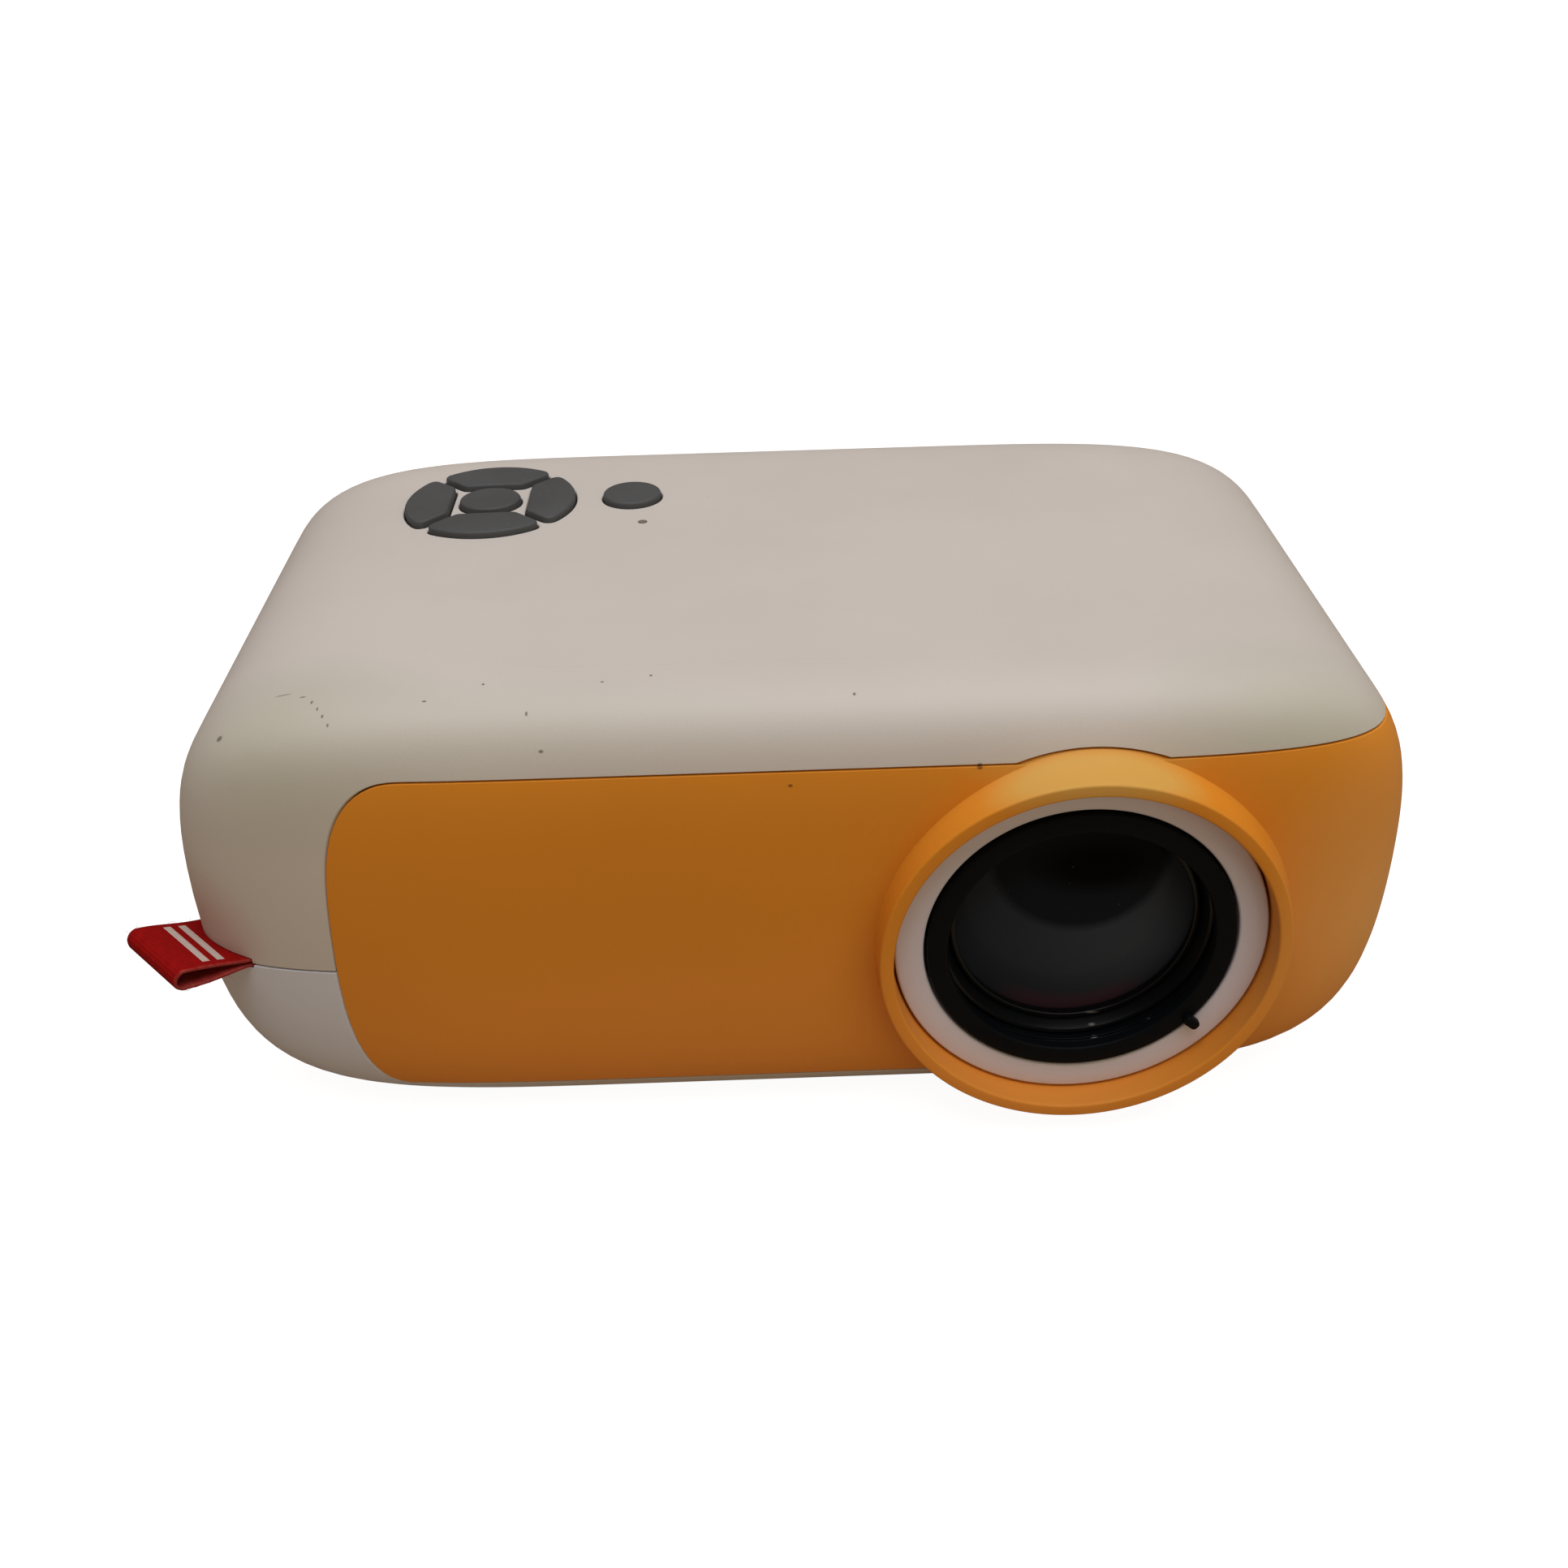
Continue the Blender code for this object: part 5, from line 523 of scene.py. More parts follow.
def bevelled(mesh, width, segments, angle):
    target = helper(mesh)
    modifier = target.modifiers.new("edge", "BEVEL")
    modifier.width = width
    modifier.segments = segments
    modifier.limit_method = "ANGLE"
    modifier.angle_limit = radians(angle)
    return applied(target)


def smooth(mesh, angle=35):
    mesh.shade_smooth()
    mesh.set_sharp_from_angle(angle=radians(angle))
    return mesh


# A face lies on the case's form within this distance, and within this cosine of its slope
SKIN_REACH = 0.00009
SKIN_FACING = 0.96


def on_skin(mesh):
    """Smooth shading, with the exact normals of the case's form on every face that lies on its skin."""
    smooth(mesh, 32)
    count = len(mesh.polygons)
    centres, normals = np.empty(count * 3), np.empty(count * 3)
    mesh.polygons.foreach_get("center", centres)
    mesh.polygons.foreach_get("normal", normals)
    slopes, away = skin_slope(centres.reshape(-1, 3))
    facing = np.einsum("ij,ij->i", slopes, normals.reshape(-1, 3))
    lies_on = (np.abs(away) < SKIN_REACH) & (facing > SKIN_FACING)
    corners = np.empty(len(mesh.loops), int)
    mesh.loops.foreach_get("vertex_index", corners)
    places = np.empty(len(mesh.vertices) * 3)
    mesh.vertices.foreach_get("co", places)
    slopes, _ = skin_slope(places.reshape(-1, 3)[corners])
    totals = np.empty(count, int)
    mesh.polygons.foreach_get("loop_total", totals)
    slopes[~np.repeat(lies_on, totals)] = 0
    mesh.normals_split_custom_set(slopes.tolist())
    return mesh


def piece(name, mesh, finish, body, slot, *nodes):
    """A finished piece in the model's frame, riding on its body and standing for the nodes."""
    mesh.transform(Matrix.Translation(CASE_PLACE))
    mesh.name = name
    mesh.materials.clear()
    mesh.materials.append(look(finish))
    thing = bpy.data.objects.new(name, mesh)
    bpy.context.scene.collection.objects.link(thing)
    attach(thing, body)
    if nodes:
        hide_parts(*nodes)
    return thing


# Nodes


class Value:
    """A node's output that Python arithmetic turns into Math nodes."""

    def __init__(self, nodes, socket):
        self.nodes = nodes
        self.socket = socket

    def maths(self, operation, *values):
        return self.nodes.node("ShaderNodeMath", {"operation": operation}, dict(enumerate(values)))

    def __add__(self, other):
        return self.maths("ADD", self, other)

    def __radd__(self, other):
        return self.maths("ADD", other, self)

    def __sub__(self, other):
        return self.maths("SUBTRACT", self, other)

    def __rsub__(self, other):
        return self.maths("SUBTRACT", other, self)

    def __mul__(self, other):
        return self.maths("MULTIPLY", self, other)

    def __rmul__(self, other):
        return self.maths("MULTIPLY", other, self)

    def __gt__(self, other):
        return self.maths("GREATER_THAN", self, other)

    def __lt__(self, other):
        return self.maths("LESS_THAN", self, other)

    def either(self, other):
        return self.maths("MAXIMUM", self, other)

    def absolute(self):
        return self.maths("ABSOLUTE", self)

    def sine(self):
        return self.maths("SINE", self)


class Nodes:
    """The nodes of one tree."""

    def __init__(self, tree):
        self.tree = tree
        self.tree.nodes.clear()

    def node(self, kind, settings=None, sockets=None, output=0):
        """One output of a new node, made with its settings and then its sockets' values or links."""
        made = self.tree.nodes.new(kind)
        for key, value in (settings or {}).items():
            setattr(made, key, value)
        for key, value in (sockets or {}).items():
            if isinstance(value, Value):
                self.tree.links.new(value.socket, made.inputs[key])
            else:
                made.inputs[key].default_value = value
        return Value(self, made.outputs[output])

    def end_in(self, kind, value):
        """Link a value to the first input of the closing node."""
        self.tree.links.new(value.socket, self.tree.nodes.new(kind).inputs[0])

    def seen(self):
        """1 for rays that show the background: the camera's, and those through clear pieces."""
        camera = self.node("ShaderNodeLightPath", output="Is Camera Ray")
        return camera.either(self.node("ShaderNodeLightPath", output="Is Transmission Ray"))


class Finish(Nodes):
    """One procedural material."""

    def __init__(self, name, colour):
        self.material = bpy.data.materials.new(name)
        self.material.use_nodes = True
        self.material.diffuse_color = (*colour, 1)
        super().__init__(self.material.node_tree)

    def place(self):
        return self.node("ShaderNodeTexCoord", output="Object")

    def stretched(self, place, scale, offset=(0, 0, 0)):
        return self.node("ShaderNodeMapping", {}, {"Vector": place, "Scale": scale, "Location": offset})

    def noise(self, place, scale, detail=2.0, roughness=0.5, warp=0.0):
        sockets = {"Vector": place, "Scale": scale, "Detail": detail, "Roughness": roughness, "Distortion": warp}
        return self.node("ShaderNodeTexNoise", {}, sockets)

    def cells(self, place, scale, spread=1.0):
        return self.node("ShaderNodeTexVoronoi", {}, {"Vector": place, "Scale": scale, "Randomness": spread})

    def span(self, value, low, high, first=0.0, last=1.0):
        """The value carried from one range to another, and held within it."""
        sockets = {"Value": value, "From Min": low, "From Max": high, "To Min": first, "To Max": last}
        return self.node("ShaderNodeMapRange", {"clamp": True}, sockets)

    def blend(self, share, first, last):
        """Two colours mixed by a share."""
        first, last = (colour if isinstance(colour, Value) else (*colour, 1) for colour in (first, last))
        return self.node("ShaderNodeMix", {"data_type": "RGBA"}, {0: share, 6: first, 7: last}, output=2)

    def bump(self, height, distance, strength):
        return self.node("ShaderNodeBump", {}, {"Height": height, "Distance": distance, "Strength": strength})

    def vector(self, operation, first, second=(0, 0, 0), output=0):
        return self.node("ShaderNodeVectorMath", {"operation": operation}, {0: first, 1: second}, output)

    def near(self, place, centre, reach, low, high=1.0):
        """1 at a point of the case, falling to 0 at an ellipsoid of the given reach about it."""
        moved = self.vector("SUBTRACT", place, CASE_PLACE + Vector(centre))
        scaled = self.vector("MULTIPLY", moved, [1 / size for size in reach])
        return self.span(self.vector("LENGTH", scaled, output="Value"), low, high, 1.0, 0.0)

    def specks(self, place, scale, size, share):
        """Sparse dots, 1 on a dot and 0 elsewhere."""
        dots = self.cells(place, scale) < size
        return dots * (self.noise(place, scale / 3, 1.0) > share)

    def shade(self, colour, roughness, normal, **constants):
        """The finish's Principled shader. Constants are named like its sockets, with _ for a space."""
        sockets = {"Base Color": colour, "Roughness": roughness, "Normal": normal}
        sockets.update((key.replace("_", " "), value) for key, value in constants.items())
        self.end_in("ShaderNodeOutputMaterial", self.node("ShaderNodeBsdfPrincipled", {}, sockets))
        return self.material


def toned(colour, share, lift=0.0):
    """A colour made darker or paler."""
    return [min(channel * share + lift, 1) for channel in colour]


# Finishes


def shell_finish(name, colour, grime, speck, painted_light=(), marks=(), stray=0.6):
    """Satin moulded plastic with a fine grain, faint mottling, patches of painted light and shade, handling marks and
    stray specks.
    """
    finish = Finish(name, colour)
    place = finish.place()
    mottle = finish.noise(place, 45.0, 3.0, 0.55)
    smudge = finish.noise(finish.stretched(place, (1, 1, 1.6), (0.3, 0.1, 0)), 17.0, 4.0, 0.6, 0.4)
    grain = finish.noise(place, 4300.0, 2.0, 0.6)
    pores = finish.cells(place, 2600.0)
    tone = finish.blend(finish.span(mottle, 0.3, 0.7), toned(colour, 0.98), toned(colour, 1.02))
    worn = finish.span(smudge, 0.56, 0.78) * grime
    tone = finish.blend(worn, tone, toned(colour, 0.86))
    ragged = finish.span(finish.noise(place, 120.0, 3.0, 0.6), 0.25, 0.75, 0.85, 1.0)
    # Painted light and shade: patches of tone, with ragged edges, that stand in for shade at corners, bounce light and
    # sheen
    for centre, reach, low, painted_tone in painted_light:
        tone = finish.blend(finish.near(place, centre, reach, low) * ragged, tone, painted_tone)
    tone = finish.blend(finish.specks(place, 260.0, 0.062, 0.68) * stray, tone, speck)
    for centre, reach in marks:
        tone = finish.blend(finish.near(place, centre, reach, 0.6, 1.1) * 0.75, tone, speck)
    roughness = finish.span(mottle, 0.25, 0.75, 0.52, 0.60) + worn * 0.10
    height = grain * 0.6 + finish.span(pores, 0.0, 0.5) * 0.4
    return finish.shade(tone, roughness, finish.bump(height, 0.00004, 0.32), Specular_IOR_Level=0.25)


# Patches of painted light and shade: middle, reach along each axis, where the fading starts, colour
# Painted shade on the upper half: darker front corners and a darker front edge of the top, and a reddish patch of
# painted bounce light beside the ribbon
SHELL_PAINTED_LIGHT = (
    ((-0.0555, -0.0375, 0.0530), (0.022, 0.016, 0.015), 0.15, (0.50, 0.478, 0.395)),
    ((0.0560, -0.0385, 0.0520), (0.022, 0.015, 0.013), 0.15, (0.53, 0.512, 0.435)),
    ((-0.0350, -0.0400, 0.0550), (0.040, 0.010, 0.009), 0.10, (0.57, 0.54, 0.48)),
    ((-0.0660, -0.0350, 0.0290), (0.008, 0.010, 0.009), 0.10, (0.56, 0.40, 0.35)),
)
# Painted light on the lower half: a paler, cooler patch at the front left, under the seam
LOWER_PAINTED_LIGHT = (
    ((-0.0590, -0.0400, 0.0140), (0.036, 0.034, 0.040), 0.45, (0.68, 0.70, 0.80)),
)
# Painted light on the cover: a paler painted sheen on its right end, a pinker, paler painted light along its lower
# part, and a paler painted sheen on the hood's top
COVER_PAINTED_LIGHT = (
    ((0.0690, -0.0360, 0.0230), (0.023, 0.034, 0.030), 0.10, (0.88, 0.440, 0.135)),
    ((0.0000, -0.0420, 0.0020), (0.095, 0.020, 0.030), 0.30, (0.86, 0.310, 0.046)),
    ((0.0317, -0.0435, 0.0510), (0.021, 0.0042, 0.0065), 0.60, (0.69, 0.385, 0.083)),
)

# Painted glints in the black parts, small pale spots that stand in for highlights: middle, reach along each axis,
# strength
RING_PAINTED_GLINTS = (
    ((0.03469, -0.03996, 0.01078), (0.00042, 0.00040, 0.00034), 0.55),
    ((0.04088, -0.04003, 0.01340), (0.00024, 0.00034, 0.00022), 0.25),
)
BARREL_PAINTED_GLINTS = (
    ((0.03455, -0.03874, 0.01175), (0.00050, 0.00024, 0.00020), 0.22),
    ((0.03461, -0.03790, 0.01291), (0.00085, 0.00018, 0.00018), 0.16),
)

# Small marks: middle and reach along each axis
SHELL_MARKS = (
    ((-0.0550, -0.0310, 0.0552), (0.0011, 0.00010, 0.0006)),
    ((-0.0526, -0.0321, 0.0554), (0.00040, 0.00014, 0.0006)),
    ((-0.0514, -0.0333, 0.0554), (0.00016, 0.00034, 0.0006)),
    ((-0.0506, -0.0345, 0.0552), (0.00013, 0.00030, 0.0006)),
    ((-0.0499, -0.0356, 0.0549), (0.00016, 0.00026, 0.0006)),
    ((-0.0492, -0.0367, 0.0545), (0.00013, 0.00022, 0.0006)),
    ((-0.0617, -0.0343, 0.0519), (0.00042, 0.00036, 0.0005)),
    ((-0.0391, -0.0348, 0.0560), (0.00028, 0.00018, 0.0006)),
    ((-0.0331, -0.0322, 0.0564), (0.00018, 0.00024, 0.0006)),
    ((-0.0281, -0.0370, 0.0553), (0.00016, 0.00030, 0.0006)),
    ((-0.0266, -0.0397, 0.0522), (0.00030, 0.00030, 0.00020)),
    ((-0.0203, -0.0325, 0.0564), (0.00022, 0.00018, 0.0006)),
    ((-0.0151, -0.0315, 0.0565), (0.00018, 0.00026, 0.0006)),
    ((0.0066, -0.0359, 0.0558), (0.00020, 0.00024, 0.0006)),
    ((0.0196, -0.0407, 0.0494), (0.00034, 0.0006, 0.00024)),
)
COVER_MARKS = (
    ((-0.0005, -0.0411, 0.0478), (0.00030, 0.0006, 0.00020)),
    ((0.0196, -0.0407, 0.0491), (0.00034, 0.0006, 0.00022)),
)


def dark_finish(name, colour, roughness, grain_scale, depth, dust=0.0, gloss=0.4, painted_glints=()):
    """Dark moulded plastic or rubber with a grain, a little dust and small painted glints that stand in for highlights.
    """
    finish = Finish(name, colour)
    place = finish.place()
    grain = finish.noise(place, grain_scale, 2.0, 0.6)
    patch = finish.noise(place, 90.0, 3.0, 0.6)
    tone = finish.blend(finish.span(patch, 0.3, 0.7), toned(colour, 0.9), toned(colour, 1.12, 0.0006))
    tone = finish.blend(finish.specks(place, 900.0, 0.14, 0.6) * dust, tone, (0.22, 0.21, 0.20))
    # Painted glints: small pale spots that stand in for highlights of the lamps
    for centre, reach, bright in painted_glints:
        tone = finish.blend(finish.near(place, centre, reach, 0.3, 1.1) * bright, tone, (0.85, 0.82, 0.78))
    rough = finish.span(patch, 0.25, 0.75, roughness - 0.05, roughness + 0.06)
    return finish.shade(tone, rough, finish.bump(grain, depth, 0.5), Specular_IOR_Level=gloss)


def metal_finish(name, colour, roughness, along, scale):
    """Drawn or rolled metal with fine lines along one axis and a few dull patches."""
    finish = Finish(name, colour)
    place = finish.place()
    lines = finish.noise(finish.stretched(place, along), scale, 3.0, 0.6)
    patch = finish.noise(place, 160.0, 3.0, 0.6)
    tone = finish.blend(finish.span(patch, 0.35, 0.75), colour, toned(colour, 0.72))
    rough = finish.span(lines, 0.2, 0.8, roughness - 0.07, roughness + 0.09)
    return finish.shade(tone, rough, finish.bump(lines, 0.00003, 0.35), Metallic=1.0)


def board_finish(name):
    """Green board under solder mask, with copper runs and tinned pads."""
    finish = Finish(name, (0.02, 0.12, 0.05))
    place = finish.place()
    weave = {"Vector": place, "Scale": 90.0, "Mortar Size": 0.05, "Mortar Smooth": 0.1, "Brick Width": 0.9,
             "Row Height": 0.16}
    runs = finish.node("ShaderNodeTexBrick", {"offset": 0.37, "squash": 1.0}, weave, output="Fac")
    pads = finish.cells(place, 420.0, 0.0) < 0.16
    patch = finish.noise(place, 120.0)
    tone = finish.blend(finish.span(patch, 0.3, 0.7), (0.012, 0.085, 0.034), (0.018, 0.11, 0.045))
    tone = finish.blend(runs * 0.5, tone, (0.03, 0.20, 0.08))
    tone = finish.blend(pads * (finish.noise(place, 130.0, 1.0) > 0.56), tone, (0.62, 0.62, 0.60))
    return finish.shade(tone, finish.span(patch, 0.2, 0.8, 0.25, 0.40), finish.bump(runs + pads, 0.00004, 0.4))


# The ribbon's inner face lies this far across in its UV. Its stripes lie this far from its upper layer's inner end.
RIBBON_INSIDE = 0.1
STRIPES = (0.0090, 0.0108)
STRIPE_HALF = 0.00045
STRIPE_REACH = 0.0046
RIB_PITCH = 0.00042
THREAD_PITCH = 0.00030


def ribbon_finish(name, colour, pale):
    """Woven ribbon on its own UV, in metres: ribs across, threads along, and two plain pale stripes."""
    finish = Finish(name, colour)
    weave = finish.node("ShaderNodeUVMap", {"uv_map": "ribbon"})
    across, along = (finish.node("ShaderNodeSeparateXYZ", {}, {0: weave}, output) for output in (0, 1))
    ribs = (along * (2 * pi / RIB_PITCH)).sine()
    cloth = ribs * 0.6 + (across * (2 * pi / THREAD_PITCH)).sine() * ribs * 0.4
    slub = finish.noise(weave, 900.0, 3.0, 0.6)
    tone = finish.blend(finish.span(cloth, -0.9, 0.9), toned(colour, 0.72), colour)
    tone = finish.blend(finish.span(slub, 0.35, 0.8) * 0.5, tone, toned(colour, 1.4, 0.001))
    first, second = ((along - middle).absolute() < STRIPE_HALF for middle in STRIPES)
    stripes = first.either(second) * (across.absolute() < STRIPE_REACH)
    tone = finish.blend(stripes * 0.85, tone, pale)
    inside = across > RIBBON_INSIDE / 2
    tone = finish.blend(inside * finish.span(slub, 0.3, 0.7, 0.15, 0.5), tone, (0.42, 0.085, 0.075))
    middle = (across - inside * RIBBON_INSIDE).absolute()
    frayed = finish.span(middle, TAG_WIDTH / 2 - 0.00034, TAG_WIDTH / 2 - 0.00012)
    tone = finish.blend(frayed * finish.span(slub, 0.3, 0.65, 0.0, 0.5), tone, (0.42, 0.11, 0.095))
    rough = finish.span(slub, 0.2, 0.8, 0.78, 0.95)
    return finish.shade(tone, rough, finish.bump(cloth * 0.5 + slub * 0.5, 0.00008, 0.6), Specular_IOR_Level=0.06)


def glass_finish(name):
    """Dark coated lens glass with its light and reflections painted into its colour: a lighter lower zone, dark painted
    reflections in its upper part, and a plum painted reflection at its lower rim.
    """
    finish = Finish(name, (0.02, 0.02, 0.02))
    place = finish.place()

    def painted_zone(x, z, reach_x, reach_z, low, high):
        return finish.near(place, (LENS_X + x, 0, LENS_Z + z), (reach_x, 1, reach_z), low, high)

    # Painted light: a lighter lower zone, brighter towards the lower right
    tone = finish.blend(painted_zone(0.0100, -0.0040, 0.0170, 0.0130, 0.0, 1.0), (0.029, 0.035, 0.050), (0.046, 0.055, 0.073))
    # Painted reflections of dark things: a dark zone and a darker one in the upper part
    tone = finish.blend(painted_zone(0.0002, 0.0085, 0.0104, 0.0092, 0.90, 1.04), tone, (0.0090, 0.0115, 0.0165))
    tone = finish.blend(painted_zone(0.0022, 0.0076, 0.0082, 0.0036, 0.45, 1.10), tone, (0.0010, 0.0010, 0.0012))
    # A plum-coloured painted reflection along the lower rim
    rim = (1 - painted_zone(0.0, 0.0, 0.0129, 0.0129, 0.82, 0.97)) * painted_zone(0.0005, -0.0130, 0.0100, 0.0070, 0.55, 1.05)
    tone = finish.blend(rim, tone, (0.070, 0.037, 0.057))
    tone = finish.blend(finish.specks(place, 1100.0, 0.10, 0.64) * 0.25, tone, (0.16, 0.16, 0.16))
    smear = finish.noise(finish.stretched(place, (1, 1, 2.4)), 130.0, 4.0, 0.6)
    rough = finish.span(smear, 0.45, 0.8, 0.10, 0.20)
    return finish.shade(tone, rough, finish.bump(smear, 0.00001, 0.2), Specular_IOR_Level=0.04, IOR=1.45)


def window_finish(name):
    """The dark red filter of the infrared window."""
    finish = Finish(name, (0.02, 0.003, 0.004))
    patch = finish.noise(finish.place(), 700.0)
    tone = finish.blend(finish.span(patch, 0.3, 0.7), (0.014, 0.0016, 0.003), (0.024, 0.003, 0.005))
    return finish.shade(tone, finish.span(patch, 0.2, 0.8, 0.10, 0.18), finish.bump(patch, 0.00001, 0.3))


def clear_finish(name):
    """Clear optical plastic or glass, a little uneven."""
    colour = (0.80, 0.84, 0.86)
    finish = Finish(name, colour)
    place = finish.place()
    patch = finish.noise(place, 240.0)
    tone = finish.blend(finish.span(patch, 0.3, 0.7), colour, toned(colour, 0.93))
    ripple = finish.bump(finish.noise(place, 900.0), 0.00001, 0.3)
    return finish.shade(tone, finish.span(patch, 0.2, 0.8, 0.05, 0.12), ripple, Transmission_Weight=0.85, IOR=1.49)


def phosphor_finish(name):
    """Pale yellow phosphor with a fine granular face."""
    finish = Finish(name, (0.75, 0.66, 0.20))
    grain = finish.cells(finish.place(), 2400.0)
    tone = finish.blend(finish.span(grain, 0.0, 0.6), (0.80, 0.70, 0.22), (0.62, 0.52, 0.12))
    return finish.shade(tone, finish.span(grain, 0.0, 0.7, 0.5, 0.7), finish.bump(grain, 0.00005, 0.5))


# Colour, roughness, grain's scale and depth, dust, gloss, painted glints
DARK_FINISHES = {
    "black_plastic": ((0.0052, 0.0050, 0.0052), 0.42, 2600.0, 0.00003, 0.2),
    "barrel_black": ((0.0036, 0.0044, 0.0056), 0.30, 1500.0, 0.00002, 0.0, 0.30, BARREL_PAINTED_GLINTS),
    "ring_black": ((0.0036, 0.0048, 0.0064), 0.42, 1500.0, 0.00002, 0.0, 0.06, RING_PAINTED_GLINTS),
    "foot_rubber": ((0.021, 0.020, 0.020), 0.78, 1900.0, 0.00006, 0.4, 0.3),
    "socket_black": ((0.012, 0.012, 0.012), 0.46, 3100.0, 0.00003, 0.1),
    "speaker_cone": ((0.028, 0.027, 0.026), 0.7, 1400.0, 0.00006, 0.2, 0.25),
    "status_lens": ((0.20, 0.165, 0.155), 0.30, 900.0, 0.00001),
    "ribbon_fibre": ((0.42, 0.03, 0.035), 0.8, 3000.0, 0.00001),
}

# Colour, roughness, stretch of the lines along each axis, their scale
METAL_FINISHES = {
    "mirror_glass": ((0.86, 0.87, 0.88), 0.10, (1, 1, 1), 300.0),
    "socket_steel": ((0.60, 0.59, 0.57), 0.30, (1, 1, 14), 500.0),
    "contact_gold": ((0.78, 0.56, 0.25), 0.26, (9, 1, 1), 500.0),
    "fin_aluminium": ((0.66, 0.66, 0.67), 0.34, (1, 12, 1), 420.0),
    "screw_steel": ((0.055, 0.054, 0.056), 0.36, (1, 1, 9), 700.0),
    "insert_brass": ((0.66, 0.46, 0.19), 0.28, (1, 1, 10), 500.0),
}

OTHER_FINISHES = {
    "lens_glass": glass_finish,
    "window_glass": window_finish,
    "clear_optic": clear_finish,
    "board_green": board_finish,
    "lamp_phosphor": phosphor_finish,
}


FINISHES = {}


def look(name):
    """A finish by name, made the first time that it is asked for."""
    if name not in FINISHES:
        FINISHES[name] = new_finish(name)
    return FINISHES[name]


def new_finish(name):
    colours = bpy.context.scene.projector_finishes
    if name in DARK_FINISHES:
        return dark_finish(name, *DARK_FINISHES[name])
    if name in METAL_FINISHES:
        return metal_finish(name, *METAL_FINISHES[name])
    if name in OTHER_FINISHES:
        return OTHER_FINISHES[name](name)
    if name == "key_rubber":
        return dark_finish(name, colours.keys, 0.62, 5200.0, 0.00003, 0.25, 0.35)
    if name == "red_ribbon":
        return ribbon_finish(name, colours.ribbon, (0.62, 0.55, 0.50))
    speck = (0.10, 0.085, 0.07)
    shells = {
        # The tables of patches paint light and shade into the colour of the halves and the cover
        "white_plastic": (colours.shell, 0.30, speck, SHELL_PAINTED_LIGHT, SHELL_MARKS),
        "lower_plastic": (colours.shell, 0.30, speck, LOWER_PAINTED_LIGHT),
        "trim_plastic": (colours.trim, 0.20, (0.12, 0.10, 0.08)),
        "orange_plastic": (colours.cover, 0.20, (0.14, 0.035, 0.008), COVER_PAINTED_LIGHT, COVER_MARKS, 0.0),
    }
    return shell_finish(name, *shells[name])


# Geometry Nodes


class Tree(Nodes):
    """A Geometry Nodes tree with named inputs, ended by Realize Instances and Set Material."""

    def __init__(self, name, inputs):
        super().__init__(bpy.data.node_groups.new(name, "GeometryNodeTree"))
        sockets = {"Geometry": "Geometry", **inputs, "Material": "Material"}
        for label, kind in sockets.items():
            self.tree.interface.new_socket(label, in_out="INPUT", socket_type=f"NodeSocket{kind}")
        self.tree.interface.new_socket("Geometry", in_out="OUTPUT", socket_type="NodeSocketGeometry")
        given = self.tree.nodes.new("NodeGroupInput").outputs
        self.inputs = {label: Value(self, given[label]) for label in sockets}

    def circle(self, facets, radius):
        inputs = {"Resolution": facets, "Radius": radius}
        return self.node("GeometryNodeCurvePrimitiveCircle", {"mode": "RADIUS"}, inputs)

    def combined(self, **sides):
        return self.node("ShaderNodeCombineXYZ", {}, sides)

    def end(self, geometry):
        whole = self.node("GeometryNodeRealizeInstances", {}, {"Geometry": geometry})
        dressed = {"Geometry": whole, "Material": self.inputs["Material"]}
        self.end_in("NodeGroupOutput", self.node("GeometryNodeSetMaterial", {}, dressed))
        return self.tree


def ring_stack_tree():
    """Round rings, one behind the other along Z."""
    inputs = {"Count": "Int", "Radius": "Float", "Pitch": "Float", "Thickness": "Float", "Facets": "Int"}
    tree = Tree("ring_stack", inputs)
    given = tree.inputs
    line = {"Count": given["Count"], "Offset": tree.combined(Z=given["Pitch"])}
    ring = {"Curve": tree.circle(given["Facets"], given["Radius"]), "Profile Curve": tree.circle(8, given["Thickness"])}
    return tree.end(tree.node("GeometryNodeInstanceOnPoints", {}, {
        "Points": tree.node("GeometryNodeMeshLine", {"mode": "OFFSET"}, line),
        "Instance": tree.node("GeometryNodeCurveToMesh", {}, ring),
    }))


def copies_tree():
    """Copies of a pattern object on the vertices of the input, each with a seeded turn and size."""
    inputs = {"Pattern": "Object", "Turn": "Float", "Tilt": "Float", "Size Spread": "Float", "Seed": "Int"}
    tree = Tree("copies", inputs)
    given = tree.inputs
    turn, tilt, seed = given["Turn"], given["Tilt"], given["Seed"]
    lows = tree.combined(X=tilt * -1.0, Y=tilt * -1.0, Z=turn * -1.0)
    turns = {"Min": lows, "Max": tree.combined(X=tilt, Y=tilt, Z=turn), "Seed": seed}
    sizes = {2: 1.0 - given["Size Spread"], 3: 1.0, "Seed": seed}
    pattern = {"Object": given["Pattern"]}
    return tree.end(tree.node("GeometryNodeInstanceOnPoints", {}, {
        "Points": given["Geometry"],
        "Instance": tree.node("GeometryNodeObjectInfo", {"transform_space": "ORIGINAL"}, pattern, "Geometry"),
        "Rotation": tree.node("FunctionNodeRandomValue", {"data_type": "FLOAT_VECTOR"}, turns),
        "Scale": tree.node("FunctionNodeRandomValue", {"data_type": "FLOAT"}, sizes, 1),
    }))


def wire_tree():
    """A round wire along every edge of the input."""
    tree = Tree("wires", {"Wire Radius": "Float"})
    wires = tree.node("GeometryNodeMeshToCurve", {}, {"Mesh": tree.inputs["Geometry"]})
    section = tree.circle(4, tree.inputs["Wire Radius"])
    wire = {"Curve": wires, "Profile Curve": section, "Fill Caps": True}
    return tree.end(tree.node("GeometryNodeCurveToMesh", {}, wire))


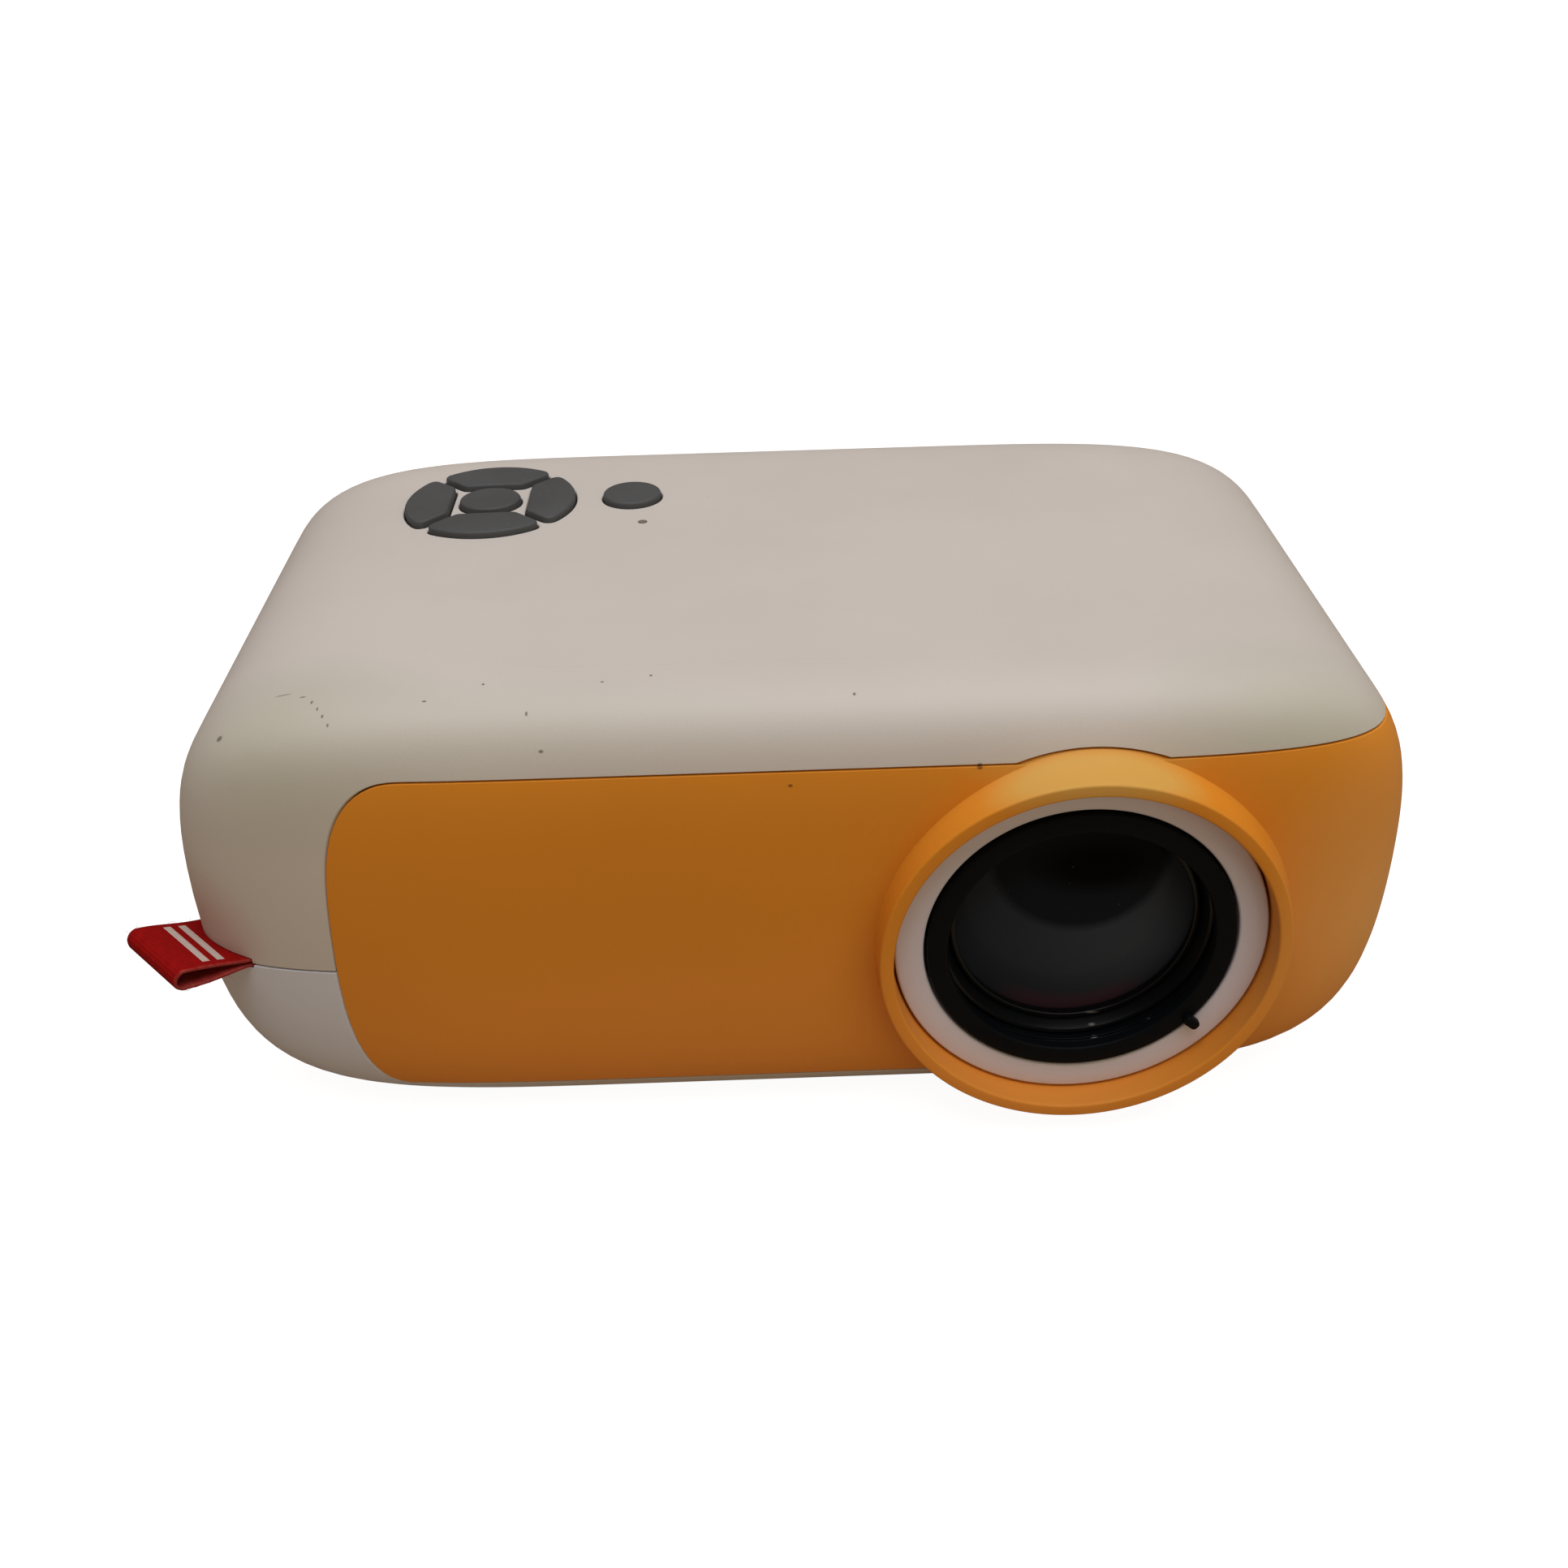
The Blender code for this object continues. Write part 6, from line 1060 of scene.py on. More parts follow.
def grown_by(tree, base, finish, values):
    """The plain mesh that a tree makes from a base mesh, with its inputs set by name."""
    values = {**values, "Material": look(finish)}
    target = helper(base)
    modifier = target.modifiers.new("nodes", "NODES")
    modifier.node_group = tree
    for item in tree.interface.items_tree:
        if item.in_out == "INPUT" and item.name in values:
            modifier[item.identifier] = values[item.name]
    return applied(target)


def ring_stack(finish, **values):
    return grown_by(ring_stack_tree(), bpy.data.meshes.new("rings"), finish, values)


def copied(pattern, places, finish, turn=0.0, tilt=0.0, spread=0.0, seed=3):
    """Copies of a pattern mesh on places, as one mesh."""
    original = helper(pattern)
    values = {"Pattern": original, "Turn": turn, "Tilt": tilt, "Size Spread": spread, "Seed": seed}
    mesh = grown_by(copies_tree(), plain_mesh("places", places), finish, values)
    bpy.data.objects.remove(original, do_unlink=True)
    return mesh


# Case and cover


def left_stations(grow, steps=22):
    """Runs along the cover's leaning left border, with the outline's lowest and highest point at each."""
    left = -PANEL_LEFT_RUN - grow
    low, high = STANDOFF + PANEL_LOW - grow, STANDOFF + PANEL_HIGH + grow
    end, high_round = PANEL_LEFT_END_ROUND + grow, PANEL_LEFT_HIGH_ROUND + grow
    low_round = max(PANEL_LEFT_LOW_ROUND + grow, GAP)
    power = 2 / PANEL_LEFT_EXPONENT

    def leaning(inward, height):
        return left + inward + (height - SEAM_Z) * tan(PANEL_LEAN), height

    turns = pi / 4 * (1 - np.cos(np.linspace(0, pi, steps + 1)))
    inward = end * (1 - np.maximum(np.cos(turns), 0) ** power)
    corner = leaning(inward, high - high_round * (1 - np.sin(turns) ** power))
    lower = leaning(low_round * (1 - np.cos(turns)), low + low_round * (1 - np.sin(turns)))
    first = leaning(0, low + low_round)
    shares = np.linspace(0.16, 1, 10)[:-1] ** 2
    lean_runs = first[0] + (corner[0][0] - first[0]) * shares
    lean_tops = first[1] + (corner[1][0] - first[1]) * shares
    runs = np.concatenate([lean_runs, corner[0]])
    return runs, np.interp(runs, *lower), np.concatenate([lean_tops, corner[1]])


def cover_solid(layers):
    """The piece of the case's wall inside the cover's outline, through layers of (growth, inset) from the front in."""
    start = left_stations(0)[0][-1]
    middle = np.linspace(start + 0.0008, PANEL_RIGHT_RUN - PANEL_END_ROUND - 0.0006, PANEL_COLUMNS)
    grids = []
    for grow, inset in layers:
        turns = np.linspace(0, pi / 2, 15)
        inward = max(PANEL_END_ROUND + grow, GAP) * (1 - np.cos(turns))
        lift = max(PANEL_LOW_ROUND + grow, GAP) * (1 - np.sin(turns))
        drop = max(PANEL_HIGH_ROUND + grow, GAP) * (1 - np.sin(turns))
        low, high = STANDOFF + PANEL_LOW - grow, STANDOFF + PANEL_HIGH + grow
        left_runs, left_lows, left_highs = left_stations(grow)
        runs = np.concatenate([left_runs, middle, (PANEL_RIGHT_RUN + grow - inward)[::-1]])
        lows = np.concatenate([left_lows, np.full(len(middle), low), (low + lift)[::-1]])
        highs = np.concatenate([left_highs, np.full(len(middle), high), (high - drop)[::-1]])
        heights = lows[:, None] + (highs - lows)[:, None] * np.linspace(0, 1, PANEL_ROWS + 1)
        grids.append(skin_points(runs[:, None], heights, inset))
    columns, height = grids[0].shape[:2]
    points = [grid.reshape(-1, 3) for grid in (grids[0], grids[-1])]
    size = columns * height
    faces = grid_faces(columns, height) + grid_faces(columns, height, start=size)
    border = [column * height for column in range(columns)]
    border += [(columns - 1) * height + row for row in range(1, height)]
    border += [column * height + height - 1 for column in range(columns - 2, -1, -1)]
    border += [row for row in range(height - 2, 0, -1)]
    loops = [border]
    start = 2 * size
    for grid in grids[1:-1]:
        points.append(grid.reshape(-1, 3)[border])
        loops.append(list(range(start, start + len(border))))
        start += len(border)
    loops.append([size + corner for corner in border])
    for near, far in zip(loops, loops[1:]):
        for step in range(len(border)):
            after = (step + 1) % len(border)
            faces.append((near[step], near[after], far[after], far[step]))
    return np.concatenate(points), faces


def rounded_layers(edge, thickness, grow=0.0):
    """Layers with a quarter round of the given size at the front edge."""
    layers = []
    for step in range(4):
        turn = pi / 2 * step / 3
        layers.append((grow - edge * (1 - sin(turn)), edge * (1 - cos(turn))))
    return layers + [(grow, thickness)]


def hood_ring(sizes):
    """The hood with its flat lip, its wall that flares to a crease in the cover's skin, its collar and its shelf."""
    lip = sizes.lip_round
    flare = FRONT_Y + HOOD_FLARE_DEPTH - LIP_Y - lip
    rows = rounded_ends(HOOD_BORE, HOOD_RADIUS, lip, (5, 6), LIP_Y)
    for share in np.linspace(0, 1, 15)[1:]:
        rows.append((HOOD_RADIUS + HOOD_FLARE * share**HOOD_FLARE_EXPONENT, LIP_Y + lip + flare * share))
    seat, throat = FRONT_Y + HOOD_SEAT, HOOD_BORE - HOOD_SHELF_REACH
    rows += [(HOOD_RADIUS + HOOD_FLARE, seat), (HOOD_COLLAR_RADIUS, seat), (HOOD_COLLAR_RADIUS, COLLAR_END_Y)]
    rows += [(throat, COLLAR_END_Y), (throat, SHELF_Y), (HOOD_BORE, SHELF_Y)]
    return mesh_of("hood", *turned(rows, "Y", LENS_MIDDLE, HOOD_SIDES, True))


def slot_cutter(low, high, radius, axis):
    """A slot with rounded corners, run along an axis."""
    u, v, along = {"X": (1, 2, 0), "Y": (0, 2, 1), "Z": (0, 1, 2)}[axis]
    return prism(rounded_box((low[u], low[v]), (high[u], high[v]), radius), low[along], high[along], axis)


def side_vents(count, way):
    """Air slots through the left wall, above the seam or below it."""
    inner = case_box("fan_frame")[0].x - GAP
    vents = []
    for index in range(count):
        level = SEAM_Z + (index + 1) * VENT_PITCH * way
        low = (-BODY_WIDTH / 2 - OVERRUN, VENT_CENTRE_Y - VENT_LENGTH / 2, level - VENT_HEIGHT / 2)
        high = (inner, VENT_CENTRE_Y + VENT_LENGTH / 2, level + VENT_HEIGHT / 2)
        vents.append(slot_cutter(low, high, VENT_HEIGHT * SLOT_END, "X"))
    return vents


def sound_slots():
    """Slots through the cover's right side, within a round field in front of the speaker."""
    side = BODY_WIDTH / 2
    slots = []
    for index in range(SOUND_SLOTS):
        level = (index - (SOUND_SLOTS - 1) / 2) * SOUND_SLOT_PITCH
        half = sqrt(SOUND_FIELD_RADIUS**2 - level**2)
        low = (side - SOUND_SLOT_DEPTH, SPEAKER_Y - half, SPEAKER_Z + level - SOUND_SLOT_HEIGHT / 2)
        high = (side + OVERRUN, SPEAKER_Y + half, SPEAKER_Z + level + SOUND_SLOT_HEIGHT / 2)
        slots.append(slot_cutter(low, high, SOUND_SLOT_HEIGHT * SLOT_END, "X"))
    return slots


def on_tag(along, shift, height):
    """A point of the ribbon: this far out of the seam, to the side and above the seam."""
    outward = np.array((cos(TAG_ANGLE), sin(TAG_ANGLE), 0))
    across = np.array((-sin(TAG_ANGLE), cos(TAG_ANGLE), 0))
    return np.array((TAG_X, TAG_Y, SEAM_Z)) + outward * along + across * shift + np.array((0, 0, height))


def ribbon_layers(distance, steps=30):
    """The upper and lower layer's lines of (along, height), out of the seam to the fold, pushed apart by a distance."""
    upper, lower = [(-TAG_INSIDE, TAG_HALF_GAP + distance)], [(-TAG_INSIDE, -TAG_HALF_GAP - distance)]
    for step in range(steps + 1):
        share = step / steps
        swell = sin(share * pi / 2) ** 2
        spread = TAG_HALF_GAP + (TAG_LOOP_HEIGHT / 2 - TAG_HALF_GAP) * swell + distance
        upper.append((TAG_REACH * share, TAG_RISE * share + spread))
        lower.append((TAG_REACH * share, TAG_RISE * share - spread))
    return upper, lower


def ribbon_path(distance):
    """The ribbon's middle line pushed outwards by a distance: out of the seam, round its fold and back in."""
    upper, lower = ribbon_layers(distance)
    fold = []
    for step in range(1, 16):
        turn = pi * step / 16
        radius = TAG_LOOP_HEIGHT / 2 + distance
        fold.append((TAG_REACH + radius * sin(turn), radius * cos(turn) + TAG_RISE))
    return upper + fold + lower[::-1]


def tag_slit(thickness):
    """The slit through the wall that the ribbon passes, a little wider than its two layers."""
    upper, lower = ribbon_layers(thickness / 2 + TAG_SLIT_EASE, 10)
    outline = [(along - OVERRUN if along < 0 else along, height) for along, height in lower + upper[::-1]]
    side = TAG_WIDTH / 2 + GAP / 2
    points = [on_tag(along, edge, height) for edge in (-side, side) for along, height in outline]
    return points, end_faces(2, len(outline)) + grid_faces(2, len(outline), True)


def shared_cutters(sizes, ribbon):
    """Solids that cut both halves of the case."""
    edge, gap = sizes.cover_edge, sizes.cover_gap
    root = HOOD_RADIUS + HOOD_FLARE + 1.5 * gap
    seat = FRONT_Y + HOOD_SEAT + GAP
    collar = HOOD_COLLAR_RADIUS + GAP
    profile = [(root, LIP_Y - OVERRUN), (root, seat), (collar, seat), (collar, COLLAR_END_Y + GAP)]
    rebate = [(gap + edge + OVERRUN, -OVERRUN), (gap, edge), (gap, PANEL_THICK + GAP)]
    window = [(-PANEL_LEDGE, -OVERRUN), (-PANEL_LEDGE, WALL + OVERRUN)]
    return [
        mesh_of("cover_rebate", *cover_solid(rebate)),
        mesh_of("cover_window", *cover_solid(window)),
        mesh_of("hood_clearance", *turned(profile, "Y", LENS_MIDDLE, HOOD_SIDES)),
        mesh_of("tag_slit", *tag_slit(ribbon.thickness)),
    ]


def seam_edge(seam, edge, way):
    """The rounded rows of a half at the seam."""
    return [(seam + way * edge * (1 - sin(turn)), edge * (1 - cos(turn))) for turn in (pi / 6, pi / 3, pi / 2)]


def upper_half(sizes, ribbon, key_sizes):
    """The upper half with its air slots and its openings for the keys and the status light."""
    edge = sizes.seam_round
    seam = SEAM_Z + sizes.seam_gap / 2
    lip, lip_z = WALL - SEAM_LIP_WALL - GAP, SEAM_Z + SEAM_LIP_HEIGHT + GAP
    rows = [(z, 0) for z in crown_heights(0, seam + edge, 30)][::-1] + seam_edge(seam, edge, 1)
    rows += [(seam, lip), (lip_z, lip)] + [(z, WALL) for z in crown_heights(WALL, lip_z, 10)]
    light = oval((PAD_X + LIGHT_OFFSET[0], PAD_Y + LIGHT_OFFSET[1]), LIGHT_HOLE_RADIUS, LIGHT_HOLE_RADIUS, 24)
    holes = side_vents(VENTS_ABOVE, 1) + [key_hole(name, key_sizes.corner_round) for name in KEY_FORMS]
    holes.append(prism(light, CEILING_Z - OVERRUN, TOP_Z + OVERRUN))
    cutters = shared_cutters(sizes, ribbon) + [joined("upper_holes", holes)]
    return on_skin(carved(mesh_of("upper_half", *loft(rows)), *differences(*cutters)))


def rear_openings():
    """Openings for the sockets, each with a flare at the skin, and for the infrared window."""
    rear = BODY_DEPTH / 2 + OVERRUN
    openings = []
    for name in SOCKETS:
        low, high = case_box(name)
        mouths = ((GAP, SOCKET_REACH, SOCKET_ROUND), (2 * GAP, -SOCKET_FLARE_DEPTH, SOCKET_FLARE_ROUND))
        for gap, reach, radius in mouths:
            inner = (low.x - gap, high.y - reach, low.z - gap)
            openings.append(slot_cutter(inner, (high.x + gap, rear, high.z + gap), radius, "Y"))
    low, high = case_box("ir_window")
    radius = (high.x - low.x) / 2 + GAP
    outline = oval(((low.x + high.x) / 2, (low.z + high.z) / 2), radius, radius, 48)
    return openings + [prism(outline, low.y - OVERRUN, rear, "Y")]


def middles_of(kind):
    """The middles of the four nodes of a kind, seen from above."""
    boxes = [case_box(f"{kind}_{index}") for index in range(1, 5)]
    return [((low.x + high.x) / 2, (low.y + high.y) / 2) for low, high in boxes]


def post(radius, low, high, place=(0, 0), sides=56):
    return turned([(radius, low), (radius, high)], "Z", place, sides)


def intake_slots():
    slots = []
    for index in range(INTAKE_SLOTS):
        middle = INTAKE_X + (index - (INTAKE_SLOTS - 1) / 2) * INTAKE_PITCH
        low = (middle - INTAKE_WIDTH / 2, -INTAKE_LENGTH / 2, 0)
        high = (middle + INTAKE_WIDTH / 2, INTAKE_LENGTH / 2, FLOOR_Z + OVERRUN)
        slots.append(slot_cutter(low, high, INTAKE_WIDTH * SLOT_END, "Z"))
    return slots


def lower_half(sizes, ribbon):
    """The lower half with its lip, its bosses, its wells for screws, feet and insert, and its openings."""
    edge = sizes.seam_round
    seam = SEAM_Z - sizes.seam_gap / 2
    lip, lip_z = WALL - SEAM_LIP_WALL, SEAM_Z + SEAM_LIP_HEIGHT
    rows = [(z, 0) for z in belly_heights(0, seam - edge, 22)][::-1] + seam_edge(seam, edge, -1)
    rows += [(seam, lip), (lip_z, lip), (lip_z, WALL)] + [(z, WALL) for z in belly_heights(WALL, seam, 10)]
    root, boss_top = FLOOR_Z - WALL / 2, STANDOFF + BOSS_HEIGHT
    seat, insert_top = boss_top - SCREW_SEAT_THICK, case_box("tripod_insert")[1].z
    screw_well = [(SCREW_MOUTH_RADIUS, -OVERRUN), (SCREW_MOUTH_RADIUS, STANDOFF + GAP),
                  (SCREW_WELL_RADIUS, STANDOFF + 2 * GAP), (SCREW_WELL_RADIUS, seat),
                  (SCREW_HOLE_RADIUS, seat), (SCREW_HOLE_RADIUS, boss_top + OVERRUN)]
    screws = middles_of("case_screw")
    bosses = [post(BOSS_RADIUS, root, boss_top, place, 40) for place in screws]
    bosses.append(post(INSERT_BOSS_RADIUS, root, insert_top + INSERT_COVER))
    wells = [turned(screw_well, "Z", place, 40) for place in screws]
    wells += [post(FOOT_WELL_RADIUS, 0, STANDOFF + FOOT_WELL_DEPTH, place, 48) for place in middles_of("foot")]
    wells += [post(INSERT_WELL_RADIUS, 0, insert_top + GAP)] + intake_slots() + side_vents(VENTS_BELOW, -1)
    openings = rear_openings()
    cutters = shared_cutters(sizes, ribbon) + [
        joined("rear_openings_1", openings[::2]), joined("rear_openings_2", openings[1::2]), joined("wells", wells)]
    bossed = ("UNION", joined("bosses", bosses))
    return on_skin(carved(mesh_of("lower_half", *loft(rows)), bossed, *differences(*cutters)))


def front_cover(sizes):
    """The cover with its hood, its lens bore and its sound slots."""
    cover = mesh_of("front_cover", *cover_solid(rounded_layers(sizes.cover_edge, PANEL_THICK)))
    radius = HOOD_BORE + OPENING_EASE
    bore = turned([(radius, LIP_Y - OVERRUN), (radius, COLLAR_END_Y)], "Y", LENS_MIDDLE, HOOD_SIDES)
    opening, slots = differences(mesh_of("lens_opening", *bore), joined("sound_slots", sound_slots()))
    return on_skin(carved(cover, opening, ("UNION", hood_ring(sizes)), slots))


# Lens


def lens_turned(name, profile, closed=True, angle=35):
    """A smooth piece turned about the lens axis."""
    return smooth(mesh_of(name, *turned(profile, "Y", LENS_MIDDLE, LENS_SIDES, closed)), angle)


def trim_ring():
    """The pale ring, flat with small rounded edges."""
    back = TRIM_Y + TRIM_THICK
    profile = rounded_ends(TRIM_BORE, TRIM_RADIUS, RING_EDGE, (4, 4), TRIM_Y)
    return lens_turned("trim_ring", profile + [(TRIM_RADIUS, back), (TRIM_BORE, back)])


def focus_ring():
    """The black ring with its rolled lip, its tube and its thumb nub."""
    end, flange, lip = FOCUS_Y + FOCUS_LENGTH, FOCUS_Y + FOCUS_FLANGE, FOCUS_Y + FOCUS_LIP_THICK
    profile = rounded_ends(FOCUS_LIP_RADIUS, FOCUS_RADIUS, RING_EDGE, (5, 5), FOCUS_Y)
    profile += [(FOCUS_RADIUS, flange), (FOCUS_TUBE_RADIUS, flange), (FOCUS_TUBE_RADIUS, end)]
    profile += [(FOCUS_BORE, end), (FOCUS_BORE, lip), (FOCUS_LIP_RADIUS, lip)]
    ring = mesh_of("focus_ring", *turned(profile, "Y", LENS_MIDDLE, LENS_SIDES, True))
    low = (FOCUS_RADIUS - NUB_INSIDE, -NUB_HALF_WIDTH)
    outline = rounded_box(low, (FOCUS_RADIUS + NUB_PROUD, NUB_HALF_WIDTH), NUB_ROUND)
    nub = mesh_of("nub", *prism(outline, TRIM_Y - GAP - NUB_THICK, TRIM_Y - GAP, "Y"))
    nub = bevelled(nub, NUB_EDGE, 3, 50)
    nub.transform(Matrix.Translation((LENS_X, 0, LENS_Z)) @ Matrix.Rotation(-NUB_ANGLE, 4, "Y"))
    return smooth(carved(ring, ("UNION", nub)))


def lens_barrel():
    """The lens cell: a blackened tube with a stepped mouth for the glass and a stepped rear end."""
    low, high = case_box("lens_cell")
    outer = FOCUS_BORE - GAP
    seat = outer - CELL_WALL
    shelf = case_box("front_lens")[0].y + GLASS_BULGE + GLASS_EDGE + GAP
    profile = [(seat + CELL_WALL / 2, low.y + 0.0001), (outer - 0.0002, low.y), (outer, low.y + 0.0002)]
    profile += [(outer, high.y), (outer - 0.0036, high.y), (outer - 0.0036, high.y - 0.0030)]
    profile += [(outer - 0.0048, high.y - 0.0030), (outer - 0.0048, shelf + 0.0020), (seat - 0.0016, shelf + 0.0020)]
    return lens_turned("lens_barrel", profile + [(seat - 0.0016, shelf), (seat, shelf), (seat, low.y + CELL_MOUTH)])


def front_glass():
    """The front lens, bulged more in front than behind."""
    low, high = case_box("front_lens")
    radius, edge = (high.x - low.x) / 2, low.y + GLASS_BULGE
    back = edge + GLASS_EDGE
    profile = [(radius * share, edge - GLASS_BULGE * (1 - share**2)) for share in np.linspace(0.02, 1, 26)]
    profile += [(radius, back)]
    profile += [(radius * share, back + GLASS_BACK_BULGE * (1 - share**2)) for share in np.linspace(0.98, 0.02, 14)]
    return lens_turned("front_glass", profile, False, 60)


def glass_retainer():
    """The thin ring that holds the front glass."""
    low, high = case_box("front_retainer")
    outer = (high.x - low.x) / 2
    inner = outer - RETAINER_WIDTH
    profile = rounded_ends(inner, outer, RETAINER_EDGE, (3, 3), low.y)
    return lens_turned("glass_retainer", profile + [(outer, high.y), (inner + 0.0002, high.y)])


# Keys


def sector_core(direction, inner, corner):
    """A pad key drawn in by its corner radius: part of a disc between two diagonals, with a straight inner edge."""
    half = PAD_SPLIT / 2 + corner
    slant = sin(pi / 4)
    outer = PAD_RADIUS - corner
    run = sqrt(outer**2 - half**2)
    tip = (run * slant - half * slant, run * slant + half * slant)
    low = inner + corner
    inner_x = max(low - half / slant, 0.00005)
    reach = asin(tip[0] / outer)
    points = [(-inner_x, low), (inner_x, low)]
    points += [(outer * sin(angle), outer * cos(angle)) for angle in np.linspace(reach, -reach, 40)]
    return [(x * direction[1] + y * direction[0], y * direction[1] - x * direction[0]) for x, y in points]


KEY_FORMS = {
    "key_up": ((0, 0), (0, 1), ARC_KEY_INNER),
    "key_down": ((0, 0), (0, -1), ARC_KEY_INNER),
    "key_left": ((0, 0), (-1, 0), SIDE_KEY_INNER),
    "key_right": ((0, 0), (1, 0), SIDE_KEY_INNER),
    "key_ok": ((0, 0), None, (OK_KEY_WIDTH / 2, OK_KEY_DEPTH / 2)),
    "key_power": (POWER_OFFSET, None, (POWER_RADIUS, POWER_RADIUS)),
}


# A key's outline has this many points, each found by halving a reach along a ray from its middle
KEY_POINTS = 96
KEY_REACH = 0.0300
HALVINGS = 34


def key_outline(name, corner, grow):
    """A key's rounded outline, grown by a distance, with its middle."""
    offset, direction, size = KEY_FORMS[name]
    if direction:
        core = np.array(sector_core(direction, size, corner))
        middle = (core.min(axis=0) + core.max(axis=0)) / 2
    else:
        core = np.array(oval((0, 0), size[0] - corner, size[1] - corner, KEY_POINTS))
        middle = np.zeros(2)
    place = np.array((PAD_X + offset[0], PAD_Y + offset[1]))
    before, after = core, np.roll(core, -1, axis=0)
    span = after - before
    lengths, rises = np.maximum((span**2).sum(axis=1), 1e-18), np.where(span[:, 1] == 0, 1e-18, span[:, 1])
    outline = []
    for step in range(KEY_POINTS):
        angle = 2 * pi * step / KEY_POINTS
        ray = np.array((cos(angle), sin(angle)))
        low, high = 0.0, KEY_REACH
        for _ in range(HALVINGS):
            reach = (low + high) / 2
            point = middle + ray * reach
            share = np.clip(np.einsum("ij,ij->i", point - before, span) / lengths, 0, 1)
            away = np.hypot(*(point - before - span * share[:, None]).T).min()
            crossings = (before[:, 1] > point[1]) != (after[:, 1] > point[1])
            sides = before[:, 0] + (point[1] - before[:, 1]) * span[:, 0] / rises
            inside = (crossings & (point[0] < sides)).sum() % 2 == 1
            if inside or away < corner + grow:
                low = reach
            else:
                high = reach
        outline.append(middle + ray * low + place)
    return np.array(outline), middle + place


def key_hole(name, corner):
    """The opening for a key, with a fine chamfer at the case's skin."""
    inner, _ = key_outline(name, corner, KEY_HOLE_GAP)
    outer, _ = key_outline(name, corner, KEY_HOLE_GAP + KEY_HOLE_CHAMFER + OVERRUN)
    skin = skin_height(inner[:, 0], inner[:, 1])
    rings = [np.column_stack([inner, np.full(KEY_POINTS, CEILING_Z - 2 * OVERRUN)]),
             np.column_stack([inner, skin - KEY_HOLE_CHAMFER]), np.column_stack([outer, skin + OVERRUN])]
    return np.concatenate(rings), end_faces(3, KEY_POINTS) + grid_faces(3, KEY_POINTS, True)


def key_cap(name, sizes):
    """A pillow-like key: a rounded edge that runs into a faintly crowned top."""
    node_low, node_high = case_box(name)
    corner, crown = sizes.corner_round, sizes.crown
    edge = min(sizes.edge_round, corner * 0.96)
    outline, middle = key_outline(name, corner, 0)
    proud = node_high.z - float(skin_height(middle[0], middle[1]))

    def raised(ring, first, second=0):
        return np.column_stack([ring, skin_height(ring[:, 0], ring[:, 1]) + proud - first - second])

    rings = [np.column_stack([outline, np.full(KEY_POINTS, node_low.z + 0.0030)]), raised(outline, edge, crown)]
    for turn in [pi / 2 * step / 7 for step in range(1, 8)]:
        ring, _ = key_outline(name, corner, -edge * (1 - cos(turn)))
        rings.append(raised(ring, crown, edge * (1 - sin(turn))))
    for share in (0.85, 0.7, 0.55, 0.4, 0.25, 0.1):
        rings.append(raised(middle + (ring - middle) * share, crown * share**2))
    faces = end_faces(len(rings), KEY_POINTS) + grid_faces(len(rings), KEY_POINTS, True)
    points = np.minimum(np.concatenate(rings), [np.inf, np.inf, node_high.z])
    return smooth(mesh_of(name, points, faces), 50)


# Ribbon


# Shares of the ribbon's half width: where its rim starts to thin, and the rim's width. Then the waver of its edges.
RIM_START = 0.93
RIM_WIDTH = 0.07
WAVER = 0.00006


def ribbon_mesh(sizes, columns=30):
    """The folded ribbon with thread-thick edges, and its UV in metres: across and along."""
    half = sizes.thickness / 2
    outer, inner = np.array(ribbon_path(half)), np.array(ribbon_path(-half))
    lengths = np.concatenate([[0], np.cumsum(np.hypot(*np.diff((outer + inner) / 2, axis=0).T))])
    normal = (outer - inner) / np.maximum(np.linalg.norm(outer - inner, axis=1), 1e-9)[:, None]
    points, coordinates = [], []
    for side, path, shift in ((1, outer, 0), (-1, inner, RIBBON_INSIDE)):
        for share in np.linspace(-1, 1, columns + 1):
            rim = max(abs(share) - RIM_START, 0) / RIM_WIDTH
            pull = side * half * (1 - sqrt(max(1 - 0.75 * rim**2, 0)))
            edges = share * TAG_WIDTH / 2 + WAVER * np.sin(lengths * 700 + share * 5) * abs(share)
            places = zip(path - normal * pull, edges)
            points += [on_tag(along, edge, height) for (along, height), edge in places]
            coordinates += [(share * TAG_WIDTH / 2 + shift, length) for length in lengths]
    count = len(outer)
    size = (columns + 1) * count
    faces = grid_faces(columns + 1, count) + grid_faces(columns + 1, count, start=size)
    rims = [(column * count + index, 1) for index in range(count - 1) for column in (0, columns)]
    rims += [(column * count + index, count) for column in range(columns) for index in (0, count - 1)]
    faces += [(start, start + step, size + start + step, size + start) for start, step in rims]
    mesh = mesh_of("ribbon_tag", points, faces)
    layer = mesh.uv_layers.new(name="ribbon")
    finder = KDTree(len(points))
    for index, point in enumerate(points):
        finder.insert(point, index)
    finder.balance()
    nearest = [finder.find(vertex.co)[1] for vertex in mesh.vertices]
    for loop in mesh.loops:
        layer.data[loop.index].uv = coordinates[nearest[loop.vertex_index]]
    return smooth(mesh, 60)


# What a user would change

LENGTH = {"unit": "LENGTH", "precision": 5, "min": 0}
POWER = {"unit": "POWER", "min": 0}
COLOUR = {"subtype": "COLOR", "size": 3}


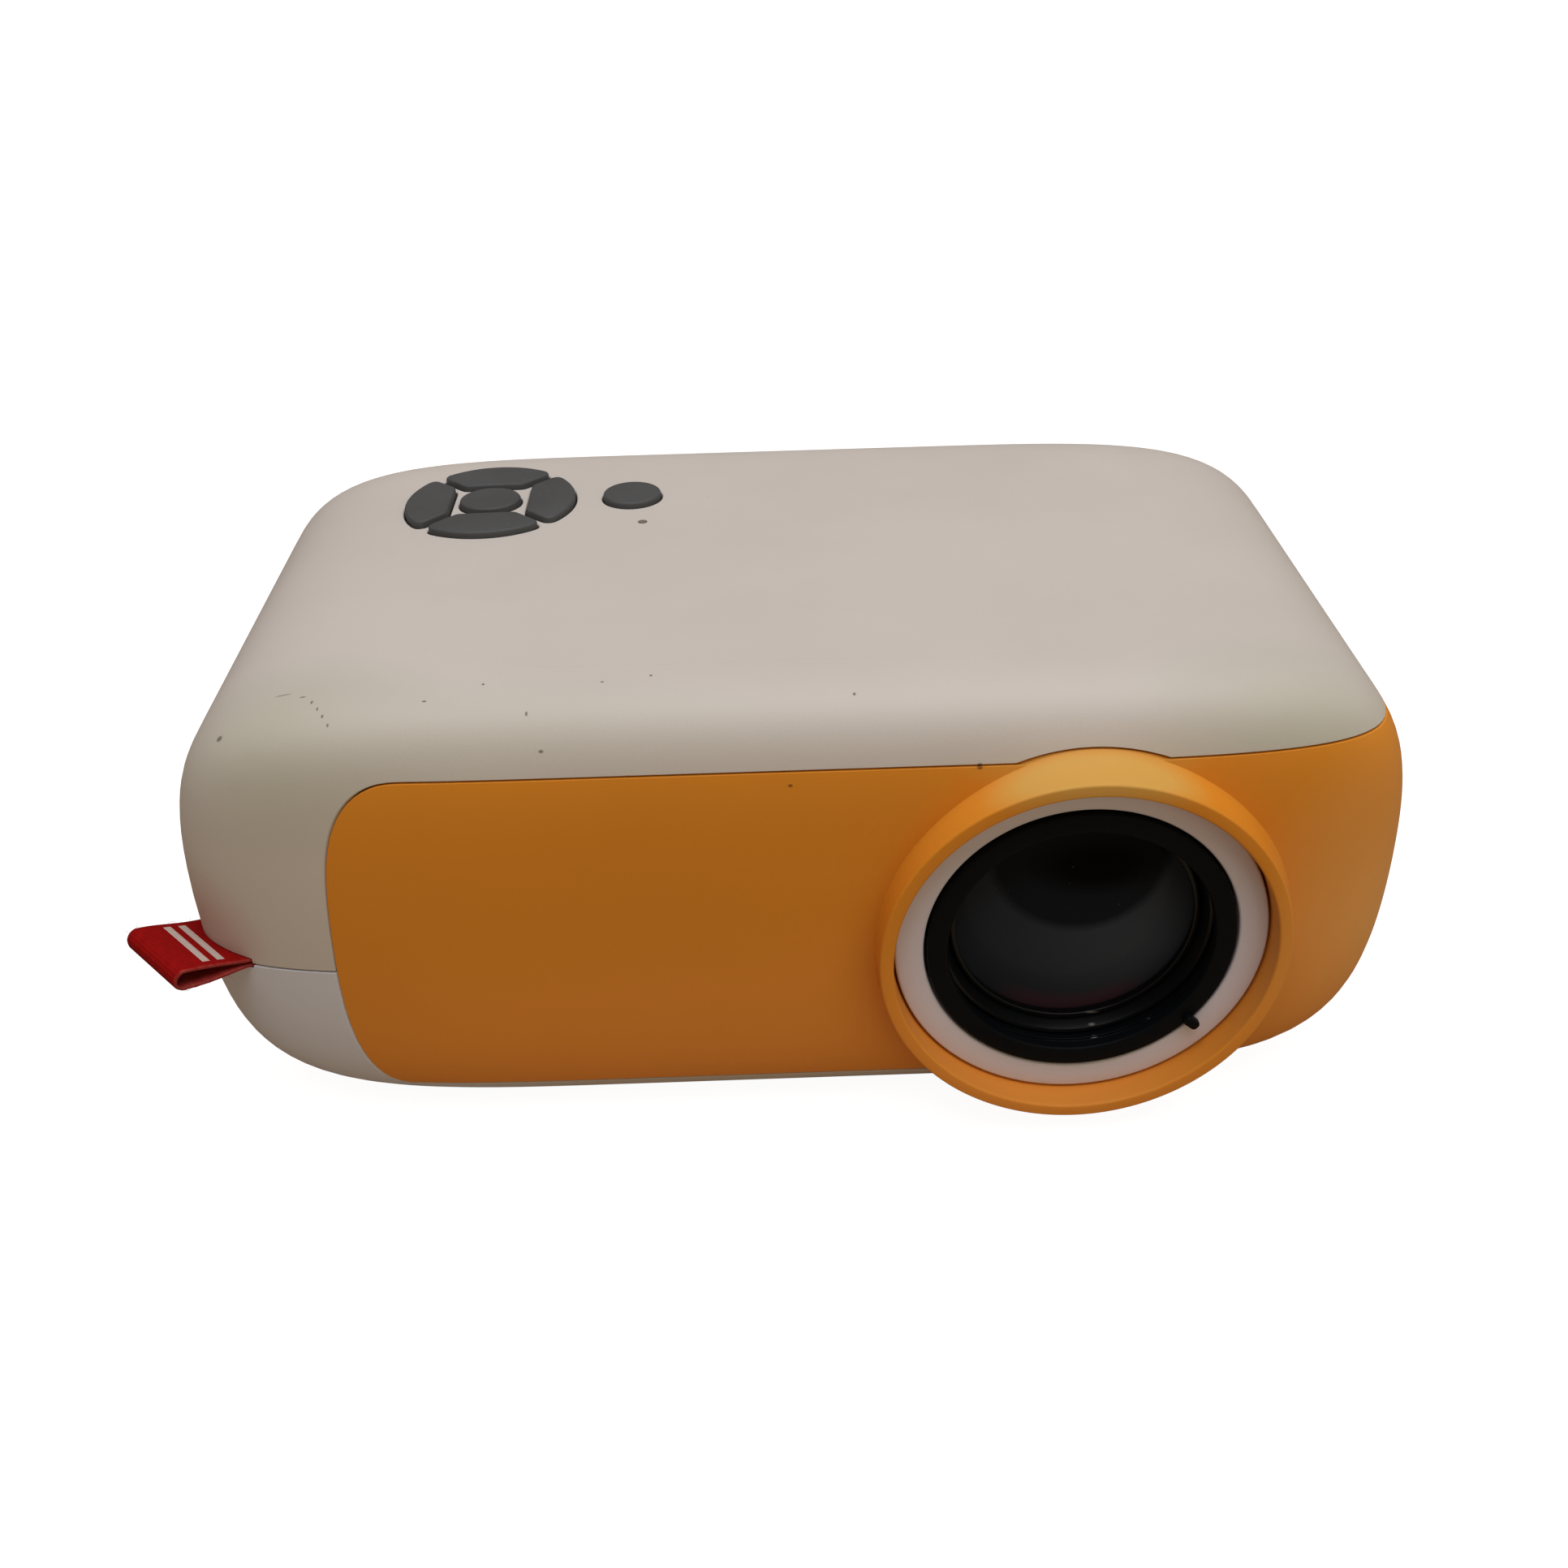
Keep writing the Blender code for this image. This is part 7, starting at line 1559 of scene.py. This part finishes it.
class CaseSizes(bpy.types.PropertyGroup):
    seam_gap: bpy.props.FloatProperty(
        name="Seam gap", description="Dark line between the two halves", default=0.00027, **LENGTH)
    seam_round: bpy.props.FloatProperty(
        name="Seam round", description="Rounding of both edges of the seam", default=0.00012, **LENGTH)
    cover_gap: bpy.props.FloatProperty(
        name="Cover gap", description="Dark line round the cover", default=0.00020, **LENGTH)
    cover_edge: bpy.props.FloatProperty(
        name="Cover edge", description="Rounding of the cover's outline", default=0.00010, **LENGTH)
    lip_round: bpy.props.FloatProperty(
        name="Hood lip", description="Rounding of the hood's lip", default=0.00030, **LENGTH)


class KeySizes(bpy.types.PropertyGroup):
    corner_round: bpy.props.FloatProperty(
        name="Key corners", description="Corner radius of the keys' outlines", default=0.00105, **LENGTH)
    edge_round: bpy.props.FloatProperty(
        name="Key edge", description="Rounding of the keys' upper edges", default=0.00032, **LENGTH)
    crown: bpy.props.FloatProperty(
        name="Key crown", description="Rise of a key's top above its edge", default=0.00012, **LENGTH)


class RibbonSizes(bpy.types.PropertyGroup):
    thickness: bpy.props.FloatProperty(
        name="Ribbon thickness", description="Thickness of the woven ribbon", default=0.00046, **LENGTH)
    fibres: bpy.props.IntProperty(
        name="Loose fibres", description="Short hairs along the ribbon's edges", default=46, min=0, max=400)


class FinishColours(bpy.types.PropertyGroup):
    shell: bpy.props.FloatVectorProperty(
        name="Case", description="Satin plastic of the two halves", default=(0.62, 0.574, 0.54), **COLOUR)
    cover: bpy.props.FloatVectorProperty(
        name="Cover", description="Satin plastic of the front cover", default=(0.75, 0.270, 0.0205), **COLOUR)
    trim: bpy.props.FloatVectorProperty(
        name="Trim ring", description="Pale ring round the lens", default=(0.71, 0.69, 0.80), **COLOUR)
    keys: bpy.props.FloatVectorProperty(
        name="Keys", description="Rubber of the keys", default=(0.072, 0.075, 0.080), **COLOUR)
    ribbon: bpy.props.FloatVectorProperty(
        name="Ribbon", description="Woven ribbon", default=(0.305, 0.0048, 0.0044), **COLOUR)


class StageSettings(bpy.types.PropertyGroup):
    ceiling_power: bpy.props.FloatProperty(
        name="Ceiling light", description="Power of the large light above", default=7.4, **POWER)
    ceiling_colour: bpy.props.FloatVectorProperty(
        name="Ceiling tint", description="Colour of the large light above", default=(0.93, 0.95, 1), **COLOUR)
    right_power: bpy.props.FloatProperty(
        name="Right light", description="Power of the light in front on the right", default=0.9, **POWER)
    right_colour: bpy.props.FloatVectorProperty(
        name="Right tint", description="Colour of the light on the right", default=(1, 0.93, 0.55), **COLOUR)
    surroundings: bpy.props.FloatProperty(
        name="Surroundings", description="Strength of the soft surroundings", default=0.20, min=0)
    surround_colour: bpy.props.FloatVectorProperty(
        name="Surround tint", description="Colour of the surroundings", default=(1, 0.77, 0.48), **COLOUR)


# Stage

# The camera's yaw, pitch and roll in degrees, its place in the case's coordinates and its focal length in mm
CAMERA_TURN = (0.784, 31.831, -1.46)
CAMERA_PLACE = (-0.003281, -0.19534, 0.143834)
CAMERA_LENS = 39.391
FLOOR_REACH = 3.0
FLOOR_GLOW = 1.35
FLOOR_GLOW_SHARE = 0.7


def floor_finish():
    """Matt floor that the camera sees as white, with the object's shadow kept, and that bounces a muted warm light."""
    finish = Finish("stage_floor", (0.9, 0.9, 0.9))
    grain = finish.noise(finish.place(), 30.0)
    seen = finish.seen()
    tone = finish.blend(seen, (0.40, 0.305, 0.22), finish.blend(grain, (0.87, 0.87, 0.87), (0.90, 0.90, 0.90)))
    matt = finish.node("ShaderNodeBsdfDiffuse", {}, {"Color": tone})
    glow = finish.node("ShaderNodeEmission", {}, {"Color": (1, 1, 1, 1), "Strength": FLOOR_GLOW})
    mixed = finish.node("ShaderNodeMixShader", {}, {0: seen * FLOOR_GLOW_SHARE, 1: matt, 2: glow})
    finish.end_in("ShaderNodeOutputMaterial", mixed)
    return finish.material


def area_light(name, place, target, size, power, colour):
    light = bpy.data.lights.new(name, "AREA")
    light.shape = "RECTANGLE"
    light.size, light.size_y = size
    light.energy = power
    light.color = colour
    lamp = bpy.data.objects.new(name, light)
    lamp.location = place
    lamp.rotation_euler = (Vector(target) - Vector(place)).to_track_quat("-Z", "Y").to_euler()
    bpy.context.scene.collection.objects.link(lamp)


def surround(strength, colour):
    """Dim warm surroundings, white to the camera and through clear pieces. Gloss keeps the dim ones."""
    world = bpy.data.worlds.new("surroundings")
    world.use_nodes = True
    nodes = Nodes(world.node_tree)
    dim = nodes.node("ShaderNodeBackground", {}, {"Color": (*colour, 1), "Strength": strength})
    white = nodes.node("ShaderNodeBackground", {}, {"Color": (1, 1, 1, 1)})
    nodes.end_in("ShaderNodeOutputWorld", nodes.node("ShaderNodeMixShader", {}, {0: nodes.seen(), 1: dim, 2: white}))
    bpy.context.scene.world = world


def place_camera(scene):
    """The camera at the photograph's angle: high in front, a touch to the left of the lens."""
    yaw, pitch, roll = (radians(angle) for angle in CAMERA_TURN)
    ahead = Vector((sin(yaw) * cos(pitch), cos(yaw) * cos(pitch), -sin(pitch)))
    right = Vector((cos(yaw), -sin(yaw), 0))
    up = right.cross(ahead)
    level_right = right * cos(roll) + up * sin(roll)
    level_up = up * cos(roll) - right * sin(roll)
    lens = bpy.data.cameras.new("camera")
    lens.lens = CAMERA_LENS
    lens.sensor_width = 36.0
    lens.clip_start = 0.005
    camera = bpy.data.objects.new("camera", lens)
    turn = Matrix((level_right, level_up, -ahead)).transposed().to_4x4()
    camera.matrix_world = Matrix.Translation(CASE_PLACE + Vector(CAMERA_PLACE)) @ turn
    scene.collection.objects.link(camera)
    scene.camera = camera


# Operators: one for each piece or group of like pieces


class PROJECTOR_OT_stage(bpy.types.Operator):
    """Sets up the floor, the soft lights, the surroundings and the camera"""

    bl_idname = "projector.stage"
    bl_label = "Stage"

    def execute(self, context):
        settings = context.scene.projector_stage
        corners = [(x * FLOOR_REACH, y * FLOOR_REACH, 0) for x, y in ((-1, -1), (1, -1), (1, 1), (-1, 1))]
        shape = plain_mesh("stage_floor", corners, faces=[(0, 1, 2, 3)])
        shape.materials.append(floor_finish())
        floor = helper(shape)
        power, colour = settings.ceiling_power, settings.ceiling_colour
        area_light("ceiling_light", (0.05, -0.15, 0.90), (0, 0, 0.02), (0.9, 0.9), power, colour)
        power, colour = settings.right_power, settings.right_colour
        area_light("right_light", (0.60, -0.80, 0.40), (0, 0, 0.03), (0.8, 0.6), power, colour)
        surround(settings.surroundings, settings.surround_colour)
        place_camera(context.scene)
        context.scene.view_settings.view_transform = "Standard"
        return {"FINISHED"}


class PROJECTOR_OT_case(bpy.types.Operator):
    """Builds the two halves of the case with their seam, air slots, key openings and rear openings"""

    bl_idname = "projector.case"
    bl_label = "Case halves"

    def execute(self, context):
        scene = context.scene
        upper = upper_half(scene.projector_case, scene.projector_ribbon, scene.projector_keys)
        lower = lower_half(scene.projector_case, scene.projector_ribbon)
        piece("upper_half", upper, "white_plastic", "housing", "white_plastic", "upper_shell")
        piece("lower_half", lower, "lower_plastic", "housing", "white_plastic", "lower_shell")
        return {"FINISHED"}


class PROJECTOR_OT_cover(bpy.types.Operator):
    """Builds the front cover with its hood and sound slots"""

    bl_idname = "projector.cover"
    bl_label = "Front cover"

    def execute(self, context):
        mesh = front_cover(context.scene.projector_case)
        piece("front_cover", mesh, "orange_plastic", "housing", "orange_plastic", "front_panel")
        return {"FINISHED"}


class PROJECTOR_OT_lens(bpy.types.Operator):
    """Builds the trim ring, the focus ring with its fine ribs, the barrel, the front glass and its retainer"""

    bl_idname = "projector.lens"
    bl_label = "Lens"

    def execute(self, context):
        piece("trim_ring", trim_ring(), "trim_plastic", "housing", "white_plastic", "lens_trim_ring")
        piece("focus_ring_visual", focus_ring(), "ring_black", "focus_ring", "black_plastic", "focus_ring")
        piece("lens_barrel", lens_barrel(), "barrel_black", "lens_carrier", "black_plastic", "lens_cell")
        piece("front_glass", front_glass(), "lens_glass", "lens_carrier", "lens_glass", "front_lens")
        piece("glass_retainer", glass_retainer(), "barrel_black", "lens_carrier", "black_plastic", "front_retainer")
        sizes = {"Radius": FOCUS_BORE - 0.00012, "Pitch": 0.00042, "Thickness": 0.00010}
        ribs = ring_stack("barrel_black", Count=4, Facets=128, **sizes)
        start = Vector((LENS_X, FOCUS_Y + FOCUS_LIP_THICK + 0.00020, LENS_Z))
        ribs.transform(Matrix.Translation(start) @ Matrix.Rotation(-pi / 2, 4, "X"))
        piece("lens_baffles", smooth(ribs), "barrel_black", "focus_ring", "black_plastic")
        return {"FINISHED"}


class PROJECTOR_OT_keys(bpy.types.Operator):
    """Builds the five keys of the pad and the power key"""

    bl_idname = "projector.keys"
    bl_label = "Keys"

    def execute(self, context):
        for name in KEY_FORMS:
            piece(f"{name}_cap", key_cap(name, context.scene.projector_keys), "key_rubber", name, "key_rubber", name)
        return {"FINISHED"}


class PROJECTOR_OT_ribbon(bpy.types.Operator):
    """Builds the folded ribbon tag and its loose fibres"""

    bl_idname = "projector.ribbon"
    bl_label = "Ribbon tag"

    def execute(self, context):
        sizes = context.scene.projector_ribbon
        tag = piece("ribbon_tag", ribbon_mesh(sizes), "red_ribbon", "housing", "red_ribbon", "tag_loop")
        fuzz = piece("ribbon_fuzz", ribbon_fuzz(sizes), "ribbon_fibre", "housing", "red_ribbon")
        length = float(np.hypot(*np.diff(np.array(ribbon_path(0)), axis=0).T).sum())
        return {"FINISHED"}


def ribbon_fuzz(sizes):
    """Short curled hairs on the ribbon's cut edges."""
    chosen = np.random.default_rng(7)
    path = np.array(ribbon_path(sizes.thickness / 2))[2:-2]
    roots = []
    for _ in range(sizes.fibres):
        along, height = path[chosen.integers(len(path))]
        side = 1 if chosen.random() < 0.55 else -1
        roots.append(on_tag(along, side * (TAG_WIDTH / 2 - 0.0002), height))
    points = []
    for step in range(7):
        share = step / 6
        radius = 0.000022 * (1 - 0.5 * step / 6)
        section = oval((0.00035 * sin(share * 2.6), 0.00028 * share**2), radius, radius, 4)
        points += [point_on("X", u, v, 0.0011 * share) for u, v in section]
    hair = mesh_of("hair", points, grid_faces(7, 4, True) + [(3, 2, 1, 0), (24, 25, 26, 27)])
    return smooth(copied(hair, roots, "ribbon_fibre", turn=pi, tilt=0.9, spread=0.6, seed=11), 80)


class PROJECTOR_OT_underside(bpy.types.Operator):
    """Builds the rubber feet, the case screws and the threaded tripod insert"""

    bl_idname = "projector.underside"
    bl_label = "Feet, screws and insert"

    def execute(self, context):
        feet = copied(foot_pattern(), [(*place, 0) for place in middles_of("foot")], "foot_rubber")
        piece("feet", smooth(feet), "foot_rubber", "housing", "foot_rubber", "foot_1", "foot_2", "foot_3", "foot_4")
        low, high = case_box("case_screw_1")
        places = [(*place, low.z) for place in middles_of("case_screw")]
        screws = copied(screw_pattern(high.z - low.z), places, "screw_steel", turn=0.7)
        nodes = [f"case_screw_{index}" for index in range(1, 5)]
        piece("case_screws", smooth(screws), "screw_steel", "housing", "screw_steel", *nodes)
        low, high = case_box("tripod_insert")
        insert = insert_body(low.z, high.z)
        piece("tripod_insert_body", insert, "insert_brass", "housing", "insert_brass", "tripod_insert")
        thread = ring_stack("insert_brass", Count=5, Radius=0.00312, Pitch=0.00064, Thickness=0.00019, Facets=72)
        thread.transform(Matrix.Translation((0, 0, low.z + 0.0008)))
        piece("tripod_thread", smooth(thread), "insert_brass", "housing", "insert_brass")
        return {"FINISHED"}


def foot_pattern():
    """A rubber foot with a rounded rim and a shallow dish."""
    top = STANDOFF + 0.0007
    profile = [(0.0004, 0.00022), (0.0030, 0.00020), (0.0034, 0.00002), (0.0036, 0)]
    profile += arc((0.0045, 0.0005), 0.0005, -90, 0, 6) + [(0.0050, top), (0.0004, top)]
    return mesh_of("foot", *turned(profile, "Z", (0, 0), 64))


def screw_pattern(length):
    """A pan-headed screw, head down, with a cross recess."""
    profile = [(0.0002, 0)] + arc((0.0018, 0.0006), 0.0006, -90, 0, 5) + [(0.0024, 0.0018), (0.00125, 0.0018)]
    profile += [(0.00125, length - 0.0012), (0.0002, length)]
    head = mesh_of("screw", *turned(profile, "Z", (0, 0), 48))
    reach, half = 0.0013, 0.00028
    bars = [block((-x, -y, -OVERRUN), (x, y, OVERRUN)) for x, y in ((reach, half), (half, reach))]
    return carved(head, *differences(*[mesh_of("recess", *bar) for bar in bars]))


def insert_body(low, high):
    """The brass insert, a tube with a rounded lower rim."""
    profile = [(0.0031, low + 0.0004)] + arc((0.0036, low + 0.0002), 0.0002, 200, 270, 3)
    profile += arc((0.0044, low + 0.0002), 0.0002, -90, 0, 3) + [(0.0046, high), (0.0031, high)]
    return smooth(mesh_of("insert", *turned(profile, "Z", (0, 0), 96, True)))


# Total, pitch, width and height of the contacts in each socket
CONTACTS = {"usb_port": (4, 0.0021, 0.0010, 0.00035), "hdmi_port": (9, 0.00098, 0.00045, 0.00025)}


class PROJECTOR_OT_sockets(bpy.types.Operator):
    """Builds the contacts of the sockets and the cloth in front of the speaker"""

    bl_idname = "projector.sockets"
    bl_label = "Sockets and speaker cloth"

    def execute(self, context):
        for name, (total, pitch, width, height) in CONTACTS.items():
            low, high = case_box(name)
            middle, level = (low.x + high.x) / 2, (low.z + high.z) / 2 + height
            places = [(middle + (index - (total - 1) / 2) * pitch, high.y - 0.0048, level) for index in range(total)]
            strip = mesh_of("strip", *block((-width / 2, -0.0035, 0), (width / 2, 0.0035, 0.00012)))
            contacts = copied(strip, places, "contact_gold", seed=5)
            piece(f"{name}_contacts", contacts, "contact_gold", "housing", "insert_brass")
        piece("speaker_cloth", speaker_cloth(), "speaker_cone", "housing", "black_plastic")
        return {"FINISHED"}


def speaker_cloth():
    """A round cloth of crossed wires, inside the speaker's rim."""
    face = case_box("speaker_driver")[1].x - 0.0001
    pitch, radius = 0.00062, 0.0108
    count = int(radius / pitch)
    points, edges, index = [], [], {}
    for row in range(-count, count + 1):
        for column in range(-count, count + 1):
            if hypot(row, column) * pitch <= radius:
                index[row, column] = len(points)
                points.append((face, SPEAKER_Y + column * pitch, SPEAKER_Z + row * pitch))
    for (row, column), first in index.items():
        for after in ((row + 1, column), (row, column + 1)):
            if after in index:
                edges.append((first, index[after]))
    return grown_by(wire_tree(), plain_mesh("cloth_grid", points, edges), "speaker_cone", {"Wire Radius": 0.00013})


NODE_FINISHES = {
    "black_plastic": ("lens_sleeve", "rear_retainer", "engine_case", "engine_lid", "fan_frame", "fan_rotor",
                      "ir_receiver"),
    "socket_black": ("dc_jack", "av_jack", "main_chip", "switch_up", "switch_down", "switch_left", "switch_right",
                     "switch_ok", "switch_power"),
    "lens_glass": ("rear_lens",),
    "window_glass": ("ir_window",),
    "clear_optic": ("fresnel_front", "fresnel_rear", "heat_glass", "condenser_lens", "lcd_panel"),
    "status_lens": ("light_pipe",),
    "mirror_glass": ("fold_mirror",),
    "board_green": ("key_board", "main_board", "lamp_board"),
    "socket_steel": ("usb_port", "hdmi_port", "card_slot"),
    "fin_aluminium": ("heatsink",),
    "screw_steel": ("speaker_magnet",),
    "speaker_cone": ("speaker_driver",),
    "lamp_phosphor": ("lamp",),
}


class PROJECTOR_OT_inner_finishes(bpy.types.Operator):
    """Gives the model's own inner pieces their finishes"""

    bl_idname = "projector.inner_finishes"
    bl_label = "Inner pieces"

    def execute(self, context):
        for finish, names in NODE_FINISHES.items():
            for name in names:
                materials = frame["nodes"][name].data.materials
                if not materials:
                    materials.append(None)
                for index in range(len(materials)):
                    materials[index] = look(finish)
        return {"FINISHED"}


OPERATORS = (
    PROJECTOR_OT_stage,
    PROJECTOR_OT_case,
    PROJECTOR_OT_cover,
    PROJECTOR_OT_lens,
    PROJECTOR_OT_keys,
    PROJECTOR_OT_ribbon,
    PROJECTOR_OT_underside,
    PROJECTOR_OT_sockets,
    PROJECTOR_OT_inner_finishes,
)

GROUPS = {
    "projector_case": CaseSizes,
    "projector_keys": KeySizes,
    "projector_ribbon": RibbonSizes,
    "projector_finishes": FinishColours,
    "projector_stage": StageSettings,
}


class PROJECTOR_PT_panel(bpy.types.Panel):
    """Lists the sizes, the colours and the operators"""

    bl_idname = "PROJECTOR_PT_panel"
    bl_label = "Projector"
    bl_space_type = "VIEW_3D"
    bl_region_type = "UI"
    bl_category = "Projector"

    def draw(self, context):
        for group in GROUPS:
            box = self.layout.box()
            values = getattr(context.scene, group)
            for name in values.bl_rna.properties.keys():
                if name not in ("rna_type", "name"):
                    box.prop(values, name)
        for operator in OPERATORS:
            self.layout.operator(operator.bl_idname)


def register():
    for name, group in GROUPS.items():
        bpy.utils.register_class(group)
        setattr(bpy.types.Scene, name, bpy.props.PointerProperty(type=group))
    for shown in (*OPERATORS, PROJECTOR_PT_panel):
        bpy.utils.register_class(shown)


def unregister():
    for shown in (PROJECTOR_PT_panel, *reversed(OPERATORS)):
        bpy.utils.unregister_class(shown)
    for name, group in GROUPS.items():
        delattr(bpy.types.Scene, name)
        bpy.utils.unregister_class(group)


def main():
    register()
    for thing in [thing for thing in bpy.data.objects if thing.type in ("CAMERA", "LIGHT") or thing.name == "Cube"]:
        bpy.data.objects.remove(thing, do_unlink=True)
    for operator in OPERATORS:
        group, name = operator.bl_idname.split(".")
        getattr(getattr(bpy.ops, group), name)()
    bpy.context.view_layer.update()


if __name__ == "__main__":
    main()
